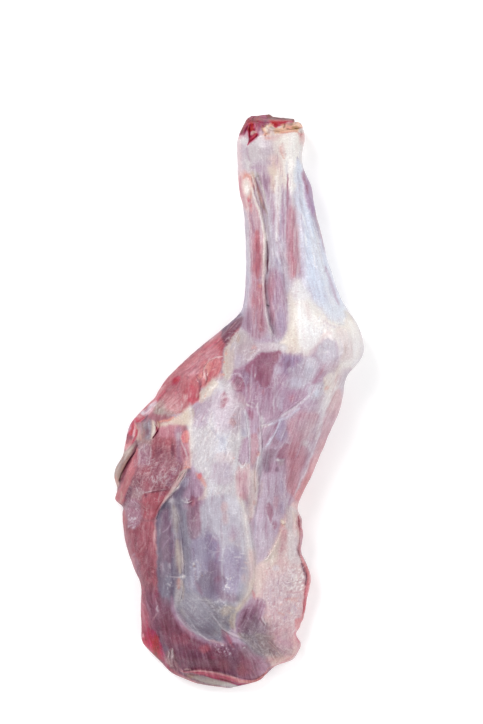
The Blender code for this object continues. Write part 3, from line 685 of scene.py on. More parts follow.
def paint_arm_threads(leg):
    """A wine-red spot, and white and lilac threads over the foot of the dark muscles."""
    leg.spot("wine", 1, 17, 7.5, 6.5, -30, 0.85, rise=1, soft=0.3)
    leg.spot("plum", -1, 20, 4.5, 4, 0, 0.6)
    leg.line("frost", (-7, 27, -2, 29, 3, 27, 7, 21, 9, 14, 9, 6), 1.4, 0.8, rise=0.4)
    leg.line("lilac", (-4, 30, 0, 31, 4, 30), 2, 0.5)
    leg.line("rose", (-6, 22, -5, 14, -1, 10), 2, 0.5)
    leg.line("frost", (16, 38, 14, 28, 14, 18, 13.5, 8, 12, 0), 1.4, 0.75, rise=0.3)
    leg.line("rose", (11, 18, 12, 8, 11, 2), 2.4, 0.4)
    leg.line("lilac", (21, 12, 23, 2, 22, -8), 2.4, 0.6)
    leg.line("lilac", (30, 14, 29, 2, 31, -12), 2.2, 0.4)
    leg.line("silver", (42, 50, 44, 46, 43, 40), 2.4, 0.6)
    leg.spot("ice", 42, 32, 5, 4, 10, 0.7)
    leg.line("silver", (41, 38, 40, 26, 41, 8, 43, -8), 5, 0.7, veil=0.6)
    leg.line("frost", (39, 24, 39, 12, 38, 2, 37.5, -12), 1.3, 0.95, rise=0.5)
    leg.line("ice", (50, 20, 49, 10, 46, 0, 46, -10), 4, 0.65)
    leg.line("lilac", (45, 24, 45, 10, 46, -4), 1.4, 0.6)
    leg.zone("rose", (-17, 6, -12, 10, -10, 2, -13, -5, -17, -8, -19, -2), 3, 0.85, lean=8)
    leg.line("brick", (-13, 4, -14, -1), 2.6, 0.7)
    leg.line("brick", (-16, -4, -16, -7), 1.6, 0.5)
    leg.zone("fat", (0, 8, 6, 6, 8, -6, 2, -10, -2, -2), 4, 0.4)
    leg.line("milk", (-9, 5, -6, -2, -2, -7, 3, -9), 1.4, 0.7, rise=0.4)
    leg.line("milk", (-8, -4, -4, -2, 0, 2), 1.2, 0.6, rise=0.3)
    leg.spot("white", -3, -4, 2.4, 1.2, 20, 0.7, rise=0.3)
    leg.line("frost", (-9, 10, -6, 5, -4, 3), 1.2, 0.6, rise=0.3)
    leg.line("pearl", (7, 3, 9, -3, 14, -6, 19, -7, 21, -2), 1.8, 0.75, rise=0.5)
    leg.line("pearl", (12, -1, 16, -2, 18, -4), 1.2, 0.6, rise=0.3)
    leg.spot("milk", 10, -4, 1.4, 2.4, 30, 0.7, rise=0.3)


def paint_triceps(leg):
    """The long muscles from the elbow to the back of the shoulder, under thin white sheets and cords."""
    leg.zone("lilac", (46, 26, 70, 24, 84, 38, 98, 36, 96, 14, 80, -16, 66, -38, 40, -54, 30, -46,
              30, -26, 46, -14), 10, lean=32, grain=0.55, veil=0.4)
    leg.zone("silver", (52, 24, 66, 44, 80, 44, 86, 36, 78, 22, 64, 14, 50, 14), 7, 0.85, lean=16,
             veil=0.5)
    leg.spot("steel", 74, 33, 9, 5, 20, 0.4)
    leg.spot("ice", 62, 20, 5, 10, 0, 0.4)
    leg.zone("mauve", (76, 18, 84, 34, 92, 41, 102, 42, 102, 34, 92, 26, 82, 15), 7, 0.6, lean=30,
             grain=0.6)
    leg.line("wine", (79, 19, 83, 25, 88, 31, 90, 38), 4, 0.35)
    leg.line("russet", (86, 28, 89, 34), 3, 0.4)
    leg.line("orchid", (74, 18, 76, 12, 78, 16), 3, 0.5)
    leg.line("frost", (73, 20, 76, 18, 77, 15), 1.2, 0.7)
    leg.zone("orchid", (52, 10, 64, 12, 74, 8, 68, -2, 58, -10, 50, -12, 50, 0), 6, 0.75, lean=12,
             grain=0.6)
    leg.spot("rose", 57, 3, 5, 4, 0, 0.4)
    leg.spot("mauve", 66, 8, 4, 6, 0, 0.5)
    leg.zone("silver", (74, 14, 84, 18, 90, 18, 90, 8, 82, 2, 76, 4), 4, 0.9, lean=24)
    leg.spot("ice", 83, 8, 4, 3, 0, 0.7)
    leg.flecks("frost", (74, 14, 90, 18, 90, 2, 76, 0), 1.3, 0.25, 0.7, 3)
    leg.zone("mauve", (78, 0, 88, 4, 86, -8, 78, -18, 68, -18, 66, -8), 6, 0.6, lean=28)
    leg.line("frost", (82, 12, 74, 4, 66, -2, 58, -9, 50, -13, 40, -20, 28, -26), 2.2, 0.85, rise=0.6,
             broken=0.2)
    leg.line("cream", (116, 42, 108, 35, 102, 22, 97, 8, 91, -8, 85, -26, 81, -40), 9, 0.9, rise=1.2,
             taper=0.6, gloss=0.9)
    leg.line("fat", (110, 38, 104, 30, 100, 22, 98, 12), 5, 0.6)
    leg.line("coral", (105, 34, 103, 28, 103, 20, 99, 14), 2, 0.45, broken=0.5)
    leg.zone("fat", (90, 24, 98, 30, 98, 18, 94, 8, 90, 12), 3, 0.8)
    leg.spot("coral", 93.5, 14, 3, 2, 40, 0.8, rise=0.3)
    leg.line("pearl", (92, 23, 94, 26, 96, 24), 1.4, 0.6)
    leg.line("pearl", (106, 24, 102, 12, 96, 0, 90, -10), 3.6, 0.85, gloss=0.9)
    leg.line("stone", (108, 22, 104, 12, 99, 2), 2, 0.35)
    leg.line("pearl", (92, 0, 85, -12, 79, -24, 72, -38, 70, -44), 3, 0.85, rise=0.7)
    leg.line("mauve", (88, -10, 84, -22, 80, -34, 78, -44), 3.2, 0.8, rise=-0.5)
    leg.spot("rose", 77, -38, 5, 2.5, 20, 0.6)
    leg.spot("frost", 72, -45, 4, 4, 0, 0.7, rise=0.4)
    leg.line("frost", (72, -44, 76, -52, 80, -58), 1.6, 0.7, rise=0.3)
    leg.line("frost", (70, -46, 66, -52, 62, -58), 1.4, 0.5, rise=0.2)
    leg.line("coral", (94, -8, 97, -8, 96, -13), 2.6, 0.9, rise=0.3)
    leg.line("violet", (114, 30, 109, 16, 106, 6), 4, 0.7)
    leg.line("slate", (117, 32, 112, 22, 110, 14), 2, 0.7)
    leg.line("wine", (107, 6, 104, -6, 100, -18), 4, 0.5)
    leg.line("pearl", (110, 8, 108, -4), 1.2, 0.5)


def paint_front_muscle(leg):
    """The red muscle on the upper left, raw where its skin was pulled off, with a dark rim painted along its
    outer edge.
    """
    leg.zone("brick", (4, 88, -10, 78, -26, 70, -44, 56, -70, 34, -92, 6, -112, -18, -100, -22,
              -86, -10, -66, -14, -50, -6, -40, 4, -38, 14, -28, 20, -20, 28, -17, 44, -12, 62, 0, 74),
             3, lean=48, grain=0.7, net=0.1, gloss=0.9)
    leg.zone("salmon", (-46, 46, -26, 60, -18, 52, -20, 34, -34, 18, -50, 26, -58, 36), 9, 0.6)
    leg.zone("rose", (-46, 42, -34, 52, -22, 56, -20, 46, -32, 42, -38, 32, -48, 28, -60, 28), 6, 0.75)
    leg.flecks("pearl", (-58, 34, -28, 54, -22, 48, -40, 30), 2, 0.22, 0.5, 4, 3, 40)
    leg.zone("dusk", (4, 88, -8, 81, -16, 76, -18, 68, -12, 62, -6, 70, 2, 78), 4, 0.9, grain=0.8)
    leg.zone("maroon", (2, 86, -8, 79, -16, 73, -17, 66, -11, 62, -4, 70, 2, 78), 4, 0.5)
    leg.line("maroon", (-2, 76, -8, 68, -12, 58), 5, 0.6)
    leg.line("dusk", (2, 90, -16, 79, -38, 62, -60, 42), 3.4, 0.8, taper=0.3)
    leg.line("slate", (-30, 66, -46, 54, -62, 41), 2, 0.7, taper=0.3)
    leg.line("mauve", (-66, 34, -74, 24, -82, 12, -88, 3), 3, 0.6, broken=0.5)
    leg.line("dusk", (-64, 36, -72, 26), 2, 0.6)
    # A dark rim painted right along the outer edge.
    leg.line("shadow_slate", (-76, 26, -62, 40, -46, 53, -32, 65, -20, 74, -8, 84, 3, 91), 4, 0.9,
             taper=0.3, gloss=0, veil=0)
    leg.line("black_clot", (-70, 33, -56, 46, -42, 57, -28, 69), 1.6, 0.5, taper=0.3, gloss=0)
    leg.line("rose", (-18, 73, -24, 69, -30, 62), 3, 0.6)
    leg.line("russet", (-44, 52, -58, 40, -66, 30, -78, 14), 4, 0.6)
    leg.line("wine", (-38, 54, -28, 58, -20, 64), 3, 0.5)
    leg.line("scarlet", (-36, 56, -26, 60, -20, 66), 1.8, 0.5, rise=0.3)
    leg.zone("russet", (-76, 12, -66, 24, -58, 30, -60, 16, -70, 6, -80, 2), 5, 0.75, lean=42)
    leg.spot("crimson", -65, 21, 5.6, 3.4, 42, 1, rise=-0.3, gloss=0.1, veil=0)
    leg.spot("scarlet", -63, 24, 3, 2, 40, 0.8)
    leg.line("maroon", (-64, 20, -70, 15, -76, 8), 2.6, 0.5, rise=-0.4)
    leg.line("scarlet", (-76, 10, -81, 4, -86, -2), 4, 0.8)
    leg.line("blush", (-84, 6, -79, 12, -75, 16), 1.6, 0.7, rise=0.3)
    leg.line("pearl", (-86, 0, -80, 9), 1.4, 0.5)


def paint_torn_fibres(leg):
    """The torn fibres in the middle of the front muscle: salmon, coral, dark red and cream."""
    leg.zone("salmon", (-56, 20, -48, 22, -42, 16, -41, 4, -46, -3, -54, -2, -58, 8), 5, 0.7, lean=10)
    leg.zone("brick", (-60, 22, -52, 24, -50, 8, -52, -6, -58, -2, -62, 10), 4, 0.8, lean=4)
    leg.zone("scarlet", (-48, 16, -42, 10, -42, 2, -48, -2, -53, 2, -51, 12), 6, 0.3)
    leg.spot("rose", -64, 8, 9, 4, 10, 0.6)
    leg.line("maroon", (-61, 20, -63, 12, -60, 4), 1.6, 0.5, rise=-0.4)
    leg.line("maroon", (-54, 26, -50, 24), 1.6, 0.4)
    leg.zone("salmon", (-40, 36, -30, 44, -20, 44, -18, 34, -26, 24, -32, 16, -38, 16), 4, 0.85,
             lean=20)
    leg.line("coral", (-31, 40, -32, 30, -32, 20), 3.6, 0.75, rise=0.4)
    leg.line("brick", (-33, 34, -33, 26, -32, 22), 2, 0.8, rise=-0.6)
    leg.line("scarlet", (-27, 32, -29, 26, -31, 20), 2.4, 0.4)
    leg.line("maroon", (-44, 28, -41, 26, -39, 21, -39, 16), 1.3, 0.6, rise=-0.6)
    leg.spot("coral", -40, 26, 4, 2, 20, 0.5)
    leg.line("cream", (-33, 38, -36, 33, -35, 27, -34, 22), 1.4, 0.8, rise=0.4)
    leg.line("milk", (-33, 39, -29, 43, -22, 46, -16, 47), 1.4, 0.75, rise=0.4)
    leg.line("blush", (-36, 44, -30, 48, -22, 50), 1.2, 0.5, broken=0.5)
    leg.line("blush", (-56, 32, -46, 40, -38, 44), 1.2, 0.5, broken=0.5)
    leg.zone("blush", (-30, 20, -24, 26, -19, 30, -17, 24, -24, 16), 4, 0.8)
    leg.line("coral", (-40, 12, -40, 6, -41, 1), 1.4, 0.8, rise=0.4)
    leg.line("brick", (-41.5, 8, -42, 3, -43, 0), 1.4, 0.7, rise=-0.5)
    leg.line("cream", (-43, 8, -44, 3), 1.2, 0.5)
    leg.zone("blush", (-78, 6, -66, 4, -62, -8, -66, -14, -86, -12, -84, -2), 6, 0.35, lean=10,
             veil=0.5)
    leg.zone("stone", (-86, -2, -78, 0, -76, -8, -82, -14, -88, -12), 4, 0.75, veil=0.5)
    leg.line("russet", (-79, 6, -78, 0, -75, -3), 2.4, 0.6)
    leg.line("rose", (-62, 2, -63, -8), 3, 0.6)
    leg.line("brick", (-54, 0, -53, -7), 3, 0.7)
    leg.line("pearl", (-61, -10, -59, -5, -60, 0), 1.4, 0.6, rise=0.3)
    leg.line("pearl", (-70, -4, -68, 4, -66, 10), 1.2, 0.4)
    leg.zone("blush", (-78, 2, -62, 10, -54, 2, -54, -12, -66, -14, -80, -10), 4, 0.3, lean=5)
    leg.flecks("blush", (-84, -12, -52, -8, -48, 12, -58, 18, -76, 6), 1.2, 0.28, 0.55, 4, 6, 5)
    leg.line("maroon", (-44, 27, -41, 21, -39.6, 15, -41, 3), 1.5, 0.7, rise=-0.5)
    leg.line("maroon", (-34, 34, -32.6, 26, -34, 18), 1.3, 0.6, rise=-0.4)
    leg.flecks("blush", (-80, 12, -56, 28, -20, 50, -24, 62, -66, 30), 1.8, 0.18, 0.4, 4, 5, 50)
    leg.flecks("maroon", (-80, 8, -56, 24, -40, 34, -46, 50, -70, 28), 2.2, 0.2, 0.4, 4, 5, 48)
    leg.flecks("maroon", (-100, -12, -60, 30, -4, 84, -12, 60, -40, 10), 1.2, 0.22, 0.4, 5, 6, 46)
    leg.flecks("blush", (-100, -12, -60, 30, -4, 84, -12, 60, -40, 10), 1.1, 0.22, 0.45, 5, 6, 42)


def paint_shoulder_sheet(leg):
    """The pale sheet over the shoulder and the fat strips along its edges."""
    leg.zone("membrane", (-30, 16, -18, 24, -6, 20, -2, 6, 6, -4, 12, -24, 12, -60, 6, -80, -2, -104,
              -34, -108, -32, -84, -46, -70, -52, -40, -52, -12, -40, -2), 7, lean=10, veil=0.6,
             grain=0.3, gloss=0.6)
    # A frost band down the raised middle, partly the sheet's own paleness and partly painted light, and a
    # lilac patch on its left that is painted shade.
    leg.zone("frost", (-36, 8, -22, 20, -14, 12, -8, -4, -8, -40, -10, -60, -22, -62, -26, -30,
              -28, -4), 9, 0.8, veil=0.6, lean=12)
    leg.zone("lilac", (-48, -8, -36, 2, -28, -2, -30, -16, -34, -28, -44, -28, -50, -20), 7, 0.7,
             lean=22, grain=0.7)
    leg.flecks("mauve", (-48, -8, -34, 0, -30, -16, -44, -28), 1.8, 0.25, 0.4, 4, 8, 22)
    leg.zone("fat", (-40, 6, -34, 16, -26, 22, -20, 18, -26, 10, -34, 2, -40, -2), 4, 0.7)
    leg.flecks("coral", (-42, 6, -28, 18, -22, 12, -36, -4), 1.8, 0.22, 0.6, 3, 2, 40)
    leg.flecks("cream", (-42, 6, -28, 20, -18, 16, -34, -4), 1.8, 0.25, 0.6, 3, 2, 40)
    leg.zone("fat", (-84, -24, -72, -20, -60, -12, -54, -6, -49, -4, -47, -12, -48, -24, -56, -26,
              -70, -26, -80, -28), 5, 0.85, rise=0.8, net=0, grain=0.05, veil=0.5, gloss=0.6)
    leg.zone("stone", (-84, -14, -70, -16, -66, -12, -76, -8, -86, -9), 4, 0.45)
    leg.line("coral", (-83, -22, -78, -20.5, -72, -20, -67, -17), 1.8, 0.85, rise=0.4)
    leg.line("coral", (-66, -13, -63, -17, -66, -20), 1.2, 0.5, broken=0.5)
    leg.flecks("coral", (-70, -14, -52, -6, -50, -22, -66, -24), 1.6, 0.14, 0.5, 3, 3, 60)
    leg.line("tallow", (-58, -10, -56, -16, -57, -22), 3, 0.5)
    leg.line("pearl", (-51, -2, -49, -14, -49, -26), 4, 0.7, rise=0.4)
    leg.line("cream", (-50, -20, -50, -36, -50, -52, -49, -68), 4.6, 0.8, rise=0.4)
    leg.line("stone", (-48, -4, -47, -16), 2, 0.35)
    leg.line("milk", (-16, 14, -22, 15, -30, 14), 2, 0.4)


def paint_sheet_scratches(leg):
    """The scratches and stains of the sheet over the shoulder, and a painted shadow low on its middle."""
    leg.flecks("white", (-34, 8, -12, 14, -8, -60, -26, -60), 1.6, 0.22, 0.4, 6, 6, 14)
    leg.flecks("stone", (-44, -30, -12, -30, -10, -60, -46, -60), 1.8, 0.2, 0.3, 6, 4, 30)
    leg.flecks("steel", (-46, -10, -4, 0, -2, -104, -34, -106, -48, -60), 1.1, 0.24, 0.35, 8, 7, 28)
    leg.flecks("milk", (-46, -10, -4, 0, -2, -104, -34, -106, -48, -60), 1.1, 0.24, 0.5, 8, 8, 34)
    leg.flecks("milk", (-46, -20, -4, -30, -4, -90, -44, -70), 1, 0.2, 0.4, 8, 8, -30)
    leg.spot("coral", -6, -22, 4, 5, 70, 0.4)
    leg.flecks("coral", (-14, -16, 0, -14, 0, -26, -14, -26), 1.8, 0.22, 0.6, 4)
    leg.zone("blush", (-24, -56, -8, -54, -4, -64, -22, -66), 6, 0.35)
    leg.flecks("coral", (-30, -56, -6, -54, -4, -62, -28, -64), 1.8, 0.16, 0.5, 4, 2, 90)
    # Painted shadow: a bluish grey patch on the sheet.
    leg.spot("ice", -16, -44, 9, 4, 10, 0.5)
    leg.spot("silver", -17, -40, 7, 3, 20, 0.5)
    leg.zone("lilac", (-26, -66, -8, -66, -8, -84, -20, -88, -28, -80), 7, 0.6, lean=2)
    leg.spot("violet", -12, -74, 8, 3, 0, 0.25)
    leg.spot("frost", -26, -84, 14, 6, 0, 0.5)
    leg.line("ice", (-28, -94, -29, -106, -28, -120), 6, 0.4)
    leg.flecks("blush", (-26, -96, -4, -96, -4, -106, -26, -108), 2.2, 0.3, 0.6, 4)


def paint_middle_bands(leg):
    """The narrow muscle strips and the cream band down the middle of the shoulder."""
    leg.zone("silver", (2, -12, 9, -12, 11, -30, 9, -38, 4, -36, 2, -24), 3, 0.9, lean=2, grain=0.3)
    leg.spot("steel", 6, -33, 5, 2.6, 0, 0.6)
    leg.zone("orchid", (11, -8, 20, -8, 21, -20, 21, -36, 13, -38, 12, -24), 3, 0.95, lean=1, grain=0.8,
             veil=0.2)
    leg.spot("wine", 14, -14, 6, 3, 0, 0.5)
    leg.line("violet", (19, -22, 18, -32), 3, 0.4)
    leg.zone("rose", (13, -36, 21, -36, 21, -50, 19, -64, 13, -66, 12, -50), 3, 0.8, lean=1, grain=0.7,
             veil=0.2)
    leg.line("tan", (17, -56, 17, -66, 17, -74), 3.4, 0.3)
    leg.zone("orchid", (8, -38, 11, -44, 11, -62, 5, -66, 1, -62, 2, -48), 3, 0.95, lean=4, grain=0.7,
             veil=0.2)
    leg.line("mauve", (3, -48, 2, -56, 3, -62), 2, 0.5)
    leg.zone("blush", (0, -68, 12, -66, 13, -84, 10, -104, 1, -104, -3, -84), 4, 0.85, lean=0,
             grain=0.7)
    leg.zone("rose", (1, -74, 9, -74, 11, -90, 9, -103, 2, -101, 0, -86), 6, 0.6)
    leg.spot("brick", 5, -100, 4.5, 3.5, 0, 0.5)
    leg.spot("wine", 7, -93, 6, 2.4, 0, 0.35)
    leg.line("frost", (8, -10, 10, -24, 12, -34, 12.5, -50, 11.5, -64), 1.5, 0.95, rise=0.5)
    leg.line("milk", (3, -8, 2, -18, 1, -30, 1, -42), 1.8, 0.85, rise=0.4)
    leg.line("pearl", (-2, 0, 0, -10, -1, -20), 2, 0.5)
    leg.line("pearl", (8, -37, 5, -44, 2, -52, 0, -60), 1.6, 0.6)
    leg.line("frost", (21, -6, 22, -14, 24, -22), 1.6, 0.9, rise=0.5)
    leg.line("pearl", (25, -16, 26, -26, 24, -36, 23, -46), 3.6, 0.85, rise=0.4)
    leg.line("pearl", (24, -46, 23, -56, 21, -64, 20, -72), 3, 0.9, rise=0.5)
    leg.zone("blush", (13, -74, 20, -72, 21, -86, 20, -104, 16, -122, 9, -126, 11, -108, 12, -90), 6,
             0.5, rise=0.4, lean=2, veil=0.4)
    leg.zone("fat", (13, -74, 20, -72, 21, -86, 20, -104, 16, -122, 9, -126, 11, -108, 12, -90), 6, 0.6)
    leg.line("cream", (21, -74, 20, -88, 20, -98, 18, -112), 1.6, 0.85, rise=0.4)
    leg.line("tan", (18, -74, 17, -84, 18, -94), 1.4, 0.3)
    leg.line("blush", (15, -96, 17, -106, 14, -114), 3.6, 0.7)
    leg.spot("coral", 17, -106, 3, 2, 0, 0.35)
    leg.spot("brick", 21, -54, 3.4, 2.4, 0, 0.75, rise=0.4)
    leg.spot("coral", 22, -56, 2.4, 2.4, 0, 0.6, rise=0.2)
    leg.line("salmon", (20, -44, 21, -50), 2, 0.5)
    leg.line("russet", (21.5, -28, 21.5, -32), 1.6, 0.8)
    # A curled white fibre: its own pale colour, brightened to white as a painted glint.
    leg.line("white", (1, -65, 3, -68.5, 6, -68.5, 8, -65, 8, -61), 1.5, 0.9, rise=0.6)
    leg.spot("white", 3, -68, 1, 1.6, 0, 0.8, rise=0.3)
    leg.line("pearl", (13, -68, 15, -76), 1.4, 0.5)
    leg.zone("russet", (-17, 7, -12, 9, -10, 2, -13, -5, -17, -8, -19, -2), 3, 0.6, lean=8)
    leg.line("brick", (-13, 4, -14.4, -1, -16, -6), 2.2, 0.6)
    leg.line("milk", (-9, 10, -8, 4, -4, 0, 2, -3), 1.2, 0.6, rise=0.3)
    leg.line("milk", (-10, -2, -15, -8, -19, -13), 1.3, 0.6, rise=0.3)
    leg.line("steel", (-34, -14, -28, -28, -16, -44, -12, -56), 1.6, 0.4)
    leg.line("steel", (-20, -34, -14, -44, -13, -58), 2, 0.4)


def paint_triceps_foot(leg):
    """The lower half of the long muscles behind the shoulder, between the middle cords and the red curled
    edge."""
    leg.zone("mauve", (25, -30, 34, -24, 44, -22, 46, -34, 42, -46, 30, -50, 25, -44), 4, 0.95, lean=22,
             grain=0.75, veil=0.35)
    leg.spot("dusk", 31, -33, 6, 3, 10, 0.35)
    leg.spot("plum", 38, -43, 3, 4, 0, 0.5)
    leg.zone("violet", (42, -20, 48, -20, 53, -28, 52, -36, 46, -44, 40, -40, 40, -30), 5, 0.9, lean=20,
             grain=0.5, veil=0.3)
    leg.spot("silver", 47, -34, 7, 2.6, 15, 0.4)
    leg.line("ice", (64, -8, 58, -13, 50, -18, 42, -21, 33, -25), 3.2, 0.85, rise=0.6)
    leg.line("cream", (33, -25, 28, -27, 24, -26), 2.4, 0.75, rise=0.3)
    leg.line("ice", (44, -22, 40, -30, 36, -37, 32, -44, 27, -50), 2.4, 0.85, rise=0.4)
    leg.line("silver", (29, -46, 25, -58, 24, -70, 24, -82), 4, 0.85, veil=0.4)
    leg.line("pearl", (22, -58, 20, -66, 20, -74), 2.4, 0.85, rise=0.4)
    leg.zone("plum", (27, -54, 34, -50, 40, -52, 38, -62, 33, -74, 28, -75, 26, -64), 3.5, 0.85,
             rise=-0.3, lean=8, grain=0.8, veil=0.15)
    leg.zone("shadow_slate", (27, -56, 32, -54, 33, -66, 31, -76, 27, -72), 5, 0.35)
    leg.line("orchid", (33, -62, 35, -68, 35, -74), 2.4, 0.5)
    leg.line("lilac", (33, -47, 40, -47), 1.6, 0.7)
    leg.zone("wine", (45, -50, 50, -44, 54, -46, 53, -54, 49, -60, 42, -60, 42, -54), 3.5, 0.8,
             rise=-0.3, lean=28, grain=0.7)
    leg.zone("mauve", (36, -62, 48, -62, 50, -74, 46, -80, 38, -78, 35, -70), 4, 0.8, lean=12)
    leg.spot("dusk", 41, -72, 3, 2, 20, 0.7, rise=-0.4)
    leg.spot("dusk", 40.5, -66, 1.8, 1, 0, 0.6)
    leg.line("plum", (36, -68, 34, -74), 1.6, 0.4)
    leg.line("lilac", (42, -46, 40, -54, 38, -64, 34, -76), 2, 0.7, rise=0.3)
    leg.line("lilac", (44, -62, 44, -70, 46, -78), 1.4, 0.6)
    leg.zone("lilac", (24, -80, 34, -76, 50, -76, 52, -96, 50, -120, 46, -136, 38, -150, 26, -170,
              18, -156, 17, -124, 22, -104), 4, 0.85, lean=6, grain=0.7, veil=0.35)
    leg.line("tan", (25, -84, 25, -92, 24, -100), 3, 0.3)
    leg.line("mauve", (30, -92, 28, -106, 24, -122), 4, 0.5)
    leg.line("mauve", (41, -84, 41, -98, 40, -110), 5, 0.7)
    leg.zone("wine", (31, -108, 36, -110, 37, -118, 35, -127, 31, -120), 3, 0.6, lean=10)
    leg.spot("rose", 40, -106, 8, 3, 0, 0.4)
    leg.spot("wine", 39, -131, 5, 3.5, 20, 0.6)
    leg.line("violet", (45, -84, 46, -96), 4, 0.4)
    leg.line("violet", (47, -106, 46, -118), 4, 0.6)
    leg.line("lilac", (44, -76, 42, -86, 41, -94, 46, -98), 1.3, 0.75, rise=0.3)
    leg.line("frost", (47, -82, 50, -92, 48, -98, 52, -106, 51, -118), 1.4, 0.7, rise=0.3)
    leg.line("stone", (51, -106, 52, -114, 51, -122), 2.4, 0.5)
    leg.line("frost", (29.5, -113, 31, -120, 33, -127), 1.1, 0.9, rise=0.4)
    leg.line("frost", (24, -134, 26, -142, 24, -152), 1.1, 0.6, rise=0.3)
    leg.line("white", (17, -110, 16, -118, 15, -123), 1.6, 0.5)
    leg.line("orchid", (51, -58, 50, -68, 52, -76, 51, -90), 1.6, 0.8, rise=0.4)
    leg.line("dusk", (50, -60, 49, -66, 50, -72), 1.4, 0.6, rise=-0.4)
    leg.spot("white", 41.5, -62, 1.2, 2, 0, 0.95, rise=0.4)
    leg.line("pearl", (43, -61.5, 46, -62, 49, -61), 1.2, 0.7, rise=0.2)
    leg.spot("stone", 45, -65, 3, 3.6, 0, 0.45)


def paint_red_back(leg):
    """The wine-red muscle along the back edge and the curled salmon rim beyond it."""
    leg.zone("rose", (54, -18, 70, -12, 84, -12, 82, -28, 72, -40, 70, -64, 64, -88, 57, -100, 52, -90,
              52, -70, 52, -58, 55, -44, 52, -30), 8, 0.75, lean=18, grain=0.75, veil=0.25)
    leg.zone("wine", (56, -40, 66, -34, 70, -44, 70, -64, 64, -84, 58, -96, 53, -90, 53, -72, 55, -56),
             9, 0.3, lean=14)
    leg.zone("brick", (56, -46, 68, -44, 70, -64, 62, -86, 56, -92, 52, -74), 12, 0.35)
    leg.spot("brick", 58, -57, 5, 6, 20, 0.4)
    leg.spot("brick", 60, -70, 5, 5, 20, 0.5)
    leg.spot("russet", 56, -84, 8, 4, 10, 0.4)
    leg.spot("rose", 62, -63, 6, 3, 30, 0.4)
    leg.spot("mauve", 66, -24, 10, 7, 30, 0.4)
    leg.line("lilac", (66, -46, 63, -54, 60, -60), 1.8, 0.6, rise=0.3)
    leg.line("rose", (54, -74, 54, -86, 52, -96), 2, 0.5)
    leg.spot("pearl", 69, -44, 4, 4, 0, 0.8, rise=0.4)
    leg.zone("brick", (101, 8, 108, 12, 110, -8, 101, -26, 92, -46, 82, -72, 68, -98, 60, -114,
              57, -106, 66, -84, 78, -56, 86, -36, 92, -14), 4, 0.75, lean=22, grain=0.7, gloss=0.7)
    leg.line("rose", (106, -4, 100, -22, 92, -38), 3, 0.6)
    leg.line("salmon", (90, -44, 83.6, -60, 78.6, -70, 74.6, -80, 69.6, -90, 64, -100, 59, -111), 8,
             0.95, rise=0.6, taper=0.2, broken=0)
    leg.line("coral", (73, -84, 69, -92), 3, 0.4)
    leg.line("frost", (86, -32, 81, -46, 76, -60, 73, -70, 68, -80, 63, -90, 58.6, -100), 1.8, 0.7,
             rise=0.5)
    leg.line("silver", (74, -64, 67, -80, 61, -96), 3.4, 0.45)
    leg.zone("lilac", (50, -98, 58, -100, 60, -110, 56, -120, 50, -116), 4, 0.6)
    leg.zone("blush", (56, -110, 64, -108, 64, -120, 58, -132, 50, -124), 4, 0.7)


def paint_light_and_shade_veils(leg):
    """Broad soft patches that soften all under them: pale over the right half as painted light, a few darker
    as painted shade.
    """
    leg.zone("frost", (14, -6, 60, -14, 96, 0, 92, -40, 72, -84, 56, -120, 40, -150, 18, -146,
              12, -100), 22, 0.2)
    leg.zone("rose", (50, -14, 84, -12, 80, -40, 66, -80, 56, -100, 50, -60), 16, 0.12)
    leg.zone("frost", (92, 66, 128, 66, 124, 20, 112, -26, 92, -24, 86, 0, 94, 30), 12, 0.45)
    leg.zone("frost", (66, 64, 92, 64, 94, 36, 70, 36), 12, 0.3)
    leg.zone("mauve", (-26, 8, 4, 8, 6, -24, -8, -30, -24, -22), 14, 0.4)
    leg.zone("frost", (-46, -26, -10, -56, 6, -60, 14, -100, 6, -112, -34, -108, -46, -60), 16, 0.35)
    leg.zone("shadow_slate", (8, 94, 34, 94, 36, 68, 10, 68), 10, 0.2)


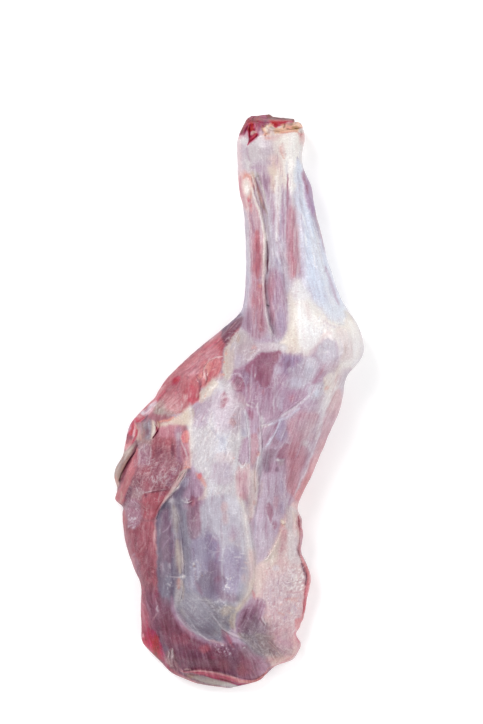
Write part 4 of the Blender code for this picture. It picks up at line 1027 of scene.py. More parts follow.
def paint_raw_corner(leg):
    """The raw corner on the upper left: red and grey scraps, and the salmon edge beyond them."""
    leg.zone("russet", (-90, -40, -80, -36, -66, -36, -65, -52, -64, -68, -76, -70, -90, -66, -92, -50),
             6, 0.9, lean=3, grain=0.5)
    leg.zone("rose", (-86, -27, -66, -25, -58, -26, -60, -36, -64, -42, -70, -38, -80, -38, -84, -34),
             5, 0.8, lean=2, grain=0.6)
    leg.flecks("blush", (-84, -26, -60, -26, -62, -40, -80, -40), 1.6, 0.22, 0.5, 3, 7, 2)
    leg.spot("maroon", -68.5, -52, 9, 2.4, 0, 0.75)
    leg.spot("maroon", -83, -52, 5, 5, 0, 0.55)
    leg.spot("brick", -72, -44, 7, 4, 0, 0.6)
    leg.spot("plum", -80, -60, 8, 9, 0, 0.3)
    leg.zone("mauve", (-66, -30, -60, -28, -60, -44, -58, -60, -60, -72, -65, -70, -65, -50), 4, 0.7,
             lean=2, grain=0.6)
    leg.spot("membrane", -63, -37, 5, 2.4, 0, 0.6)
    leg.zone("rose", (-60, -42, -52, -44, -51, -60, -53, -68, -58, -66, -60, -54), 4, 0.8, lean=-14)
    # A raised salmon lump: salmon flesh, lighter in part as a painted highlight.
    leg.zone("salmon", (-59, -35, -56, -31, -52, -31, -51, -37, -52, -43, -56, -44, -60, -40), 2, 1,
             rise=0.8, lean=0)
    leg.line("coral", (-54, -32, -54, -38, -54, -43), 2.4, 0.8, rise=0.3)
    leg.line("scarlet", (-58, -36, -57, -40), 2, 0.35)
    leg.line("pearl", (-60, -32, -60, -40, -58, -46, -55, -54, -53, -60), 1.3, 0.85, rise=0.3)
    leg.line("wine", (-59, -49, -57, -56, -56, -62), 2, 0.5, rise=-0.3)
    leg.line("blush", (-52, -30, -51, -40, -51.5, -52, -51, -62), 1.6, 0.7)
    leg.zone("stone", (-104, -24, -92, -20, -89, -34, -92, -44, -94, -54, -104, -50, -107, -34), 6, 0.6,
             lean=0, veil=0.4, net=0.3)
    leg.zone("slate", (-98, -20, -91, -20, -91, -38, -97, -40, -99, -30), 4, 0.55)
    leg.spot("maroon", -95, -33, 4, 3, 0, 0.4)
    leg.line("tallow", (-107, -24, -106, -34, -105, -43), 3.4, 0.6)
    leg.line("orchid", (-102, -23, -102, -33), 1.4, 0.8)
    leg.line("rose", (-104.5, -24, -104, -32, -105, -40), 1.4, 0.7, rise=0.3)
    leg.line("coral", (-103, -36, -102, -42), 1.6, 0.6, broken=0.5)
    leg.line("russet", (-99, -30, -99, -38), 1.6, 0.5)
    leg.line("steel", (-94, -22, -93, -32, -95, -38), 2.2, 0.5)
    leg.zone("fat", (-90, -20, -87, -22, -86, -30, -88, -38, -91, -40, -90, -30), 2.5, 0.9, rise=0.5)
    leg.line("pearl", (-88, -20, -88, -30, -90, -36), 1, 0.7, rise=0.4)
    leg.line("tan", (-85, -20, -83, -26, -85, -30), 2, 0.6)
    leg.line("blood", (-85, -27, -84.5, -31, -86, -34), 1.8, 0.6, rise=-0.8)
    leg.line("clot", (-84, -29, -85, -33, -88, -37, -90, -40), 1.8, 0.85, rise=-1.2, broken=0)
    leg.line("rose", (-90, -10, -94, -16, -96, -22), 4, 0.4)
    leg.line("crimson", (-110, -22, -113, -30, -115, -38, -114, -44), 4.4, 0.7, gloss=0.2)
    leg.flecks("maroon", (-108, -20, -118, -34, -116, -48, -106, -40), 1.4, 0.26, 0.6, 2, 3, -20)
    leg.flecks("blush", (-108, -20, -118, -34, -116, -48, -106, -40), 1.2, 0.22, 0.6, 2, 4, -20)
    leg.zone("frost", (-85, 1, -92, -3, -101, -13, -96, -15, -89, -8, -85, -3), 3, 0.9, rise=0.8)
    leg.line("orchid", (-90, -4, -97, -11), 1.2, 0.6)
    leg.line("rose", (-88, -5, -92, -10, -98, -15), 2, 0.6)
    leg.line("wine", (-92, -3, -98, -10), 1.8, 0.8, rise=-0.5)
    leg.line("mauve", (-100, -12, -108, -19, -112, -26), 2.4, 0.6, rise=-0.3)
    leg.line("dusk", (-94, -14, -98, -19, -101, -22), 2.6, 0.75)
    leg.line("scarlet", (-99, -16, -104, -20, -107, -19), 2.8, 0.75)
    leg.line("blood", (-102, -21, -106, -20, -108, -17), 1.8, 0.7, rise=-0.4)
    leg.line("blush", (-106, -18, -100, -16), 1.4, 0.7)
    leg.zone("salmon", (-108, -22, -115, -28, -119, -40, -118, -50, -112, -50, -108, -44, -107, -34), 3,
             0.85, lean=-10, grain=0.3, gloss=1)
    leg.zone("brick", (-110, -24, -116, -34, -117, -42, -111, -44, -109, -34), 3, 0.6)
    leg.line("scarlet", (-111, -26, -113, -34, -115, -42), 3.4, 0.8)
    leg.line("blood", (-112, -31, -114, -36, -116, -40), 2.4, 0.9, rise=-0.4)
    leg.spot("clot", -114, -42, 2.4, 1, 10, 0.5)
    leg.line("mauve", (-110, -22, -114, -27, -116, -32), 1.8, 0.7)
    leg.line("rose", (-118, -36, -119, -44, -118, -50), 1.8, 0.8)
    leg.line("crimson", (-109, -20, -111, -28, -112, -36), 2, 0.75, gloss=0.2)
    leg.line("orchid", (-113, -26, -116, -34, -117, -42), 1.6, 0.7, rise=0.3)
    leg.line("white", (-109, -26, -110, -33, -109.6, -40), 1.2, 0.7, rise=0.4)
    leg.line("crimson", (-107, -30, -107.6, -38, -110, -46), 1.6, 0.7, gloss=0.2)
    leg.spot("maroon", -114.6, -38, 6, 2.4, -80, 0.6, rise=-0.3, gloss=0.1)
    leg.line("blush", (-112, -46, -115, -50, -117, -54), 2.4, 0.8)


def paint_netted_skin(leg):
    """The netted skin over the thin muscle on the left."""
    leg.zone("flesh", (-104, -56, -90, -60, -64, -64, -54, -72, -66, -94, -84, -116, -100, -118,
              -116, -104, -114, -84), 6, lean=24, grain=0.6, net=0.7, veil=0.35)
    leg.zone("mauve", (-106, -48, -96, -46, -92, -58, -98, -68, -106, -64), 8, 0.55, net=0.8)
    leg.flecks("pearl", (-106, -46, -92, -46, -92, -66, -106, -70), 1.3, 0.26, 0.6, 6, 3.5, 30)
    leg.spot("brick", -96, -74, 6, 7, 20, 0.45)
    leg.spot("wine", -84, -72, 10, 8, 10, 0.3)
    leg.spot("maroon", -106, -86, 8, 5, 10, 0.5)
    leg.spot("plum", -72, -86, 4.5, 5, 50, 0.7)
    leg.spot("wine", -70, -78, 6, 4, 40, 0.4)
    leg.spot("brick", -96, -88, 5, 5, 20, 0.4)
    leg.spot("mauve", -106, -98, 6, 8, 70, 0.5)
    leg.zone("stone", (-112, -94, -100, -94, -98, -100, -106, -104, -114, -102), 4, 0.45)
    leg.flecks("blush", (-104, -66, -62, -70, -68, -94, -100, -98), 1.5, 0.17, 0.6, 4, 2.2, 40)
    leg.flecks("membrane", (-100, -60, -64, -66, -66, -80, -96, -80), 1.8, 0.2, 0.5, 4, 3, 10)
    leg.flecks("blush", (-104, -46, -60, -44, -62, -96, -102, -96), 1.2, 0.26, 0.45, 4, 3, 34)
    leg.flecks("blush", (-92, -42, -60, -44, -62, -70, -92, -72), 1.2, 0.22, 0.4, 4, 3, -30)
    leg.line("mauve", (-62, -66, -66, -74, -70, -80), 5, 0.5, net=1)
    leg.flecks("pearl", (-88, -76, -74, -78, -74, -86, -88, -86), 1.3, 0.34, 0.85, 3, 2, 30)
    for start, middle, end in (((-101, -97), (-94, -95), (-88, -94)), ((-92, -94), (-88, -88), (-82, -83)),
                               ((-84, -84), (-78, -80), (-72, -79)), ((-90, -93), (-82, -94), (-74, -92)),
                               ((-85, -78), (-84, -82), (-86, -86)), ((-80, -77), (-81, -82), (-78, -86)),
                               ((-76, -84), (-71, -82), (-67, -80)), ((-104, -52), (-103, -60), (-105, -68)),
                               ((-92, -48), (-92, -56), (-94, -62)), ((-97, -44), (-99, -50), (-96, -56))):
        leg.line("pearl", start + middle + end, 1.2, 0.75, rise=0.3, broken=0.5)


def paint_thin_muscle(leg):
    """The thin red muscle below the netted skin, down to the blade."""
    leg.zone("brick", (-100, -98, -92, -96, -80, -94, -72, -95, -74, -102, -84, -116, -88, -124,
              -100, -122, -101, -108), 3, 0.85, lean=4, grain=0.6, net=0)
    leg.line("maroon", (-97, -97, -97, -101), 3.2, 0.8, rise=-0.5)
    leg.line("maroon", (-90, -96, -80, -94.5, -74, -95), 1.8, 0.5, rise=-0.3)
    leg.spot("maroon", -79, -98, 2.4, 4, 0, 0.4)
    leg.zone("russet", (-119, -104, -108, -102, -101, -106, -100, -124, -96, -170, -92, -200,
              -100, -206, -102, -192, -110, -172, -117, -150, -121, -128), 5, 0.5, lean=4, grain=0.8)
    leg.flecks("maroon", (-116, -104, -100, -104, -100, -130, -118, -134), 2, 0.3, 0.4, 5, 2, 10)
    leg.flecks("blush", (-104, -96, -84, -112, -86, -190, -100, -200, -116, -140), 1.2, 0.22, 0.35, 6,
               6, 8)
    leg.zone("brick", (-112, -132, -98, -126, -88, -128, -86, -150, -84, -176, -84, -196, -94, -190,
              -104, -170, -112, -150), 6, 0.75, lean=4, grain=0.8)
    leg.zone("maroon", (-120, -128, -98, -130, -86, -160, -88, -204, -98, -204, -110, -170), 10, 0.26)
    leg.line("maroon", (-108, -134, -107, -148, -106, -158), 5, 0.45)
    leg.line("maroon", (-96, -156, -95, -170, -92, -186), 7, 0.5)
    leg.line("rose", (-104, -128, -100, -140, -97, -150), 3, 0.35)
    leg.line("blush", (-97, -149, -101, -155, -104, -160), 1.2, 0.5, rise=0.2)
    leg.line("blush", (-100, -132, -98, -142, -100, -150), 1.2, 0.4)
    leg.zone("mauve", (-116, -104, -106, -104, -102, -114, -104, -130, -112, -134, -117, -122), 4, 0.7,
             net=1, lean=20)
    leg.flecks("pearl", (-114, -108, -104, -108, -104, -132, -114, -132), 1.5, 0.24, 0.75, 4, 1.6, 30)
    leg.flecks("frost", (-114, -122, -106, -122, -107, -132, -114, -133), 1.4, 0.4, 0.8, 3, 1.6, 30)
    # Painted shadow: a dark plum patch at the left edge, sunk a little.
    leg.zone("dusk", (-117, -90, -112, -90, -112, -98, -116, -108, -119, -108, -118, -98), 3, 0.7,
             rise=-0.8)
    leg.line("steel", (-116, -90, -113, -90), 2, 0.5)
    leg.line("wine", (-117, -103, -119, -108, -121, -112), 1.8, 0.9, rise=-0.5)
    leg.line("wine", (-112, -108, -110, -116), 3, 0.4)
    leg.line("steel", (-109, -159, -110, -163), 1.8, 0.6)
    leg.line("mauve", (-108, -164, -104, -174, -102, -182), 4, 0.5)
    leg.zone("plum", (-99, -206, -86, -196, -83, -188, -88, -196, -96, -198), 6, 0.35)
    leg.line("blood", (-80, -197, -84, -201, -87, -206), 2.8, 0.35, rise=-0.3)
    leg.line("wine", (-80, -196, -86, -204, -90, -212), 4.6, 0.75)
    leg.line("frost", (-84, -214, -86, -222, -88, -228), 1.3, 0.6)
    leg.line("blush", (-84, -121, -86, -128, -87.5, -138, -87, -150, -84, -160, -82, -172, -81.5, -196),
             3.2, 0.7, rise=0.4, broken=0.4)
    leg.line("brick", (-120, -110, -120.5, -124, -119, -138), 4, 0.8)
    leg.line("rose", (-119, -138, -116, -150, -109, -172, -103, -188), 4, 0.75)
    leg.line("scarlet", (-101, -190, -100, -204, -100, -216), 3, 0.5)
    leg.line("coral", (-121, -102, -122, -110), 1.6, 0.4)
    leg.flecks("blush", (-118, -130, -88, -124, -86, -190, -100, -200), 1.8, 0.16, 0.4, 6, 5, 8)


def paint_free_edge(leg):
    """The cream free edge of the netted skin."""
    leg.zone("blush", (-56, -60, -50, -60, -49, -70, -52, -75, -58, -72), 3, 0.7, rise=0.4)
    leg.line("coral", (-57, -71, -54, -69, -49, -72), 2.4, 0.85, rise=0.4)
    leg.line("coral", (-54, -62, -55, -66), 1.4, 0.6)
    leg.zone("oat", (-60, -74, -54, -72, -57, -82, -64, -92, -71, -99, -78, -108, -82, -116, -80, -108,
              -72, -96, -65, -84), 2, 0.9, rise=1.2, net=0, grain=0.1, lean=34)
    leg.line("rose", (-58, -77, -61, -84, -66, -90), 1.8, 0.5, rise=-0.4)
    leg.line("blush", (-57, -74, -63, -86, -71, -98, -80, -111), 4, 0.4)
    leg.line("milk", (-54, -74, -57, -81, -62, -89, -67, -95, -71, -100), 1.6, 0.9, rise=0.6,
             broken=0.1)
    leg.line("blush", (-61, -74, -64, -82, -69, -91, -76, -102, -82, -113), 1.6, 0.8, rise=0.5,
             broken=0.2)
    # Painted shadow: a dark line beside the raised free edge, on its right.
    leg.line("shadow_slate", (-57, -84, -62, -92, -68, -98), 1.8, 0.5, rise=-0.8)


def paint_curled_strip(leg):
    """The curled strip along the left edge, salmon inside and tan outside."""
    leg.zone("salmon", (-106, -46, -110, -58, -114, -68, -119, -82, -124, -94, -130, -106, -122, -110,
              -117, -96, -112, -84, -108, -72, -104, -58), 2.5, 0.9, rise=0.8, net=0.1, lean=22,
             grain=0.6)
    leg.line("tan", (-115, -78, -117, -86, -120, -96), 2.4, 0.35)
    leg.line("brick", (-117, -82, -121, -92, -124, -100), 3, 0.6)
    leg.line("coral", (-124, -92, -127, -100, -129, -105), 1.6, 0.6, rise=0.3)
    leg.line("fat", (-121, -95, -121, -101, -124, -106), 2.8, 0.7, rise=0.4)
    leg.line("scarlet", (-130, -105, -125, -108, -121, -110), 1.8, 0.85)
    leg.line("wine", (-106, -54, -107, -62, -109, -70), 2.4, 0.6, rise=-0.4)
    leg.line("pearl", (-104, -50, -105, -58, -104, -66), 1.6, 0.5)
    leg.zone("stone", (-104, -42, -112, -48, -119, -56, -124, -64, -131, -70, -131, -80, -126, -90,
              -120, -78, -113, -62, -108, -50), 2.5, 1, rise=1.2, net=0, grain=0.2, lean=30, gloss=0.6)
    leg.zone("tan", (-106, -46, -112, -54, -118, -64, -122, -72, -124, -84, -118, -72, -111, -56), 4,
             0.6)
    leg.line("tan", (-126, -70, -126, -76, -127, -84), 4, 0.5)
    leg.line("tan", (-114, -58, -119, -66, -123, -74), 3, 0.3)
    leg.line("fat", (-110, -48, -115, -54, -120, -63), 2, 0.7, rise=0.5)
    leg.line("coral", (-122, -65, -127, -66, -129, -70), 1.2, 0.5)
    leg.line("coral", (-129, -78, -127, -84, -125, -88), 3, 0.55)
    # The slit beside the curled roll: dark flesh, darkened further as painted shadow.
    leg.line("maroon", (-107, -46, -110.6, -56, -115, -65, -119.6, -76, -123.6, -86), 2.6, 0.85,
             rise=-1.6, broken=0)
    leg.line("maroon", (-106, -42, -106, -48), 3, 0.6)
    leg.line("russet", (-112, -60, -116.4, -70, -121, -80), 3.6, 0.4)


def paint_blade_muscle(leg):
    """The top of the long muscle over the blade, under its blue-grey sheet."""
    leg.zone("shadow_slate", (-50, -72, -58, -84, -68, -98, -80, -110, -86, -124, -85, -160, -84, -200,
              -74, -214, -62, -224, -54, -200, -50, -150, -44, -110), 4, lean=2, grain=0.4, veil=0.1,
             gloss=0.9, net=0)
    leg.zone("silver", (-38, -104, -10, -100, 6, -108, 12, -130, 16, -160, 14, -190, 4, -212, -20, -222,
              -46, -214, -56, -180, -54, -140, -48, -118), 9, lean=-4, grain=0.35, veil=0.2, gloss=0.9)
    leg.zone("frost", (-12, -102, 4, -104, 8, -114, 8, -128, -2, -122, -10, -116), 8, 0.6, veil=0.5)
    leg.line("frost", (-38, -104, -38, -114, -37, -124), 2.2, 0.4)
    leg.spot("blush", -14, -112, 7, 4, 10, 0.5)
    leg.spot("blush", -13, -124, 6, 5, 0, 0.35)
    leg.spot("blush", -6, -145, 5, 4, 0, 0.25)
    leg.spot("lilac", -4, -138, 9, 6, 0, 0.6)
    leg.zone("frost", (0, -122, 8, -124, 10, -150, 10, -160, 2, -158, -1, -140), 6, 0.35)
    leg.zone("slate", (-60, -104, -52, -104, -50, -130, -48, -160, -50, -186, -58, -186, -58, -150,
              -60, -128), 4, 0.8)
    leg.spot("shadow_slate", -57, -112, 7, 3, 0, 0.7)
    leg.zone("mauve", (-54, -78, -42, -78, -36, -96, -38, -110, -46, -108, -58, -112), 8, 0.8, lean=0,
             grain=0.9)
    leg.zone("wine", (-52, -104, -44, -102, -40, -116, -39, -132, -44, -146, -50, -142, -53, -124), 5,
             0.55, lean=4, grain=1)
    leg.zone("plum", (-53, -112, -48, -112, -46, -130, -48, -144, -53, -138), 4, 0.5)
    leg.spot("brick", -47, -107, 4, 2.4, 0, 0.45)
    leg.flecks("blush", (-50, -110, -40, -110, -39, -136, -47, -140), 1.5, 0.2, 0.55, 4, 3, 16)
    leg.spot("steel", -56, -86, 8, 4, 30, 0.5)
    leg.spot("scarlet", -40, -79, 3.4, 2.2, 20, 0.6)
    leg.line("coral", (-44, -76, -38, -82, -34, -90), 4, 0.6, rise=0.3)
    leg.line("fat", (-34, -90, -36, -100, -42, -104), 3.5, 0.6, rise=0.3)
    leg.line("milk", (-59, -104, -56, -106.4, -52, -106.8, -48, -105), 1.4, 0.8, rise=0.4)
    leg.line("milk", (-55, -101, -53.4, -104, -52.6, -108), 1.2, 0.7, rise=0.4)
    leg.line("frost", (-57, -108, -54, -105, -50, -103), 1, 0.7, rise=0.3)


def paint_violet_sheet(leg):
    """The violet middle of the blade muscle's sheet: its stains, painted shade over its lower part, and white
    flecks that are painted glints.
    """
    leg.zone("violet", (-46, -146, -30, -140, -22, -146, -19, -160, -18, -184, -20, -204, -36, -208,
              -47, -198, -49, -170), 9, 0.95)
    leg.zone("violet", (-12, -154, 0, -156, 6, -166, 4, -186, -2, -204, -12, -210, -18, -200,
              -17, -172), 10, 0.6)
    leg.zone("steel", (-42, -148, -34, -150, -32, -164, -40, -170, -46, -162), 6, 0.4)
    leg.line("steel", (-26, -154, -26, -162, -28, -168), 4, 0.45)
    leg.spot("orchid", -25, -145, 4, 6, 0, 0.35)
    leg.line("mauve", (-21, -150, -21, -158, -22, -166), 3.6, 0.65)
    leg.zone("plum", (-30, -166, -20, -168, -17, -182, -18, -198, -26, -200, -32, -190, -30, -176), 8,
             0.5, lean=0)
    leg.zone("dusk", (-30, -174, -25, -178, -27, -190, -38, -198, -46, -192, -44, -184, -36, -182), 7,
             0.3)
    leg.zone("shadow_slate", (-34, -182, -26, -186, -22, -204, -28, -212, -42, -208, -46, -192,
              -40, -184), 8, 0.55)
    # Painted shade: a broad soft darkening over the lower part of the sheet.
    leg.zone("shadow_slate", (-56, -140, -28, -140, -24, -176, -30, -210, -54, -206, -58, -170), 14,
             0.3)
    leg.spot("wine", -22, -187, 4, 4, 0, 0.25)
    leg.line("wine", (-46, -190, -42, -196, -38, -202), 4, 0.35)
    leg.line("dusk", (-17, -183, -14, -188, -13, -194), 2, 0.45)
    leg.spot("violet", -6, -196, 9, 6, 10, 0.5)
    leg.spot("plum", -6, -207, 5, 7, 0, 0.45)
    leg.spot("plum", -16, -205, 7, 6, 0, 0.45)
    leg.spot("steel", 3, -198, 10, 4, 0, 0.6)
    leg.spot("slate", 2, -206, 5, 5, 0, 0.5)
    leg.spot("blush", 6, -186, 5, 4, 0, 0.3)
    # Painted glints: a cluster of white flecks.
    leg.flecks("frost", (-16, -186, -4, -185, -2, -204, -14, -206), 1.3, 0.3, 0.8, 4, 1.3, 20, rise=0.2)
    leg.flecks("milk", (-13, -187, -6, -187, -8, -202, -15, -202), 1.4, 0.3, 0.8, 4, 1, 0, rise=0.2)
    for start, end in (((-4, -163.5), (4, -164)), ((3, -175), (10, -176.5)), ((6, -169), (11, -170)),
                       ((-2, -167.5), (0, -167.5)), ((2, -160), (8, -161))):
        leg.line("milk", start + end, 1.1, 0.6, rise=0.2)
    leg.line("frost", (-10, -154, -7, -157.5, -4, -158.5), 1.2, 0.6)
    leg.line("pearl", (-4, -150, 0, -151, 3, -149), 1.6, 0.4)
    leg.line("frost", (-26, -141, -24, -143, -22, -146), 1.4, 0.7)
    leg.line("frost", (-24, -132, -20, -137, -14, -140), 3.4, 0.3)
    leg.line("frost", (-16, -138, -15.5, -150, -16, -160, -17, -167), 2.2, 0.55, rise=0.3)
    leg.line("silver", (-17, -168, -17, -178, -17, -184), 1.8, 0.7, rise=0.3)
    leg.line("frost", (-20, -167, -16, -167), 1.2, 0.5)
    leg.line("slate", (-40, -158, -34, -158.5), 1.4, 0.3)
    leg.zone("steel", (-50, -168, -42, -168, -38, -178, -42, -188, -52, -186), 4, 0.5, net=0.9)
    leg.flecks("frost", (-50, -166, -40, -168, -40, -184, -52, -184), 1.6, 0.22, 0.6, 4, 1.2, 20,
               net=0.9)
    # Painted glints on the lace, with brown flecks of the tissue round them.
    leg.spot("milk", -46.5, -170.5, 2, 1.6, 0, 0.75, rise=0.5)
    leg.spot("frost", -45, -176.5, 1.3, 2.2, 0, 0.8, rise=0.3)
    leg.flecks("tan", (-46, -168, -38, -172, -35, -184, -46, -184), 1.5, 0.24, 0.6, 4, 1, 0)
    leg.spot("brown", -46, -173, 1.4, 2, 0, 0.5)
    leg.zone("steel", (-54, -186, -46, -188, -42, -204, -46, -214, -54, -210), 6, 0.6)
    leg.line("frost", (-49, -192, -48, -200, -45, -206), 2.6, 0.45)


def paint_slate_pocket(leg):
    """The slate-blue pocket at the foot of that sheet, with its hairs and fat strips."""
    leg.zone("slate", (-64, -196, -50, -198, -40, -206, -24, -212, -12, -212, 0, -222, -8, -244,
              -24, -254, -40, -248, -56, -236, -66, -218), 7, lean=-50, grain=0.3, veil=0.2, gloss=1)
    leg.spot("steel", -53, -210, 12, 8, 0, 0.5)
    leg.spot("stone", -62, -204, 12, 4, 0, 0.5)
    leg.spot("stone", -58, -223, 7, 3, -20, 0.55)
    leg.zone("stone", (-60, -204, -36, -206, -14, -224, -16, -244, -34, -246, -52, -234), 8, 0.3)
    leg.flecks("pearl", (-60, -204, -36, -206, -14, -224, -20, -246, -34, -246, -56, -230), 1.1, 0.3,
               0.5, 5, 4, -30)
    leg.flecks("dusk", (-60, -204, -36, -206, -14, -224, -20, -246, -34, -246, -56, -230), 1.2, 0.22,
               0.35, 5, 4, -40)
    leg.spot("shadow_slate", -46, -231, 7, 12, -30, 0.3)
    leg.spot("shadow_slate", -32, -238, 6, 10, -40, 0.4)
    leg.line("pearl", (-63, -221, -60, -228, -54, -235, -48, -240), 1.8, 0.5)
    leg.line("silver", (-47, -202, -40, -210, -32, -217, -26, -223), 3, 0.6, rise=0.5)
    leg.line("pearl", (-30, -221, -24, -229, -17, -238, -8, -244, 4, -249, 14, -257, 26, -266), 3.4,
             0.65, rise=0.5)
    leg.line("stone", (-36, -206, -28, -214, -16, -222, -10, -232), 6, 0.4)
    leg.zone("silver", (-56, -206, -40, -206, -30, -222, -34, -236, -50, -232, -58, -222), 10, 0.35)
    # Painted glints: a small cluster of white flecks.
    leg.flecks("frost", (-28, -209, -14, -209, -14, -220, -28, -219), 1.5, 0.42, 0.75, 4, 1, 0, net=0.9)
    leg.flecks("pearl", (-40, -206, -10, -210, -4, -232, -30, -232), 1.6, 0.2, 0.5, 5, 1.8, -40)
    leg.spot("tallow", -12, -220, 6, 7, -60, 0.5)
    leg.spot("tallow", -6, -230, 10, 3.4, 10, 0.5)
    leg.line("brown", (-9, -229, -7, -235, -5, -240), 1.8, 0.4, rise=-0.4)
    leg.line("shadow_slate", (-14, -226, -12, -234), 3, 0.4)
    leg.line("shadow_slate", (-1, -232, 0, -240, 2, -246), 4, 0.5)
    leg.line("fat", (-10, -216, -2, -218, 2, -214), 3, 0.6, rise=0.4)
    leg.line("fat", (2, -214, -3, -224, -4, -234, -3, -242), 2.4, 0.7, rise=0.5)
    leg.line("fat", (-7, -224, -8, -232, -6, -238), 1.2, 0.5, rise=0.3)


def paint_pale_strip(leg):
    """The pale ridge on the left of the blade muscle and the darker strip beyond it."""
    leg.line("membrane", (-70, -104, -67, -118, -66, -134, -63, -150, -61, -166, -61, -184, -62, -200,
              -66, -216), 8, 0.72, rise=1, taper=0.3)
    leg.line("stone", (-68, -110, -65, -124, -64, -138), 5, 0.5)
    leg.line("tallow", (-64, -146, -62, -162, -61, -180), 6, 0.65, rise=0.4)
    leg.line("mauve", (-69, -138, -68, -152, -67, -166), 2.6, 0.6)
    leg.line("cream", (-60, -146, -58.5, -160, -58, -178), 1.6, 0.55, rise=0.4)
    leg.line("coral", (-62, -186, -62, -192, -63, -197), 4, 0.55)
    leg.line("tallow", (-59, -188, -57.5, -198, -57, -208), 2.4, 0.5, rise=0.3)
    # Painted glint: a white star on the ridge, its ray and its middle.
    leg.line("milk", (-72, -184, -64, -185, -56, -184), 1.4, 0.6, rise=0.3)
    leg.spot("milk", -57, -184, 2.2, 2, 0, 0.8, rise=0.4)
    leg.zone("plum", (-80, -114, -72, -114, -71, -140, -70, -166, -72, -182, -80, -184, -82, -160,
              -82, -136), 5, 0.55, lean=2, grain=0.8)
    leg.line("shadow_slate", (-81, -154, -81, -164, -80, -172), 3.4, 0.6)
    leg.line("lilac", (-69, -124, -73, -132, -79, -138), 1.2, 0.7, rise=0.2)
    leg.line("lilac", (-72, -144, -77, -150, -80, -156), 1.2, 0.4)
    leg.zone("slate", (-79, -172, -72, -172, -70, -196, -72, -212, -79, -210), 5, 0.6)
    leg.flecks("pearl", (-76, -184, -68, -184, -68, -202, -76, -202), 1.4, 0.3, 0.6, 3, 1.6, 0)
    leg.line("frost", (-71, -170, -71, -176), 2, 0.5)


def paint_cream_ridge(leg):
    """The cream ridge on the right of the blade muscle."""
    leg.line("cream", (2, -103, 6, -111, 8, -122, 10, -138, 12.5, -154, 14, -168), 7.5, 0.8, rise=0.8,
             taper=0.2)
    leg.line("frost", (9, -126, 12, -140, 14, -154), 3.6, 0.5)
    leg.line("blush", (14, -160, 15, -176, 15, -192), 7.5, 0.8, rise=0.7, taper=0.2)
    leg.line("cream", (17, -166, 18, -178, 17, -190), 3, 0.45)
    leg.line("fat", (16, -190, 11, -202, 5, -211, 0, -218), 7, 0.8, rise=0.7, taper=0.2)
    leg.line("membrane", (8, -194, 5, -202, 3, -210), 4, 0.5)
    leg.line("blush", (6, -169, 10, -172, 12, -178), 2, 0.5)
    leg.line("steel", (18, -108, 18, -122, 18.5, -140), 2.4, 0.4, rise=-0.5)


def paint_blade_end(leg):
    """The dark muscle round the blade's end and its white upper border."""
    leg.zone("maroon", (-84, -206, -70, -212, -64, -226, -46, -246, -24, -258, -12, -268, -14, -284,
              -50, -282, -66, -272, -78, -262, -86, -240), 8, 0.35, lean=-30, grain=1)
    leg.zone("maroon", (-92, -206, -78, -210, -66, -224, -46, -246, -16, -262, 6, -268, 8, -290,
              -30, -284, -62, -282, -80, -258, -92, -240), 12, 0.32)
    leg.spot("plum", -76, -214, 8, 6, 0, 0.5)
    leg.spot("maroon", -76, -236, 11, 5, 0, 0.55)
    leg.spot("brick", -55, -250, 8, 7, 0, 0.3)
    leg.spot("brick", -66, -250, 7, 5, 0, 0.22)
    leg.spot("dusk", -46, -266, 5, 12, -10, 0.5)
    leg.spot("dusk", -62, -264, 6, 6, 0, 0.45)
    leg.spot("dusk", -60, -274, 3, 5, -30, 0.8)
    leg.spot("dusk", -50, -277, 5, 8, 0, 0.5)
    leg.spot("brick", -35, -260, 4.5, 6, 0, 0.7)
    leg.spot("maroon", -24, -272, 7, 7, 0, 0.3)
    leg.spot("wine", -26, -270, 2.6, 2.4, 0, 0.75)
    leg.spot("russet", -14, -276, 7, 9, 0, 0.45)
    leg.spot("maroon", -30, -280, 4, 20, 0, 0.3)
    leg.spot("plum", -8, -270, 7, 6, 0, 0.5)
    leg.spot("wine", 10, -278, 12, 7, -20, 0.5)
    leg.spot("russet", 4, -282, 8, 5, 0, 0.6)
    leg.spot("maroon", 4, -268, 6, 6, 0, 0.45)
    leg.zone("orchid", (0, -256, 14, -262, 26, -270, 32, -280, 26, -288, 20, -276, 8, -266), 7, 0.6,
             lean=-40)
    leg.zone("orchid", (18, -270, 30, -276, 30, -286, 20, -286), 6, 0.5)
    leg.line("orchid", (0, -290, 10, -292, 20, -290), 4, 0.6)
    for start, end in (((8, -282), (16, -291)), ((13, -280), (20, -289)), ((19, -281), (26, -286))):
        leg.line("blush", start + end, 1, 0.45)
    leg.spot("white", 6, -259.5, 1, 1.2, 0, 0.8)
    leg.line("orchid", (-22, -256, -8, -250, 2, -252, 10, -256), 6, 0.4, rise=0.5, veil=0.4)
    leg.line("wine", (-17, -241, -12, -248, -8, -254), 7, 0.7)
    leg.line("dusk", (-15, -248, -12, -254), 2.4, 0.5)
    leg.line("brick", (-12, -243, -9, -252, -4, -260), 2, 0.4)
    leg.line("orchid", (-70, -206, -66.5, -220, -60, -233, -50, -243, -38, -250, -28, -255, -18, -257),
             6, 0.7, rise=0.4)
    leg.line("rose", (-60, -236, -54, -241, -46, -246), 2.4, 0.5)
    leg.line("pearl", (-66, -214, -64, -224, -59, -232, -53, -239, -45, -242.5, -37, -247, -30, -251.5),
             1.6, 0.6, rise=0.4, broken=0.6)
    leg.line("white", (-41, -244.5, -36, -248, -31, -251, -29, -252), 1.3, 0.8, rise=0.3)
    leg.line("blush", (-29, -252, -22, -253, -14, -256), 3, 0.6)
    # Painted glints: a cluster of pale flecks.
    leg.flecks("frost", (-24, -256, -10, -254, -4, -258, -8, -268, -22, -266), 1.6, 0.36, 0.7, 4, 1, 0,
               rise=0.25)
    leg.flecks("dusk", (-26, -254, -4, -254, -4, -268, -24, -268), 1.6, 0.22, 0.4, 4, 1, 0)


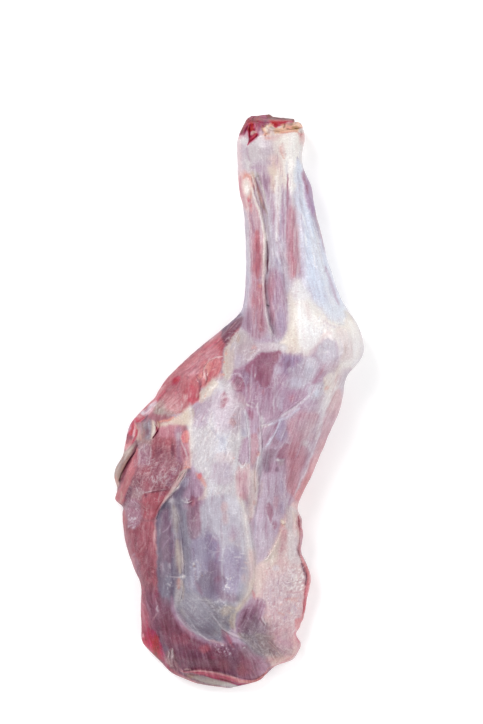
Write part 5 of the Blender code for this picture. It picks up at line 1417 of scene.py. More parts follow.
def paint_red_side(leg):
    """The raw red edge on the left of the blade's end, with its clots."""
    leg.line("dusk", (-84, -216, -86, -232, -84, -244), 4, 0.4)
    leg.line("plum", (-92, -212, -92, -226, -90, -240), 5, 0.5)
    leg.line("frost", (-84, -214, -85, -218, -84, -221), 1.6, 0.6, rise=0.3)
    leg.line("blush", (-85, -222, -88, -228, -90, -234), 1.2, 0.5)
    leg.line("rose", (-96, -206, -96, -214, -94, -222), 1.2, 0.35)
    leg.line("dusk", (-83, -236, -82, -246, -81, -256, -78, -264), 6, 0.75)
    leg.spot("maroon", -86, -249, 5, 4, 10, 0.8)
    leg.spot("black_clot", -83.5, -250, 4, 1.8, 10, 0.5)
    leg.spot("shadow_slate", -77, -262, 7, 3, 10, 0.7)
    leg.spot("steel", -77, -266, 4, 1.4, 0, 0.4)
    leg.zone("scarlet", (-101, -206, -97, -212, -95, -232, -93, -242, -88, -252, -80, -266, -73, -277,
              -76, -282, -92, -268, -106, -256, -104, -230), 3, 0.85, gloss=0.1)
    leg.line("brick", (-97, -216, -94, -228, -92, -240), 4, 0.6)
    leg.line("scarlet", (-97, -226, -96, -236, -94, -244), 3.6, 0.5)
    leg.line("crimson", (-102, -250, -95, -261, -88, -267, -82, -272, -75, -277), 9, 0.75, taper=0.2,
             broken=0, gloss=0.1)
    leg.spot("crimson", -86, -251, 4, 3.6, 0, 0.6)
    leg.zone("blood", (-94, -240, -86, -244, -76, -268, -72, -277, -78, -286, -104, -262, -104, -250),
             3, 0.6, gloss=0.1)
    leg.line("coral", (-100, -243, -98, -249), 2.4, 0.5)
    leg.spot("blush", -99, -246.4, 2.2, 0.9, 0, 0.8)
    leg.spot("clot", -97, -250, 1, 1, 0, 0.5)
    leg.zone("blood", (-92, -248, -86, -247, -82, -258, -78, -270, -84, -270, -90, -258), 4, 0.5)
    leg.line("brick", (-98.6, -196, -98, -212, -97.6, -230, -97, -242), 4, 0.8, broken=0)
    leg.line("brick", (-101, -196, -101, -212, -101, -230, -101, -242), 2, 0.5)
    leg.flecks("scarlet", (-98, -244, -86, -250, -76, -272, -84, -276), 1.6, 0.2, 0.5, 4, 2, 35)
    leg.flecks("clot", (-98, -244, -86, -250, -76, -272, -84, -276), 1.6, 0.22, 0.5, 4, 2.5, 35)
    leg.line("claret", (-91, -265, -85, -270.6, -78, -276, -73, -279), 2, 0.85, rise=-0.3)
    leg.line("clot", (-82, -273, -76, -277), 1.4, 0.5)


def paint_gristle_tag(leg):
    """The pale gristle tag beside the blade's end."""
    leg.zone("stone", (-77, -268, -72, -262, -69, -260, -66, -268, -64, -276, -62, -284, -68, -281,
              -74, -277), 3, 0.6, rise=0.6, veil=0.6, lean=-8)
    leg.flecks("milk", (-75, -264, -68, -260, -63, -284, -70, -282), 1.2, 0.3, 0.8, 2, 3, -6, rise=0.3)
    leg.flecks("maroon", (-76, -262, -66, -262, -62, -284, -72, -280), 1.3, 0.24, 0.6, 2, 2.4, -10,
               rise=-0.3)
    leg.line("tan", (-74, -271, -71, -276, -68, -280), 1.4, 0.6)
    leg.zone("oat", (-75, -271, -71, -270, -68, -276, -69, -280, -73, -277), 2.5, 0.4)
    leg.line("shadow_slate", (-74, -258, -73, -264), 1.6, 0.5)
    leg.line("milk", (-72, -261, -72, -266, -73, -271), 1.3, 0.75, rise=0.7)
    leg.line("milk", (-69, -260, -69, -266, -68, -270), 1.8, 0.85, rise=0.8)
    leg.line("maroon", (-68, -272, -67, -277, -64, -281), 1.6, 0.8, rise=-0.6)
    leg.line("dusk", (-66, -270, -62, -276, -58, -280), 3, 0.6, rise=-0.8)
    leg.line("blush", (-66, -274, -61, -281, -55, -286), 2.6, 0.7, rise=0.5)
    leg.line("wine", (-66, -280, -61, -286), 1.2, 0.6)
    leg.line("fat", (-56, -282, -53, -281.5, -49, -282), 1.8, 0.85, rise=0.6)


def paint_end_rims(leg):
    """The pale gristle and the raw red rims along the very end."""
    leg.zone("salmon", (-76, -281, -68, -282, -58, -288, -50, -292, -40, -297, -28, -299, -14, -300,
              -14, -304, -40, -304, -60, -298, -76, -290), 2.5, 0.85, rise=0.3)
    leg.line("scarlet", (-71, -282, -69, -285, -66, -287), 2.2, 0.6)
    leg.zone("stone", (-57, -286, -46, -287, -30, -290, -10, -296, -1, -298, -4, -301, -16, -299,
              -32, -297, -46, -292), 2.5, 0.95, rise=-1.2, grain=0.1, veil=0.2)
    leg.zone("oat", (-57, -286, -46, -288, -30, -291, -10, -296, -4, -301, -16, -299, -46, -292), 3,
             0.35)
    leg.spot("tan", -50, -289, 3, 5, -20, 0.5)
    leg.spot("slate", -36, -291, 2.4, 7, -10, 0.25)
    leg.line("membrane", (-17, -299, -9, -299.5, -2, -298.5), 4.6, 0.85)
    leg.line("tan", (-46, -294, -34, -298, -20, -300), 2, 0.5)
    leg.line("salmon", (-60, -283, -54, -285, -44, -283.5, -34, -284, -20, -286.5, -8, -290, 4, -293.5,
              14, -294), 2.6, 0.95, rise=1.6, gloss=1, broken=0)
    leg.line("blush", (-52, -283.5, -40, -283.2, -26, -284.4, -12, -287.5, 0, -291), 1.2, 0.9, rise=0.8)
    leg.line("scarlet", (-46, -285.5, -34, -286.5, -20, -289.5, -8, -292.5, 4, -295.5), 2.2, 0.85,
             rise=0.4, broken=0)
    leg.line("blood", (-34, -288, -22, -291, -12, -293.5, -4, -296, 3, -297), 2.2, 0.9, rise=-1.4)
    leg.line("clot", (-20, -291, -12, -293.5, -4, -296), 1.4, 0.8, rise=-0.6)
    leg.line("maroon", (-56, -286, -50, -286.5, -42, -287.5), 1.8, 0.7, rise=-0.6)
    leg.line("blood", (2, -296.5, 12, -297, 20, -295), 1.6, 0.8)
    leg.line("coral", (0, -293.5, 10, -295.5, 20, -293, 28, -287, 32, -280), 2.4, 0.85)
    leg.line("scarlet", (18, -295, 27, -290, 31, -284), 1.2, 0.6)


def paint_back_flap(leg):
    """The thin flap on the lower right: pale netted skin over pink."""
    leg.zone("blush", (58, -108, 64, -114, 70, -130, 66, -156, 80, -186, 76, -220, 70, -244, 68, -262,
              44, -280, 32, -274, 24, -256, 22, -236, 16, -220, 18, -200, 22, -176, 32, -160, 42, -140,
              48, -124), 6, lean=-4, grain=0.3, veil=0.6, net=0.6, gloss=0.7)
    leg.zone("lilac", (30, -190, 60, -176, 68, -200, 64, -232, 52, -256, 40, -250, 30, -226, 28, -206),
             14, 0.4)
    leg.zone("rose", (44, -132, 51, -132, 52, -150, 46, -162, 40, -166, 43, -148), 6, 0.5, lean=14,
             grain=0.7)
    leg.zone("pearl", (52, -136, 62, -136, 62, -156, 64, -170, 54, -170, 52, -152), 5, 0.7, lean=4)
    leg.line("mauve", (60, -144, 59, -154, 60, -162), 3, 0.35)
    leg.zone("fat", (26, -168, 34, -162, 40, -150, 44, -152, 40, -170, 30, -178, 24, -196, 18, -192,
              18, -178), 6, 0.75, rise=0.3)
    leg.zone("blush", (20, -172, 32, -170, 30, -186, 22, -200, 17, -196, 18, -184), 6, 0.6)
    leg.line("fat", (46, -134, 42, -146, 36, -158, 28, -168), 3, 0.6, rise=0.6)
    leg.line("blush", (51, -132, 51, -144, 50, -156), 2.4, 0.4)
    leg.spot("coral", 48.5, -130, 3, 3.4, 20, 0.5, rise=0.8)
    leg.spot("fat", 47, -127.5, 2.2, 3.6, 60, 0.9, rise=0.6)
    leg.zone("membrane", (50, -112, 58, -112, 60, -126, 56, -136, 50, -132, 50, -122), 4, 0.7)
    leg.line("fat", (57, -116, 59, -125, 63, -134, 62, -142), 2.4, 0.7, rise=0.4)
    leg.line("blush", (58, -124, 58, -134, 60, -142), 1.8, 0.5)
    leg.line("milk", (62, -130, 64, -136), 1.4, 0.6)
    leg.spot("ice", 40, -176, 3.5, 4, 0, 0.5)
    leg.line("salmon", (28, -178, 31, -182), 3, 0.3)
    leg.spot("rose", 45, -169, 3, 3, 0, 0.3)
    leg.line("fat", (22, -188, 20, -200, 17, -206), 3.4, 0.5)
    leg.line("salmon", (15, -199, 16.5, -205, 18, -210), 2.2, 0.8)


def paint_dark_patch(leg):
    """The dark hairy patch on the left of the thin flap."""
    leg.zone("mauve", (4, -220, 12, -210, 20, -207, 28, -212, 27, -228, 32, -240, 24, -248, 8, -250,
              -1, -240, 0, -228), 6, 0.9, net=0.3, lean=20, grain=0.9, veil=0.2)
    leg.zone("plum", (3, -225, 12, -216, 22, -220, 22, -234, 26, -244, 10, -250, 0, -242), 7, 0.7)
    leg.zone("dusk", (5, -226, 16, -222, 22, -234, 22, -246, 10, -248, 2, -240), 8, 0.5)
    leg.line("orchid", (24, -208, 26, -216, 25, -224), 4, 0.5)
    leg.line("silver", (10, -226, 14, -232, 20, -238), 3, 0.3)
    leg.line("maroon", (23, -228, 25, -232, 27, -236), 1.8, 0.7, rise=-0.6)
    leg.line("milk", (25, -227, 27, -231, 29, -235), 2.4, 0.7, rise=0.6)
    leg.zone("stone", (0, -244, 12, -246, 22, -244, 36, -247, 44, -252, 50, -262, 46, -270, 34, -270,
              24, -266, 12, -258), 5, 0.85, net=0.7, grain=0.3, veil=0.4, lean=-45)
    leg.zone("shadow_slate", (4, -243, 16, -246, 20, -254, 12, -256, 4, -250), 5, 0.5)
    leg.zone("shadow_slate", (16, -246, 32, -247, 42, -256, 44, -266, 30, -267, 20, -260), 5, 0.5)
    leg.zone("brown", (20, -246, 32, -248, 38, -260, 30, -266, 22, -258), 5, 0.4)
    leg.flecks("pearl", (18, -246, 42, -250, 50, -264, 34, -272, 20, -262), 1.3, 0.32, 0.75, 4, 2, -40,
               rise=0.2)
    leg.flecks("clot", (18, -248, 34, -250, 44, -264, 26, -266), 1.4, 0.24, 0.35, 4, 2.2, -45)
    leg.flecks("pearl", (-2, -238, 12, -244, 14, -254, 2, -252), 1.3, 0.3, 0.6, 4, 1.6, -40)
    for start, end in (((18, -247), (24, -244)), ((28, -247), (36, -249)), ((33, -252), (40, -260)),
                       ((36, -258), (45, -267)), ((34, -262), (39, -272)), ((40, -256), (47, -262)),
                       ((31, -264), (36, -270))):
        leg.line("fat", start + end, 1.2, 0.65, rise=0.4)
    leg.line("steel", (0, -249, 8, -254, 15, -259.5, 22, -265, 30, -270), 3.4, 0.6, rise=0.5)
    leg.line("blush", (31, -268, 36, -271, 40, -275), 4, 0.7, rise=0.3)


def paint_flap_specks(leg):
    """The foot of the thin flap, the specks and stains of its skin, and a cluster of white specks that are
    painted glints.
    """
    leg.zone("lilac", (40, -246, 52, -250, 58, -260, 50, -268, 42, -258), 5, 0.6)
    leg.spot("stone", 54, -263, 5, 5, 40, 0.45)
    leg.spot("fat", 58, -262, 5, 2.4, 10, 0.4)
    leg.zone("fat", (34, -274, 44, -270, 54, -268, 60, -262, 60, -268, 50, -275, 38, -279), 3, 0.6)
    # Painted glints: a cluster of shiny white specks.
    leg.flecks("milk", (52, -178, 68, -176, 70, -200, 54, -200), 1.4, 0.46, 0.95, 6, rise=0.3, gloss=1)
    leg.flecks("tan", (54, -180, 68, -178, 70, -200, 54, -198), 1.4, 0.28, 0.4, 6)
    leg.flecks("milk", (34, -196, 66, -190, 66, -240, 34, -240), 1.6, 0.26, 0.5, 8, rise=0.2)
    leg.flecks("orchid", (30, -186, 56, -186, 50, -250, 30, -240), 1.8, 0.24, 0.5, 8, 4, 4)
    leg.flecks("coral", (38, -204, 64, -204, 62, -228, 40, -228), 2.2, 0.24, 0.4, 8)
    leg.flecks("rose", (26, -180, 66, -170, 70, -230, 58, -262, 34, -250), 1.1, 0.26, 0.5, 8, 3, 3)
    leg.flecks("mauve", (30, -190, 66, -180, 66, -236, 54, -262, 30, -250), 2.2, 0.26, 0.35, 8, 2, 0)
    leg.flecks("milk", (40, -176, 70, -180, 68, -214, 44, -208), 2, 0.26, 0.5, 6, 1.4, 20)
    leg.flecks("milk", (26, -170, 66, -150, 70, -230, 58, -262, 34, -250), 1, 0.26, 0.5, 8, 2.4, 40)
    leg.line("rose", (52, -200, 60, -201, 68, -199), 2.4, 0.6)
    leg.line("coral", (50, -208, 58, -208, 64, -211), 3, 0.4)
    leg.line("coral", (42, -222, 50, -225), 1.6, 0.4)
    leg.line("lilac", (60, -214, 60, -222), 2.6, 0.6)
    leg.spot("pearl", 57, -220, 5, 2, 0, 0.6)
    leg.spot("mauve", 38, -238, 6, 5, 0, 0.35)
    leg.spot("membrane", 49, -246, 6, 4, 0, 0.6)
    leg.line("milk", (34, -186, 34, -194), 1.4, 0.4)


def paint_flap_rim(leg):
    """The raw red rim along the right of the thin flap."""
    leg.line("brick", (64, -118, 64, -126, 65, -134), 5, 0.9, rise=0.8, taper=0.3, broken=0, gloss=1)
    leg.line("maroon", (62.5, -123, 63, -128, 64, -133), 2.2, 0.5)
    leg.line("rose", (66.5, -124, 67, -134, 68, -142), 2, 0.8, rise=0.5)
    leg.line("rose", (65, -136, 66, -146, 65, -156), 5, 0.8, rise=0.8, taper=0.1, gloss=1)
    leg.line("salmon", (64.5, -148, 65, -154, 65, -162, 68, -170), 2.4, 0.8, rise=0.6, gloss=1)
    leg.line("salmon", (66, -162, 70, -170, 73.5, -180, 74, -190, 71.5, -200, 70.5, -212, 68.5, -224,
              68, -232), 4.8, 0.95, rise=0.8, taper=0.1, broken=0, gloss=1)
    leg.line("scarlet", (72, -186, 71.5, -198, 70.5, -210, 68.5, -222), 2.6, 0.4)
    leg.line("maroon", (61.5, -150, 63, -158, 65, -166), 2, 0.8, rise=-0.4)
    leg.line("maroon", (65, -166, 67.5, -173, 70, -180, 70.5, -187, 70, -194), 2.8, 0.95, rise=-0.6,
             broken=0)
    leg.line("dusk", (68.5, -176, 70.5, -183, 70.5, -190), 1.6, 0.5)
    leg.line("blush", (76, -178, 76, -186, 75, -192), 1.2, 0.6)
    leg.zone("salmon", (61, -229, 68, -230, 68, -238, 62, -242, 60, -236), 2.5, 0.8)
    leg.flecks("scarlet", (60, -229, 68, -231, 62, -242), 1.6, 0.3, 0.5, 2)
    leg.line("scarlet", (60, -243, 61, -248, 63, -254), 3.4, 0.6)
    leg.line("rose", (61, -244, 63, -254, 63, -262, 58, -268), 4, 0.6)
    leg.line("salmon", (58, -268, 50, -273, 40, -277, 33, -280), 2.4, 0.7)
    leg.line("scarlet", (50, -274.5, 44, -276), 1.2, 0.7)


# Thin films over the painted leg, which even out each region and paint in part of the light's fall: paler on
# # the right, painted shade on the left and at the blade's end. Each is its shade, amount, places round the
# region.
FILM_SOFTNESS = 16
LIGHT_AND_SHADE_FILMS = (
    ("mauve", 0.24, (-8, 62, 40, 58, 66, 50, 70, 20, 40, 0, -4, 10)),
    ("milk", 0.3, (92, 100, 122, 98, 128, 70, 108, 62, 90, 76)),
    ("mauve", 0.14, (4, 274, 34, 276, 38, 250, 14, 244)),
    ("slate", 0.22, (-62, -110, -34, -114, -24, -150, -20, -206, -44, -216, -62, -190)),
    ("pearl", 0.28, (16, -146, 62, -146, 66, -176, 50, -206, 12, -206)),
    ("maroon", 0.2, (-90, -230, -60, -240, -20, -262, -10, -290, -54, -284, -60, -256, -80, -246)),
    ("salmon", 0.16, (36, -236, 66, -236, 60, -276, 36, -284)),
    ("rose", 0.25, (8, -264, 30, -270, 34, -282, 22, -292, 4, -292)),
    ("maroon", 0.14, (-112, -48, -62, -48, -64, -90, -84, -116, -84, -200, -100, -200, -122, -120)),
    ("brick", 0.22, (-84, 10, -58, 34, -26, 64, -20, 48, -52, 22, -70, 0)),
    ("mauve", 0.26, (4, 30, 20, 44, 40, 48, 40, 4, 4, 6)),
    ("brick", 0.2, (-84, 30, -56, 44, -50, 14, -86, -4)),
    ("stone", 0.3, (8, -234, 34, -234, 34, -268, 6, -264)),
    ("rose", 0.16, (36, -240, 64, -240, 60, -276, 36, -284)),
    ("slate", 0.34, (-58, -208, -24, -212, -16, -240, -34, -248, -58, -230)),
    ("lilac", 0.14, (30, -20, 96, -4, 90, -56, 60, -84, 34, -80)),
    ("frost", 0.2, (8, -86, 30, -84, 34, -140, 6, -144)),
    ("maroon", 0.16, (-136, -60, -118, -48, -108, -100, -126, -114)),
    ("maroon", 0.14, (-90, -50, -56, -50, -58, -74, -84, -100)),
    ("wine", 0.3, (-104, -200, -90, -200, -88, -240, -104, -244)),
    ("cream", 0.3, (94, 34, 118, 34, 112, -4, 92, -6)),
    ("frost", 0.22, (4, -20, 34, -20, 40, -60, 0, -60)),
    ("membrane", 0.2, (68, -22, 96, -22, 86, -56, 66, -56)),
    ("lilac", 0.25, (4, 128, 34, 128, 34, 92, 4, 92)),
    ("pearl", 0.26, (8, 216, 34, 216, 34, 184, 8, 184)),
    ("frost", 0.26, (34, 216, 64, 216, 64, 156, 34, 156)),
    ("wine", 0.2, (-86, -262, -58, -268, -50, -290, -66, -296, -84, -280)),
    ("frost", 0.22, (66, 66, 92, 60, 94, -50, 74, -60)),
    ("pearl", 0.24, (68, 248, 88, 240, 92, 216, 72, 216)),
    ("blood", 0.42, (3, 286, 9, 302, 34, 304, 30, 293, 22, 289, 11, 286)),
    ("white", 0.2, (48, 132, 66, 134, 84, 106, 92, 92, 84, 60, 44, 56)),
    ("ice", 0.34, (68, 130, 86, 132, 100, 102, 94, 88, 82, 94, 72, 108)),
    ("mauve", 0.28, (4, 90, 26, 90, 30, 66, 8, 64)),
    ("orchid", 0.2, (32, 134, 50, 132, 54, 90, 46, 64, 34, 84)),
    ("pearl", 0.16, (14, 276, 40, 276, 40, 258, 14, 256)),
    ("rose", 0.34, (52, 198, 63, 196, 64, 150, 60, 130, 52, 134)),
    ("mauve", 0.24, (4, 60, 34, 62, 34, 42, 4, 38)),
    ("maroon", 0.24, (-112, -200, -92, -200, -88, -240, -108, -242)),
    ("maroon", 0.24, (-84, -268, -56, -268, -50, -290, -70, -290)),
    ("shadow_slate", 0.26, (8, -236, 34, -236, 34, -266, 8, -262)),
    ("slate", 0.24, (-58, -208, -24, -212, -20, -236, -40, -244, -58, -228)),
    ("lilac", 0.2, (36, 128, 54, 128, 56, 96, 36, 96)),
)


def paint_light_and_shade_films(leg):
    """Soft films over the whole skin, which even out each region's colour a little and paint in part of its
    light and shade.
    """
    for shade, amount, places in LIGHT_AND_SHADE_FILMS:
        leg.zone(shade, places, FILM_SOFTNESS, amount)


PAINTERS = (
    paint_ground, paint_wrist, paint_cut_end, paint_cut_folds, paint_cut_blood, paint_cut_rim,
    paint_shank_back, paint_leaning_cords, paint_long_tendon, paint_shank_front, paint_shank_tendons,
    paint_ice_sheet, paint_elbow, paint_arm_top, paint_arm_gaps, paint_arm_threads, paint_triceps,
    paint_front_muscle, paint_torn_fibres, paint_shoulder_sheet, paint_sheet_scratches,
    paint_middle_bands, paint_triceps_foot, paint_red_back, paint_light_and_shade_veils, paint_raw_corner,
    paint_netted_skin, paint_thin_muscle, paint_free_edge, paint_curled_strip, paint_blade_muscle,
    paint_violet_sheet, paint_slate_pocket, paint_pale_strip, paint_cream_ridge, paint_blade_end,
    paint_red_side, paint_gristle_tag, paint_end_rims, paint_back_flap, paint_dark_patch,
    paint_flap_specks, paint_flap_rim, paint_light_and_shade_films,
)


def paint_inner_side(leg):
    """The side the leg rests on: chest muscles cut from the ribs, pale sheets over the blade and a cream
    fat band."""
    leg.zone("rose", (-140, 90, 140, 100, 130, -320, -140, -320), 12, lean=18, grain=0.8)
    leg.zone("brick", (-120, -20, -60, -6, -30, -90, -50, -200, -110, -210), 14, 0.8, lean=10, grain=1,
             gloss=0.6)
    leg.zone("silver", (-40, -60, 40, -50, 50, -150, 30, -250, -40, -270, -60, -160), 16, 0.9, lean=-6,
             veil=0.8, grain=0.3, gloss=0.8)
    leg.zone("mauve", (-24, -90, 20, -90, 26, -180, 0, -240, -34, -200), 18, 0.8, lean=-6, grain=0.8)
    leg.zone("frost", (4, 300, 70, 300, 84, 200, 70, 110, 20, 110, 10, 200), 10, lean=4, veil=0.6,
             gloss=0.9)
    leg.zone("mauve", (14, 220, 40, 220, 52, 130, 40, 84, 14, 90, 18, 160), 8, 0.8, grain=0.8)
    leg.zone("cream", (60, 110, 110, 100, 132, 60, 110, 20, 70, 50), 10, 0.9, gloss=0.8)
    leg.zone("plum", (20, 60, 90, 40, 80, -60, 30, -80, 0, 0), 12, 0.6, lean=24, grain=0.9)
    leg.line("fat", (-70, 30, -20, 10, 30, -20, 60, -80), 9, 0.9, rise=0.8, veil=0.3)
    leg.line("cream", (-50, -40, -46, -120, -52, -200, -60, -260), 7, 0.8, rise=0.6)
    leg.line("pearl", (44, -60, 50, -140, 40, -230), 5, 0.8, rise=0.5)
    leg.line("frost", (30, 240, 34, 180, 46, 120), 4, 0.9, rise=0.6)
    leg.flecks("blush", (-110, -20, 100, 20, 60, -280, -90, -280), 3, 0.2, 0.5, 10, 3, 20)
    leg.flecks("tallow", (-100, -200, 60, -200, 40, -300, -80, -290), 4, 0.3, 0.6, 10)


# The painted plan: all the looks on a grid of small cells seen from above, read by every piece at its own
# places.
CELL = 0.6
PLAN_LOW, PLAN_HIGH = (-137.0, -309.0), (137.0, 303.0)
COMB_STEPS, COMB_PULL = 16, 0.4
# Streaks from coarse to fine: the size of their noise, how far it is drawn out in cells, its seed, and how
# strong a second noise is.
STREAKS = ((3.4, COMB_STEPS, 101, 0), (1.5, 12, 103, 0), (0.7, 8, 107, 1))
SECOND_NOISE = 1.3
FIBRE_BLUR = 2.6
# What the streaks do: how much they lighten and raise the skin, coarse to fine, everywhere and more with the
# grain; the colour that a pale streak goes to; and what a deep one takes from red, green and blue.
STREAK_LIGHT, STREAK_RISE = (0.024, 0.032, 0.038), (0.05, 0.07, 0.04)
EVERYWHERE, WITH_GRAIN = 0.25, 0.85
PALE_STREAK, DEEP_STREAK = np.array([250.0, 242.0, 248.0]), np.array([0.8, 1.35, 1.15])


def plan_grid(cell):
    """The places of a square grid of cells over the plan: two arrays, rows along Y by columns along X."""
    across = np.arange(PLAN_LOW[0], PLAN_HIGH[0], cell, dtype=np.float32)
    along = np.arange(PLAN_LOW[1], PLAN_HIGH[1], cell, dtype=np.float32)
    return np.meshgrid(across, along)


def nearest_cells(x, y, cell, shape):
    """The row and the column of the cell of a grid nearest to each place."""
    row = np.clip(np.rint((y - PLAN_LOW[1]) / cell).astype(int), 0, shape[0] - 1)
    column = np.clip(np.rint((x - PLAN_LOW[0]) / cell).astype(int), 0, shape[1] - 1)
    return row, column


def read_grid(values, cell, x, y):
    """The values of a grid at any places, blended between the four nearest cells."""
    gx = np.clip((x - PLAN_LOW[0]) / cell, 0, values.shape[1] - 1.001)
    gy = np.clip((y - PLAN_LOW[1]) / cell, 0, values.shape[0] - 1.001)
    ix, iy = gx.astype(int), gy.astype(int)
    fx, fy = (gx - ix)[..., None], (gy - iy)[..., None]
    near = values[iy, ix] * (1 - fx) + values[iy, ix + 1] * fx
    far = values[iy + 1, ix] * (1 - fx) + values[iy + 1, ix + 1] * fx
    return near * (1 - fy) + far * fy


def softened(values, width):
    """A grid blurred to that width in cells: each of its waves is weakened by a bell curve of its pitch."""
    rows, columns = values.shape
    pitch = np.fft.fftfreq(rows)[:, None] ** 2 + np.fft.rfftfreq(columns)[None, :] ** 2
    return np.fft.irfft2(np.fft.rfft2(values) * np.exp(-2 * (np.pi * width) ** 2 * pitch), s=values.shape)


def fibre_walks(turn, steps):
    """Follows the fibres from every cell, both ways, a cell a step, never turning back. Gives flat cell
    numbers, steps by cells, the cell itself in the middle."""
    rows, columns = turn.shape
    along_x, along_y = np.sin(turn).ravel(), np.cos(turn).ravel()
    start_y, start_x = (g.ravel().astype(np.float32) for g in np.mgrid[0:rows, 0:columns])
    walks = []
    for way in (-1, 1):
        gx, gy, dx, dy = start_x, start_y, way * along_x, way * along_y
        passed = []
        for _ in range(steps):
            gx, gy = np.clip(gx + dx, 0, columns - 1), np.clip(gy + dy, 0, rows - 1)
            at = np.rint(gy).astype(np.int32) * columns + np.rint(gx).astype(np.int32)
            passed.append(at)
            onward = np.where(along_x[at] * dx + along_y[at] * dy < 0, -1, 1)
            dx, dy = along_x[at] * onward, along_y[at] * onward
        walks.append(passed)
    return np.array(walks[0][::-1] + [np.arange(rows * columns, dtype=np.int32)] + walks[1])


def streaks(walks, x, y):
    """Three fields of streaks along the fibres, coarse to fine, each noise averaged along the walks and
    evened out to a spread of one."""
    fields = []
    for size, steps, seed, second in STREAKS:
        spots = noise(x, y, size, seed).ravel() + second * noise(x, y, SECOND_NOISE, seed + 1).ravel()
        middle = walks[COMB_STEPS - steps : COMB_STEPS + steps + 1]
        field = sum(spots[at] for at in middle)
        fields.append(((field - field.mean()) / field.std()).reshape(x.shape))
    return fields


def fibre_turn(lean):
    """The painted leans as one smooth field of turns: doubled angles are blurred, so that a line has no
    front."""
    double = 2 * np.radians(lean)
    blur = FIBRE_BLUR / CELL
    return 0.5 * np.arctan2(softened(np.sin(double), blur), softened(np.cos(double), blur))


def painted(x, y, painters, comb_x=0.0, comb_y=0.0):
    """The looks that the painters give to these places."""
    canvas = Canvas(x.ravel(), y.ravel(), "lilac", comb_x, comb_y)
    for painter in painters:
        painter(canvas)
    return canvas


def streaked(colour, rise, grain, fields):
    """Fibres on the colour and the rise: each streak is paler and higher, or redder and lower, as far as
    the grain mark lets it."""
    strength = EVERYWHERE + WITH_GRAIN * grain
    light = strength * sum(share * field for share, field in zip(STREAK_LIGHT, fields))
    pale = np.clip(light, 0, None)[..., None]
    deep = np.clip(-light, 0, None)[..., None]
    colour = colour + pale * (PALE_STREAK - colour) * 1.3
    colour = colour * (1 - deep * DEEP_STREAK)
    return colour, rise + strength * sum(share * field for share, field in zip(STREAK_RISE, fields))


def paint_plan():
    """Paints the plan twice: coarsely, to learn how the fibres run, and then finely with every region's
    places combed along them. Gives colour, rise, the four marks and the run of the fibres as channels of
    one grid."""
    coarse = 3 * CELL
    x, y = plan_grid(coarse)
    lean = painted(x, y, PAINTERS).lean.reshape(x.shape)
    fine_x, fine_y = plan_grid(CELL)
    turn = fibre_turn(lean[nearest_cells(fine_x, fine_y, coarse, lean.shape)])
    fields = streaks(fibre_walks(turn, COMB_STEPS), fine_x, fine_y)
    pull = COMB_PULL * (0.7 * fields[0] + 0.5 * fields[1]).ravel()
    looks = painted(fine_x, fine_y, PAINTERS, pull * np.sin(turn).ravel(), pull * np.cos(turn).ravel())
    shape = fine_x.shape
    colour, rise = streaked(looks.colour.reshape(shape + (3,)), looks.rise.reshape(shape),
                            looks.marks["grain"].reshape(shape), fields)
    return np.dstack([colour, rise, *looks.rest(shape)])


PLAN = paint_plan()
INNER_CELL = 2.0


def paint_inner_plan():
    """The same kind of grid for the side that the leg rests on, with larger cells."""
    x, y = plan_grid(INNER_CELL)
    looks = painted(x, y, (paint_inner_side,))
    colour = looks.colour.reshape(x.shape + (3,))
    return np.dstack([colour, looks.rise.reshape(x.shape), *looks.rest(x.shape)])


INNER_PLAN = paint_inner_plan()


# The surface of the leg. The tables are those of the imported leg, in millimetres. Each row of OUTLINE is one
# cross cut, from the wrist to the blade end: left x, left y, right x, right y.
OUTLINE = np.array([
    (8, 293, 67, 288), (1, 278, 70, 276), (-1, 261, 67, 259), (0, 243, 68, 243), (1, 224, 76, 225),
    (5, 205, 79, 207), (8, 169, 87, 169), (8, 131, 99, 130), (6, 103, 110, 101), (0, 90, 122, 84),
    (-17, 75, 129, 68), (-38, 58, 130, 54), (-57, 41, 123, 39), (-74, 24, 113, 26), (-89, 3, 108, 5),
    (-112, -23, 100, -22), (-119, -45, 91, -45), (-129, -70, 80, -71), (-129, -96, 68, -97),
    (-123, -111, 63, -112), (-121, -129, 66, -128), (-117, -153, 66, -153), (-109, -176, 72, -174),
    (-102, -194, 76, -187), (-102, -217, 71, -211), (-102, -240, 68, -232), (-101, -253, 62, -245),
    (-92, -264, 64, -258), (-81, -275, 57, -271), (-70, -286, 39, -278), (-51, -295, 29, -288),
    (-36, -299, 17, -296), (-14, -302, -6, -302),
], float)

# Along the leg from the blade end: y, crest height, place of the crest across the cut, edge and underside
# heights.
THICKNESS = np.array([
    (-302, 10, 0.50, 5, -2), (-294, 21, 0.48, 7, -2), (-275, 34, 0.47, 8, -2), (-245, 49, 0.47, 9, -2),
    (-200, 62, 0.48, 10, -2), (-150, 72, 0.50, 11, -2), (-100, 80, 0.54, 12, -2), (-40, 84, 0.57, 16, -2),
    (10, 81, 0.60, 24, -2), (50, 73, 0.60, 30, 0), (90, 65, 0.52, 32, 6), (130, 59, 0.50, 31, 8),
    (190, 54, 0.50, 29, 6), (240, 51, 0.50, 27, 1), (270, 51, 0.50, 26, -1), (296, 49, 0.50, 25, -1),
], float)

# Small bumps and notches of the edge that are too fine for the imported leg: which edge, y, half length, how
# far out.
EDGE_MARKS = (
    ("left", -104, 5, 3.0), ("left", -92, 8, -2.5), ("left", -58, 10, -3.5), ("left", -112, 4, -2.0),
    ("left", 4, 5, -1.5), ("left", 270, 8, 1.0), ("left", -296, 6, -2.0), ("left", 214, 5, 1.0),
    ("right", 46, 10, 2.0), ("right", -8, 20, 1.5), ("right", -141, 8, 2.4), ("right", -276, 5, 3.0),
    ("right", -234, 4, -1.8), ("right", -245, 5, -1.4), ("right", 98, 5, 1.2), ("right", 168, 24, 0.8),
    ("right", -160, 5, -1.6), ("right", -256, 6, 1.8), ("right", -124, 5, 1.4),
)

# How round the cuts are over the top and underneath: at the shoulder, and at the shank past SHANK_Y.
SHANK_Y, SHOULDER_Y = 95.0, 10.0
TOP_ROUND = (1.12, 1.0)
UNDER_ROUND = (0.35, 1.0)

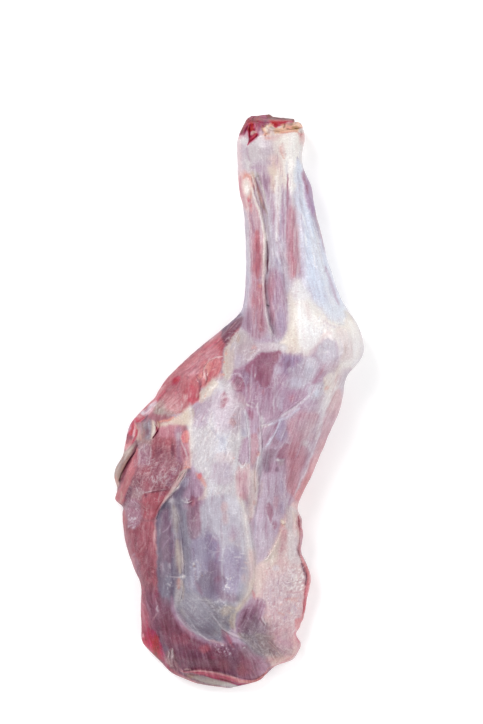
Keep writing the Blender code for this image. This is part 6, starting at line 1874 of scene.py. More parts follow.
# Muscles and bones that stand out: centre x, centre y, half length, half width, lean, rise.
BELLIES = {
    "wrist_knuckle": (36, 268, 26, 26, 0, 3),
    "wrist_side_bone": (7, 212, 16, 7, -5, 3),
    "extensor_cord": (17, 125, 80, 12, 3, 4),
    "extensor_belly": (46, 122, 62, 11, -4, 3),
    "flexor_sheet": (84, 128, 78, 15, -13, 4),
    "elbow_dome": (70, 76, 34, 32, 0, 4),
    "elbow_point": (108, 60, 32, 24, -25, 11),
    "elbow_hollow": (26, 32, 26, 24, 60, -4),
    "front_muscle": (-40, 28, 62, 26, 40, 8),
    "outer_triceps": (84, 0, 78, 22, 25, 7),
    "long_triceps": (42, -56, 70, 24, 6, 6),
    "shoulder_cap": (-14, -44, 52, 30, 5, 4),
    "front_flap_muscle": (-88, -84, 52, 26, 10, 7),
    "blade_muscle": (-22, -172, 82, 38, 0, 9),
    "ridge_strip": (-67, -170, 66, 11, 0, 3),
    "blade_end_muscle": (-30, -262, 62, 26, 90, 8),
    "back_flap": (44, -216, 52, 24, -8, 4),
    "split_cord": (21, 120, 70, 5, -3, 1.5),
    "middle_belly": (45, 110, 44, 7, -4, 1.6),
    "inner_tendon": (57, 226, 30, 5, 0, 1.5),
    "elbow_button": (93, 53, 10, 10, 0, -2),
    "blade_lip": (-46, -266, 20, 44, 0, 2.5),
}

# Seams between muscles: width, depth, then the points that the seam runs through.
SEAMS = {
    "shank_split": (2.4, 3.5, (20, 232, 28, 190, 31, 160, 30, 130, 31, 100, 38, 68)),
    "flexor_edge": (4, 2.5, (58, 236, 62, 180, 66, 120)),
    "sheet_edge": (3, 1.6, (66, 246, 68, 206, 74, 172)),
    "front_seam": (8, 4, (-8, 62, -22, 22, -56, -14, -104, -34)),
    "triceps_seam": (8, 4, (100, 20, 66, -44, 24, -70, 18, -110)),
    "ridge_seam": (8, 5, (-66, -110, -60, -160, -62, -210, -46, -238, -16, -252)),
    "blade_back_seam": (8, 6, (12, -108, 18, -160, 16, -196, -6, -232)),
    "flap_seam": (4, 2.2, (-52, -72, -66, -92, -80, -110, -86, -124)),
    "sheet_seam": (3, 1.6, (28, -10, 25, -34, 23, -60, 20, -96)),
}

# The slanted wrist: where the slant starts and is full, how steep it is, its level height, and its notch.
CUT_START_Y, CUT_END_Y = 245.0, 285.0
CUT_SLANT, CUT_MIDDLE, CUT_NOTCH = 0.36, 25.0, 4.0

# The forearm bone: where its axis starts and how it leans, how flat it is, then y, height and radius.
BONE_X, BONE_SLANT, BONE_FLATNESS = 62.0, -0.105, 0.78
BONE = np.array([(60, 38, 15.0), (85, 36, 16.0), (115, 33, 11.5), (170, 29, 10.5), (225, 26, 14.0),
                 (258, 25, 21.0), (280, 25, 23.5), (295, 25, 22.0)], float)

# The skin is made in four lengths, so that each holds fine detail: where each starts and ends as a share of
# the leg's length, its rings, and its points over the top and underneath.
LENGTHS = {
    "shank_meat": (0.0, 0.31, 300, 205, 40),
    "arm_meat": (0.31, 0.5, 190, 340, 50),
    "shoulder_meat": (0.5, 0.68, 185, 350, 50),
    "blade_meat": (0.68, 1.0, 320, 250, 45),
}
# How finely the outline is measured, how far out its right edge is moved, how low the skin still reads the
# inner side's looks, and how far a length's lip lies under its neighbour's skin.
OUTLINE_STEPS, RIGHT_SHIFT, RESTING_HEIGHT, LIP_DROP = 1200, 0.5, 2.5, 0.03

# The plan is seen from a point straight above this place, SIGHT over the height SIGHT_Z.
SIGHT_X, SIGHT_Y, SIGHT_Z, SIGHT = 3.7, 41.0, 15.0, 2534.0

# The cut wrist's flesh: its rings out to the rim, and how deep the bone's socket goes, ring by ring.
CUT_RINGS = 40
SOCKET_DEPTHS = (1.5, 4.0, 7.0, 10.0)


def through(at, knots, values):
    """A cubic curve through the knots, at each place as steep as the chord between its neighbours."""
    slopes = np.gradient(values, knots, axis=0)
    i = np.clip(np.searchsorted(knots, at) - 1, 0, len(knots) - 2)
    step = (knots[i + 1] - knots[i])[:, None]
    t = (at - knots[i])[:, None] / step
    start = (1 + 2 * t) * (1 - t) ** 2 * values[i] + t * (1 - t) ** 2 * step * slopes[i]
    end = t**2 * (3 - 2 * t) * values[i + 1] + t**2 * (t - 1) * step * slopes[i + 1]
    return start + end


def relief(x, y):
    """Domes over the bellies less soft grooves along the seams."""
    height = np.zeros(x.shape)
    for cx, cy, half_length, half_width, lean, rise in BELLIES.values():
        turn = np.radians(lean)
        along = (x - cx) * np.sin(turn) + (y - cy) * np.cos(turn)
        across = (x - cx) * np.cos(turn) - (y - cy) * np.sin(turn)
        height += rise * np.clip(1 - (along / half_length) ** 2 - (across / half_width) ** 2, 0, None) ** 2
    for width, depth, points in SEAMS.values():
        near = reach(x, y, np.reshape(points, (-1, 2)))[0]
        height -= depth * np.exp(-((near / width) ** 2))
    return height


def slanted(points):
    """The wrist's end leans back with height, fading out along the shank, and is notched low on its right
    half."""
    leant = points.copy()
    share = smooth_step(points[..., 1], CUT_START_Y, CUT_END_Y)
    notch = smooth_step(points[..., 0], 32, 38) * (1 - smooth_step(points[..., 0], 54, 63))
    low = np.clip(1.2 - points[..., 2] / 30, 0, 1)
    leant[..., 1] -= share * (CUT_SLANT * (points[..., 2] - CUT_MIDDLE) + CUT_NOTCH * notch * low)
    return leant


def even_steps(count):
    """Steps across a cut from 0 to 1, shorter towards both edges where the surface turns down."""
    parts = 4000
    t = (np.arange(parts) + 0.5) / parts
    pace = np.minimum(1, np.sin(np.pi * t) / np.sin(0.16 * np.pi)) ** 0.85
    total = np.concatenate([[0], np.cumsum(pace)])
    return np.interp(np.linspace(0, 1, count), np.linspace(0, 1, parts + 1), total / total[-1])


def edge_shift(side, y):
    """How far the small bumps and notches, and a fine unevenness, push this edge outwards."""
    out = 0.9 * cloud(y, 0 * y + 9 * (side == "left"), 16.0, 5, 4)
    for which, place, half_length, amount in EDGE_MARKS:
        if which == side:
            out += amount * np.exp(-(((y - place) / half_length) ** 2))
    return out * smooth_step(np.abs(y + 302), 2, 12)


def leg_cuts(start, end, rings):
    """Evenly spaced cross cuts of one length of the leg, and one more past each end that has a neighbour:
    the ends of each cut, with the heights and the roundness of its curves, as columns."""
    rows = np.arange(len(OUTLINE), dtype=float)
    fine = np.linspace(0, rows[-1], OUTLINE_STEPS)
    ends = through(fine, rows, OUTLINE)
    middle = np.stack([ends[:, 0] + ends[:, 2], ends[:, 1] + ends[:, 3]], axis=1) / 2
    length = np.concatenate([[0], np.cumsum(np.hypot(*np.diff(middle, axis=0).T))])
    shares = np.linspace(start, end, rings)
    step = shares[1] - shares[0]
    shares = np.concatenate([shares[:1] - step, shares, shares[-1:] + step])
    shares = shares[(shares > -1e-9) & (shares < 1 + 1e-9)]
    places = np.interp(shares * length[-1], length, fine)
    left_x, left_y, right_x, right_y = through(places, rows, OUTLINE).T
    left_x = left_x - edge_shift("left", left_y)
    right_x = right_x + edge_shift("right", right_y) + RIGHT_SHIFT
    middle_y = (left_y + right_y) / 2
    crest, crest_at, edge, under = through(middle_y, THICKNESS[:, 0], THICKNESS[:, 1:]).T
    shank = smooth_step(middle_y, SHOULDER_Y, SHANK_Y)
    top_round = TOP_ROUND[0] + shank * (TOP_ROUND[1] - TOP_ROUND[0])
    under_round = UNDER_ROUND[0] + shank * (UNDER_ROUND[1] - UNDER_ROUND[0])
    columns = (left_x, left_y, right_x, right_y, crest, crest_at, edge, under, top_round, under_round)
    return [c[:, None] for c in columns]


def leg_skin(cuts, top_points, under_points):
    """The leg's skin before its marks: over the top, a half-round that peaks at the crest plus the relief;
    underneath, a flatter half-round cut off at the table. Gives the top's points, its share of rise, and
    the bottom's points."""
    left_x, left_y, right_x, right_y, crest, crest_at, edge, under, top_round, under_round = cuts
    across = even_steps(top_points)[None, :]
    x, y = left_x + across * (right_x - left_x), left_y + across * (right_y - left_y)
    skewed = across ** (np.log(0.5) / np.log(crest_at))
    rise = np.clip(4 * skewed * (1 - skewed), 0, 1) ** (top_round / 2)
    z = edge + (crest - edge) * rise + relief(x, y) * np.clip(2 * rise, 0, 1)
    back = np.linspace(1, 0, under_points + 2)[None, 1:-1]
    back = np.where(back < 0.5, 0.5 * (2 * back) ** 1.7, 1 - 0.5 * (2 - 2 * back) ** 1.7)
    ux, uy = left_x + back * (right_x - left_x), left_y + back * (right_y - left_y)
    sink = np.clip(4 * back * (1 - back), 0, 1) ** (under_round / 2)
    uz = np.clip(edge - (edge - under) * sink, 0, None)
    return np.stack([x, y, z], axis=-1), rise, np.stack([ux, uy, uz], axis=-1)


def plan_places(points):
    """The plan is laid out as seen from SIGHT above: where lines from there through the points meet
    z = SIGHT_Z."""
    x, y, z = np.moveaxis(points, -1, 0)
    share = (z - SIGHT_Z) / (SIGHT_Z + SIGHT - z)
    return x + share * (x - SIGHT_X), y + share * (y - SIGHT_Y)


def reading_places(points):
    """Where each point reads its colours. A side steeper than its top reads further in with depth and
    wanders, so that no colour runs straight down it."""
    x, y = plan_places(points)
    z = points[..., 2]
    low = np.clip(1 - z / (0.5 * z.max(axis=1, keepdims=True)), 0, 1)
    inwards = np.sign(np.median(x, axis=1, keepdims=True) - x)
    x = x + low * (3 * inwards + 4 * noise(y, z, 11.0, 41) + 2 * noise(y, z, 4.0, 43))
    y = y + low * (7 * noise(z + x, y, 13.0, 47) + 3 * noise(z, y, 5.0, 49))
    return x, y


def shell(rings, first):
    """Points and faces of a closed skin over rings of points: quads between neighbours and a fan to the
    middle of each end ring, all facing outwards. Its first point has the given number."""
    count, around = rings.shape[:2]
    points = np.concatenate([rings.reshape(-1, 3), [rings[0].mean(axis=0), rings[-1].mean(axis=0)]])
    here = np.arange(count * around).reshape(count, around)
    beside = np.roll(here, -1, axis=1)
    quads = np.stack([here[:-1], beside[:-1], beside[1:], here[1:]], axis=-1).reshape(-1, 4)
    tip = np.full(around, count * around)
    fans = np.concatenate([np.stack([beside[0], here[0], tip], axis=1),
                           np.stack([here[-1], beside[-1], tip + 1], axis=1)])
    a, b, c = (points[quads[:, i]] - points[0] for i in (0, 1, 2))
    if (a * np.cross(b, c)).sum() < 0:
        quads, fans = quads[:, ::-1], fans[:, ::-1]
    return points, (quads + first).tolist() + (fans + first).tolist()


# The box that the tables of this script are written for, in mm: its lowest corner and its sides.
TABLE_LOW = (-129.98, -302.60, 0.0)
TABLE_SIDES = (260.42, 603.94, 87.26)


def on_part(points):
    """The points of the tables, carried from their box to the box of the CAD, in metres."""
    low, high = np.array([list(corner) for corner in cad_box])
    return low + (points - TABLE_LOW) / TABLE_SIDES * (high - low)


def wrapped(name, shells):
    """One mesh of closed skins, each over its own rings of points."""
    points, faces, first = [], [], 0
    for rings in shells:
        ring_points, ring_faces = shell(rings, first)
        points.append(ring_points)
        faces += ring_faces
        first += len(ring_points)
    mesh = bpy.data.meshes.new(name)
    mesh.from_pydata(on_part(np.concatenate(points)).tolist(), [], faces)
    mesh.shade_smooth()
    obj = bpy.data.objects.new(name, mesh)
    bpy.context.scene.collection.objects.link(obj)
    return obj


# The wet shine adds light to every colour, so the painted light is scaled and lowered by these shares.
LIGHT_SHARE, SHEEN_SHARE = 0.85, 0.03
# The channels of a plan are colour, rise, the four marks and the lean.
RISE, FIRST_MARK, LEAN = 3, 4, 8


def looks_at(x, y, plan=PLAN, cell=CELL):
    """The looks of any places from a painted plan. The lean is the nearest cell's, unblended."""
    looks = read_grid(plan, cell, x, y)
    looks[..., LEAN] = plan[nearest_cells(x, y, cell, plan.shape)][..., LEAN]
    return looks


def give_looks(obj, x, y, looks):
    """Stores the looks on the points: the colour as linear light, the four marks, and the run of the fibres
    as a place turned so that its second number grows along them. Points past the last look, at the caps,
    repeat it."""
    x, y, looks = x.ravel(), y.ravel(), looks.reshape(-1, looks.shape[-1])
    spare = len(obj.data.vertices) - len(x)
    colour = ((np.clip(looks[:, :3], 0, 255) / 255 + 0.055) / 1.055) ** 2.4
    colour = np.clip(colour * LIGHT_SHARE - SHEEN_SHARE, 0.002, 1)
    turn = np.radians(looks[:, LEAN])
    across, along = x * np.cos(turn) - y * np.sin(turn), x * np.sin(turn) + y * np.cos(turn)
    tint = np.concatenate([colour, np.ones((len(x), 1))], axis=1)
    marks = np.clip(looks[:, FIRST_MARK:LEAN], 0, 1)
    flow = np.stack([across, along, looks[:, LEAN]], axis=1) * MM
    for name, kind, prop, values in (("tint", "FLOAT_COLOR", "color", tint),
                                     ("marks", "FLOAT_COLOR", "color", marks),
                                     ("flow", "FLOAT_VECTOR", "vector", flow)):
        values = np.concatenate([values, np.repeat(values[-1:], spare, axis=0)])
        layer = obj.data.attributes.new(name, kind, "POINT")
        layer.data.foreach_set(prop, values.astype(np.float32).ravel())


def cut_face(wrist):
    """The flesh of the cut wrist: from its rim in to the bone's outline at the same angle round the bone's
    axis, domed and lumpy, then a short way down the bone's socket. Rings run from the inside out."""
    middle = np.array([BONE_X + BONE_SLANT * (BONE[-1, 0] - BONE[0, 0]), 0, BONE[-1, 1]])
    angle = np.arctan2((wrist[:, 2] - middle[2]) / BONE_FLATNESS, wrist[:, 0] - middle[0])
    radius = BONE[-1, 2] + 0.3
    bone = np.stack([middle[0] + radius * np.cos(angle), wrist[:, 1],
                     middle[2] + radius * BONE_FLATNESS * np.sin(angle)], axis=1)
    share = np.linspace(0, 1, CUT_RINGS + 1)[1:, None]
    face = wrist + (bone - wrist) * share[..., None]
    x, z = face[..., 0], face[..., 2]
    lumps = 1.6 * cloud(x, z, 7.0, 61) + 0.8 * cloud(x, z, 2.6, 67)
    face[..., 1] += 2.6 * np.sin(np.pi / 2 * share) + lumps * np.sin(np.pi * share**0.8)
    socket = np.repeat(face[-1:], len(SOCKET_DEPTHS), axis=0)
    socket[..., 1] -= np.array(SOCKET_DEPTHS)[:, None]
    return np.concatenate([face, socket])[::-1]


def tucked(ring):
    """A ring drawn in a little towards its middle, to lie just under the skin of the next length."""
    away = ring - ring.mean(axis=0)
    return ring - LIP_DROP * away / np.linalg.norm(away, axis=1, keepdims=True)


def make_length(name, start, end, rings, top_points, under_points):
    """One length of the leg's skin as a closed piece, its painted ridges raised. Past an end with a
    neighbour, a lip runs on just under the neighbour's skin; the first length has the cut wrist's flesh."""
    top, share, under = leg_skin(leg_cuts(start, end, rings), top_points, under_points)
    points = slanted(np.concatenate([top, under], axis=1))
    x, y = reading_places(points)
    looks = looks_at(x, y)
    resting = under[..., 2] < RESTING_HEIGHT
    below = looks[:, top_points:]
    inner = looks_at(x[:, top_points:], y[:, top_points:], INNER_PLAN, INNER_CELL)
    below[resting] = inner[resting]
    top_x, top_y = top[..., 0], top[..., 1]
    fine = 0.3 * cloud(top_x, top_y, 6.0, 71, 4) + 0.5 * cloud(top_x, top_y / 2, 22.0, 73)
    raised = looks[:, :top_points, RISE] * np.clip(3 * share, 0, 1)
    points[:, :top_points, 2] += raised + fine * np.clip(2 * share, 0, 1)
    if start > 0:
        points[0] = tucked(points[0])
    else:
        cut = slanted(cut_face(np.concatenate([top, under], axis=1)[0]))
        cut_x, cut_y = plan_places(cut)
        points, looks = np.concatenate([cut, points]), np.concatenate([looks_at(cut_x, cut_y), looks])
        x, y = np.concatenate([cut_x, x]), np.concatenate([cut_y, y])
    if end < 1:
        points[-1] = tucked(points[-1])
    piece = wrapped(name, [points])
    give_looks(piece, x, y, looks)
    return piece


# Folds, seams, rims and small bits that stand up from the skin, by piece. Each is its width and height in
# mm, how far its middle lies over the skin, and then the places of its path on the plan.
HEIGHT_CELL, STRAND_STEP, STRAND_SIDES = 1.5, 0.8, 14
STRANDS = {
    "flap_edges": (
        (3.4, 2.8, 0.3, (-55, -73, -60, -81, -66, -90, -72, -98, -80, -109, -84, -116, -86, -124)),
        (2.0, 1.8, 0.3, (-60, -74, -64, -83, -69, -92, -75, -101)),
        (1.4, 1.4, 0.2, (-94, -96, -86, -94, -78, -92.5, -71, -92.5)),
        (2.4, 2.2, 0.3, (-85, -20, -83, -26, -85, -31, -89, -36)),
        (2.4, 2.0, 0.2, (-90, -22, -87, -27, -87, -33, -90, -39)),
    ),
    "seam_ridges": (
        (3.0, 1.4, -0.1, (-64, -120, -61, -134, -59, -150, -58, -166, -57.5, -184, -59, -200, -62, -212)),
        (8.0, 3.0, -0.8, (5, -110, 9, -122, 11, -138, 13, -154, 15, -170, 15, -186, 12, -200, 5, -211)),
        (2.4, 1.3, 0.0, (74, 9, 66, 2, 54, -7, 40, -18, 30, -24, 24, -27)),
        (2.6, 2.0, 0.0, (22, -12, 23, -30, 24, -48, 21, -60, 19, -76, 19, -96)),
        (1.8, 1.6, 0.1, (8, -12, 10, -26, 11.5, -40, 12, -54, 12, -64)),
        (1.6, 1.4, 0.1, (0, -8, 1, -20, 0, -34)),
        (1.4, 1.0, 0.0, (44, -26, 40, -32, 33, -44, 27, -52)),
        (2.6, 2.4, 0.0, (46, -134, 42, -146, 35, -159, 27, -170)),
        (3.4, 2.4, 0.0, (-30, -222, -24, -229, -17, -238, -8, -244, 4, -249, 15, -258, 26, -266)),
        (1.6, 1.6, 0.1, (-38, 24, -37, 34, -31, 42, -22, 46)),
    ),
    "raw_rims": (
        (5.0, 6.0, -1.0, (63.5, -119, 64.5, -128, 66, -138, 65.5, -147, 64.5, -156, 67, -166, 71, -174,
                          73.5, -182, 73.5, -190, 71.5, -199, 70.5, -209, 69, -221, 67.5, -230)),
        (4.4, 4.0, 0.2, (-58, -285, -50, -284, -40, -284, -28, -285, -14, -288.5, 0, -292, 12, -294,
                         22, -291.5, 29, -286)),
    ),
    "membrane_roll": (
        (9.0, 3.4, 0.5, (-106, -45, -111.4, -53, -117, -61.5, -121.6, -69, -124.6, -76, -126, -84)),
    ),
    "cut_frill": (
        (3.0, 3.2, 0.6, (47, 285.2, 52, 286, 58, 287.2, 62.6, 287.6, 65.6, 285.6)),
        (2.4, 2.6, 0.4, (34, 284.4, 42, 284.2, 50, 285.4, 60, 286.2)),
        (2.0, 2.4, 0.4, (66.4, 284.6, 67.4, 281, 66.4, 277)),
        (3.4, 2.8, -0.4, (5.4, 279, 7.2, 285, 10, 289.6, 13.6, 291.2, 17.2, 291)),
        (2.0, 2.2, 0.4, (11, 271, 11.4, 278, 11.2, 285, 13, 291)),
        (2.8, 2.4, 0.4, (12, 274, 16, 276.4, 20, 280)),
        (3.4, 3.0, 0.4, (16, 284, 18, 288, 18, 292)),
        (4.6, 3.6, 0.4, (28.4, 286.8, 29.2, 284.4, 31, 281)),
    ),
    "small_bits": (
        (4.4, 4.2, 0.4, (45, -127.6, 47.5, -127.2, 50, -128.4)),
        (2.6, 2.6, 0.3, (20, -52, 21, -55, 22.5, -57)),
        (1.3, 1.4, 0.3, (1, -62, 2, -65.5, 5, -68, 7.5, -66, 8, -63)),
        (1.2, 1.6, 0.4, (40.5, -60.4, 41, -62, 44, -61.6, 49, -61.8)),
        (1.5, 1.8, 0.4, (-72, -261, -72, -266, -73.4, -271)),
        (1.8, 2.0, 0.4, (-69, -260, -69, -266, -67.6, -271)),
        (1.3, 1.4, 0.4, (-59, -104, -56, -106.4, -52, -106.8, -48, -105)),
        (1.1, 1.4, 0.4, (-55, -101, -53.4, -104, -52.6, -108)),
        (2.2, 2.0, 0.3, (25, -227, 27, -231, 29.4, -235)),
        (1.4, 1.4, 0.2, (33, -252, 38, -258, 43, -264, 46, -268)),
        (1.4, 1.4, 0.2, (33, -261, 36, -267, 38.5, -272)),
        (2.0, 1.8, 0.2, (-46.8, -169.4, -46.2, -171.4)),
        (2.4, 2.0, 0.3, (-6, -18, -5, -22, -3, -25)),
    ),
}


def points_of(piece):
    """The points of a piece, in mm."""
    points = np.empty(3 * len(piece.data.vertices), np.float32)
    piece.data.vertices.foreach_get("co", points)
    return points.reshape(-1, 3) / MM


def skin_heights(pieces):
    """The skin's height over the table on a grid: that of the highest point in each cell, a little
    smoothed."""
    heights = np.zeros(plan_grid(HEIGHT_CELL)[0].shape)
    for piece in pieces:
        x, y, z = points_of(piece).T
        np.maximum.at(heights, nearest_cells(x, y, HEIGHT_CELL, heights.shape), z)
    return softened(heights, 0.6)


def on_skin(x, y, heights):
    """The points of the skin that are seen at these places of the plan: the lines from SIGHT are followed
    down to the height found there, three times over."""
    skin_x, skin_y = x, y
    for _ in range(3):
        z = read_grid(heights[..., None], HEIGHT_CELL, skin_x, skin_y)[..., 0]
        share = (z - SIGHT_Z) / (SIGHT_Z + SIGHT - z)
        skin_x, skin_y = (x + share * SIGHT_X) / (1 + share), (y + share * SIGHT_Y) / (1 + share)
    return np.stack([skin_x, skin_y, z], axis=-1)


def strand_rings(width, height, lift, places, heights, seed):
    """An ellipse carried along a smooth path on the skin, upright to it, uneven, and rounded off at both
    ends."""
    curve = bend(places)
    along = np.concatenate([[0], np.cumsum(np.hypot(*np.diff(curve, axis=0).T))])
    at = np.linspace(0, along[-1], max(12, int(along[-1] / STRAND_STEP)))
    x, y = np.interp(at, along, curve[:, 0]), np.interp(at, along, curve[:, 1])
    path = on_skin(x, y, heights)
    slope_y, slope_x = np.gradient(softened(heights, 2.0), HEIGHT_CELL)
    slopes = read_grid(np.dstack([slope_x, slope_y]), HEIGHT_CELL, path[:, 0], path[:, 1])
    up = np.concatenate([-slopes, np.ones((len(at), 1))], axis=1)
    up /= np.linalg.norm(up, axis=1, keepdims=True)
    side = np.cross(up, np.gradient(path, axis=0))
    side /= np.linalg.norm(side, axis=1, keepdims=True)
    reach_out = np.sqrt(np.clip(1 - np.abs(np.linspace(-1, 1, len(at))) ** 5, 0.003, 1))
    reach_out = reach_out * (1 + 0.25 * cloud(at, 0 * at, 4.0 + width, seed))
    angle = np.linspace(0, 2 * np.pi, STRAND_SIDES, endpoint=False)[None, :, None]
    across = (width / 2 * reach_out)[:, None, None] * np.cos(angle) * side[:, None]
    upwards = (height / 2 * reach_out)[:, None, None] * np.sin(angle) * up[:, None]
    return (path + lift * up)[:, None] + across + upwards


def make_strands(name, strands, heights):
    """One piece of strands laid on the skin, each coloured like the painted plan under it."""
    shells = [strand_rings(*strand, heights, 200 + i) for i, strand in enumerate(strands)]
    piece = wrapped(name, shells)
    x, y = plan_places(points_of(piece))
    give_looks(piece, x, y, looks_at(x, y))
    return piece


def node(tree, kind, inputs=None, **settings):
    """Adds a node, sets its settings, and joins or sets its inputs by name or number."""
    made = tree.nodes.new(kind)
    for key, value in settings.items():
        setattr(made, key, value)
    for key, value in (inputs or {}).items():
        if isinstance(value, bpy.types.NodeSocket):
            tree.links.new(value, made.inputs[key])
        else:
            made.inputs[key].default_value = value
    return made


def calc(tree, operation, a, b=0.0, c=0.0):
    """One step of arithmetic on up to three values."""
    return node(tree, "ShaderNodeMath", {0: a, 1: b, 2: c}, operation=operation).outputs[0]


def scaled(tree, value, place, operation="MULTIPLY"):
    """A place in space multiplied by, or added to, another."""
    return node(tree, "ShaderNodeVectorMath", {0: value, 1: place}, operation=operation).outputs[0]


def grainy(tree, place, scale, detail, **inputs):
    """A noise texture over a place."""
    return node(tree, "ShaderNodeTexNoise", {"Vector": place, "Scale": scale, "Detail": detail, **inputs})


def group_node(tree, group, inputs):
    """Uses a node group, with its inputs joined or set."""
    return node(tree, "ShaderNodeGroup", inputs, node_tree=group).outputs


def spread(tree, value, low, high, to_low=0.0, to_high=1.0):
    """A smooth step from to_low to to_high as the value goes from low to high."""
    inputs = {"Value": value, "From Min": low, "From Max": high, "To Min": to_low, "To Max": to_high}
    return node(tree, "ShaderNodeMapRange", inputs, interpolation_type="SMOOTHSTEP").outputs["Result"]


def mixed(tree, share, a, b, how="MIX"):
    """Two colours mixed, or the second laid over the first in the way that is named."""
    return node(tree, "ShaderNodeMix", {0: share, 6: a, 7: b}, data_type="RGBA", blend_type=how).outputs[2]


def new_group(name, inputs, outputs):
    """An empty node group with its sockets. Gives the tree, its inputs and its output node."""
    tree = bpy.data.node_groups.new(name, "ShaderNodeTree")
    for title, kind, value in inputs:
        socket = tree.interface.new_socket(title, in_out="INPUT", socket_type=kind)
        if value is not None:
            socket.default_value = value
    for title, kind in outputs:
        tree.interface.new_socket(title, in_out="OUTPUT", socket_type=kind)
    return tree, tree.nodes.new("NodeGroupInput").outputs, tree.nodes.new("NodeGroupOutput")


def make_fibres_group():
    """Long fibres: noise drawn out along the second number of the flow, with a finer noise inside it."""
    tree, given, out = new_group("fibres", (
        ("Flow", "NodeSocketVector", None), ("Thickness", "NodeSocketFloat", 0.0013),
        ("Length", "NodeSocketFloat", 0.024),
    ), (("Strand", "NodeSocketFloat"), ("Hair", "NodeSocketFloat")))
    across = calc(tree, "DIVIDE", 1.0, given["Thickness"])
    along = calc(tree, "DIVIDE", 1.0, given["Length"])
    stretch = node(tree, "ShaderNodeCombineXYZ", {0: across, 1: along, 2: 1.0}).outputs[0]
    drawn = scaled(tree, given["Flow"], stretch)
    strand = grainy(tree, drawn, 1.0, 2.0, Distortion=0.4)
    hair = grainy(tree, drawn, 2.7, 3.0, Distortion=0.8)
    tree.links.new(strand.outputs[0], out.inputs["Strand"])
    tree.links.new(hair.outputs[0], out.inputs["Hair"])
    return tree


def make_threads_group():
    """Wisps of white sheet: the places where a drawn-out, wandering noise crosses its middle value, as thin
    lines."""
    tree, given, out = new_group("threads", (
        ("Place", "NodeSocketVector", None), ("Turn", "NodeSocketFloat", 0.0),
        ("Size", "NodeSocketFloat", 0.012), ("Thinness", "NodeSocketFloat", 0.02),
    ), (("Thread", "NodeSocketFloat"),))
    turned = node(tree, "ShaderNodeVectorRotate", {"Vector": given["Place"], "Angle": given["Turn"]},
                  rotation_type="Z_AXIS").outputs[0]
    size = calc(tree, "DIVIDE", 1.0, given["Size"])
    longer = calc(tree, "MULTIPLY", size, 0.15)
    stretch = node(tree, "ShaderNodeCombineXYZ", {0: size, 1: longer, 2: size}).outputs[0]
    field = grainy(tree, scaled(tree, turned, stretch), 1.0, 2.5, Distortion=0.5).outputs[0]
    away = calc(tree, "ABSOLUTE", calc(tree, "SUBTRACT", field, 0.5))
    line = spread(tree, away, 0.0, given["Thinness"], 1.0, 0.0)
    patchy = grainy(tree, given["Place"], 70.0, 2.0).outputs[0]
    shown = calc(tree, "MULTIPLY", line, spread(tree, patchy, 0.38, 0.62))
    tree.links.new(shown, out.inputs["Thread"])
    return tree


def make_lace_group():
    """A lacy skin: the edges of uneven cells, broken up, with small knots where the edges meet."""
    tree, given, out = new_group("lace", (
        ("Place", "NodeSocketVector", None), ("Cell", "NodeSocketFloat", 0.0034),
    ), (("Lace", "NodeSocketFloat"),))
    wander = grainy(tree, given["Place"], 260.0, 2.0).outputs["Color"]
    small = node(tree, "ShaderNodeVectorMath", {0: wander, "Scale": 0.004}, operation="SCALE").outputs[0]
    place = scaled(tree, given["Place"], small, "ADD")
    cells = node(tree, "ShaderNodeTexVoronoi", {
        "Vector": place, "Scale": calc(tree, "DIVIDE", 1.0, given["Cell"]),
    }, feature="DISTANCE_TO_EDGE").outputs["Distance"]
    edge = spread(tree, cells, 0.0, 0.16, 1.0, 0.0)
    patchy = grainy(tree, given["Place"], 150.0, 2.0).outputs[0]
    tree.links.new(calc(tree, "MULTIPLY", edge, spread(tree, patchy, 0.35, 0.65)), out.inputs["Lace"])
    return tree


FIBRES = make_fibres_group()
THREADS = make_threads_group()
LACE = make_lace_group()

# The wisps of white sheet: their turn, size and thinness.
WISPS = ((0.35, 0.011, 0.016), (-0.75, 0.008, 0.014), (1.35, 0.014, 0.012))


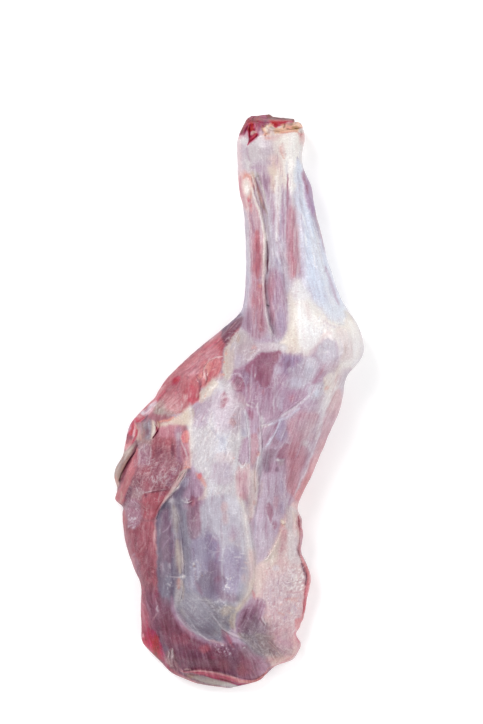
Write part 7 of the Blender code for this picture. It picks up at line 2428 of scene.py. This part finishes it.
def make_tissue_group():
    """Wet raw tissue over a painted colour: mottling, muscle fibres, white threads and lace, each as strong
    as its mark. Gives the colour, the roughness, the wet coat and the height in millimetres."""
    tree, given, out = new_group("tissue", (
        ("Tint", "NodeSocketColor", None), ("Grain", "NodeSocketFloat", 0.5),
        ("Veil", "NodeSocketFloat", 0.0), ("Net", "NodeSocketFloat", 0.0),
        ("Gloss", "NodeSocketFloat", 0.5), ("Flow", "NodeSocketVector", None),
        ("Place", "NodeSocketVector", None), ("Mottling", "NodeSocketFloat", 1.0),
    ), (("Colour", "NodeSocketColor"), ("Roughness", "NodeSocketFloat"), ("Coat", "NodeSocketFloat"),
        ("Height", "NodeSocketFloat")))
    place, grain = given["Place"], given["Grain"]
    broad = grainy(tree, place, 95.0, 4.0, Roughness=0.6).outputs[0]
    small = grainy(tree, place, 620.0, 3.0, Roughness=0.6).outputs[0]
    fibres = group_node(tree, FIBRES, {"Flow": given["Flow"]})
    wisps = [group_node(tree, THREADS, {"Place": place, "Turn": turn, "Size": size, "Thinness": thinness})
             for turn, size, thinness in WISPS]
    lace = group_node(tree, LACE, {"Place": place})

    def times(a, b, more=0.0):
        """a times b, plus more."""
        return calc(tree, "MULTIPLY_ADD", a, b, more)

    thread = calc(tree, "MAXIMUM", wisps[0][0], wisps[1][0])
    thread = times(calc(tree, "MAXIMUM", thread, wisps[2][0]), times(given["Veil"], 0.46, 0.03))
    net = times(lace[0], times(given["Net"], 0.24))
    mottling = given["Mottling"]
    colour = given["Tint"]
    for share, tone, how in (
        (times(spread(tree, broad, 0.42, 0.24), times(mottling, 0.30)), (0.62, 0.36, 0.44), "MULTIPLY"),
        (times(spread(tree, broad, 0.56, 0.78), times(mottling, 0.16)), (1.7, 1.6, 1.64), "MULTIPLY"),
        (times(spread(tree, fibres[0], 0.52, 0.32), times(grain, 0.42)), (0.56, 0.30, 0.36), "MULTIPLY"),
        (times(spread(tree, fibres[1], 0.56, 0.70), times(grain, 0.40, 0.10)), (1.9, 1.9, 1.95), "MULTIPLY"),
        (thread, (0.90, 0.86, 0.88), "MIX"),
        (net, (0.86, 0.74, 0.74), "MIX"),
        (times(spread(tree, small, 0.46, 0.30), 0.36), (0.66, 0.50, 0.54), "MULTIPLY"),
        (times(spread(tree, small, 0.54, 0.70), 0.36), (1.6, 1.6, 1.6), "MULTIPLY"),
    ):
        colour = mixed(tree, share, colour, (*tone, 1.0), how)
    tree.links.new(colour, out.inputs["Colour"])

    rough = calc(tree, "ADD", times(given["Gloss"], -0.14, 0.50), times(broad, 0.24, -0.12))
    tree.links.new(rough, out.inputs["Roughness"])
    coat = times(spread(tree, broad, 0.30, 0.66), times(given["Gloss"], 0.5, 0.15))
    tree.links.new(coat, out.inputs["Coat"])
    height = times(fibres[0], times(grain, 0.55))
    for value, rise in ((thread, 0.35), (net, 0.40), (broad, 1.1), (small, 0.30)):
        height = times(value, rise, height)
    tree.links.new(height, out.inputs["Height"])
    return tree


TISSUE = make_tissue_group()


def tissue_material(name, roughness_shift, coat_roughness, bump, mottling):
    """A wet material from the painted looks of its piece and the tissue group."""
    material = bpy.data.materials.new(name)
    material.use_nodes = True
    tree = material.node_tree
    shader = tree.nodes["Principled BSDF"]
    place = tree.nodes.new("ShaderNodeTexCoord").outputs["Object"]
    tint = node(tree, "ShaderNodeAttribute", attribute_name="tint").outputs["Color"]
    marks = node(tree, "ShaderNodeAttribute", attribute_name="marks")
    flow = node(tree, "ShaderNodeAttribute", attribute_name="flow").outputs["Vector"]
    parts = node(tree, "ShaderNodeSeparateColor", {0: marks.outputs["Color"]}).outputs
    tissue = group_node(tree, TISSUE, {
        "Tint": tint, "Grain": parts[0], "Veil": parts[1], "Net": parts[2],
        "Gloss": marks.outputs["Alpha"], "Flow": flow, "Place": place, "Mottling": mottling,
    })
    rough = calc(tree, "ADD", tissue["Roughness"], roughness_shift)
    tree.links.new(tissue["Colour"], shader.inputs["Base Color"])
    tree.links.new(rough, shader.inputs["Roughness"])
    tree.links.new(tissue["Coat"], shader.inputs["Coat Weight"])
    shader.inputs["Coat Roughness"].default_value = coat_roughness
    shader.inputs["Specular IOR Level"].default_value = 0.35
    bumps = node(tree, "ShaderNodeBump", {"Height": tissue["Height"], "Distance": MM, "Strength": bump})
    tree.links.new(bumps.outputs[0], shader.inputs["Normal"])
    return material


# Name, what is added to the roughness, the coat's roughness, and how strong the bumps and the mottling are.
MEAT = tissue_material("raw_meat", 0.0, 0.16, 0.8, 1.0)
BONE_END = tissue_material("bone_and_gristle", -0.04, 0.12, 0.7, 0.6)


# The bone's rings along the shaft and over the joint face, and its points round each.
SHAFT_RINGS, FACE_RINGS, BONE_SIDES = 90, 26, 96
# The joint face: how far it is domed, and its two cups: how deep and how high up, their places beside the
# middle and their half sizes.
JOINT_DOME, CUP_DEPTH, CUP_HEIGHT = 3.2, 2.6, 25
CUP_PLACES, CUP_HALF_SIZES = (8, -9), (8, 9)


def make_bone_end():
    """The forearm bone: an ellipse carried along its axis, ending in a joint face with two shallow cups and
    a rim."""
    stations = np.linspace(BONE[0, 0], BONE[-1, 0], SHAFT_RINGS)
    height, radius = through(stations, BONE[:, 0], BONE[:, 1:]).T
    radius = radius * np.sin(np.pi / 2 * np.clip((stations - stations[0] + 2) / 24, 0, 1)) - 0.2
    shrink = np.linspace(1, 0.04, FACE_RINGS)[1:]
    stations = np.append(stations, np.full(len(shrink), stations[-1]))
    height = np.append(height, np.full(len(shrink), height[-1]))
    radius = np.append(radius, radius[-1] * shrink)
    angle = np.linspace(0, 2 * np.pi, BONE_SIDES, endpoint=False)[None, :]
    centre = (BONE_X + BONE_SLANT * (stations - BONE[0, 0]))[:, None]
    x = centre + radius[:, None] * np.cos(angle)
    z = height[:, None] + BONE_FLATNESS * radius[:, None] * np.sin(angle)
    y = np.repeat(stations[:, None], angle.size, axis=1)
    far = np.append(np.ones(len(stations) - len(shrink)), shrink)[:, None]
    cups = sum(np.exp(-(((x - centre[-1] - place) / CUP_HALF_SIZES[0]) ** 2
                        + ((z - CUP_HEIGHT) / CUP_HALF_SIZES[1]) ** 2)) for place in CUP_PLACES)
    dome = JOINT_DOME * np.sqrt(np.clip(1 - far**2.0, 0, 1))
    y = y + (far < 1) * (dome - CUP_DEPTH * cups + 0.6 * cloud(x, z, 5.0, 81))
    points = slanted(np.stack([x, y, z], axis=-1))
    bone = wrapped("wrist_bone", [points])
    x, y = plan_places(points)
    give_looks(bone, x, y, looks_at(x, y))
    return bone


def finish_piece(obj, material, node_name):
    """Gives a piece its material and body, and hides the CAD solid that it stands for."""
    obj.data.materials.append(material)
    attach(obj, "root")
    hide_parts(node_name)


def make_camera():
    """Straight above the leg, far off with a long lens: at the height SIGHT_Z the view is 760 mm tall."""
    data = bpy.data.cameras.new("camera")
    data.lens = 120.0
    data.sensor_width = 36.0
    data.clip_end = 50.0
    camera = bpy.data.objects.new("camera", data)
    camera.location = (SIGHT_X * MM, SIGHT_Y * MM, (SIGHT_Z + SIGHT) * MM)
    bpy.context.scene.collection.objects.link(camera)
    bpy.context.scene.camera = camera


def make_floor():
    """A plain pale floor, wide enough to fill every view."""
    half = 6.0
    mesh = bpy.data.meshes.new("floor")
    corners = [(-half, -half, 0), (half, -half, 0), (half, half, 0), (-half, half, 0)]
    mesh.from_pydata(corners, [], [(0, 1, 2, 3)])
    floor = bpy.data.objects.new("floor", mesh)
    floor.location.z = -0.0004
    bpy.context.scene.collection.objects.link(floor)
    material = bpy.data.materials.new("floor")
    material.use_nodes = True
    shader = material.node_tree.nodes["Principled BSDF"]
    shader.inputs["Base Color"].default_value = (0.93, 0.93, 0.93, 1.0)
    shader.inputs["Roughness"].default_value = 0.9
    shader.inputs["Specular IOR Level"].default_value = 0.1
    shader.inputs["Emission Color"].default_value = (1.0, 1.0, 1.0, 1.0)
    shader.inputs["Emission Strength"].default_value = 0.22
    mesh.materials.append(material)


def make_light(name, place, size, power):
    """A square soft light at this place, in metres, facing the leg."""
    data = bpy.data.lights.new(name, "AREA")
    data.size = size
    data.energy = power
    lamp = bpy.data.objects.new(name, data)
    lamp.location = place
    lamp.rotation_euler = (-Vector(place)).to_track_quat("-Z", "Y").to_euler()
    bpy.context.scene.collection.objects.link(lamp)


# The lamps: name, place and size in metres, and power.
LAMPS = (
    ("key", (-1.3, 1.4, 1.9), 1.3, 46.5),
    ("right_fill", (1.9, 0.9, 1.5), 1.8, 23.3),
    ("left_fill", (-1.8, -1.1, 1.4), 1.8, 20.0),
    ("low_fill", (1.4, -1.6, 1.5), 1.8, 23.3),
)


def make_studio():
    """The floor, the lamps, an even pale sky and plain colours."""
    make_floor()
    for lamp in LAMPS:
        make_light(*lamp)
    world = bpy.data.worlds.new("studio")
    bpy.context.scene.world = world
    world.use_nodes = True
    backdrop = world.node_tree.nodes["Background"]
    backdrop.inputs["Color"].default_value = (0.97, 0.985, 1.0, 1.0)
    backdrop.inputs["Strength"].default_value = 0.30
    bpy.context.scene.view_settings.view_transform = "Standard"


make_camera()
meat = [make_length(name, *shape) for name, shape in LENGTHS.items()]
heights = skin_heights(meat)
meat += [make_strands(name, strands, heights) for name, strands in STRANDS.items()]
for piece in meat:
    finish_piece(piece, MEAT, "leg_flesh")
finish_piece(make_bone_end(), BONE_END, "forearm_bone")
make_studio()
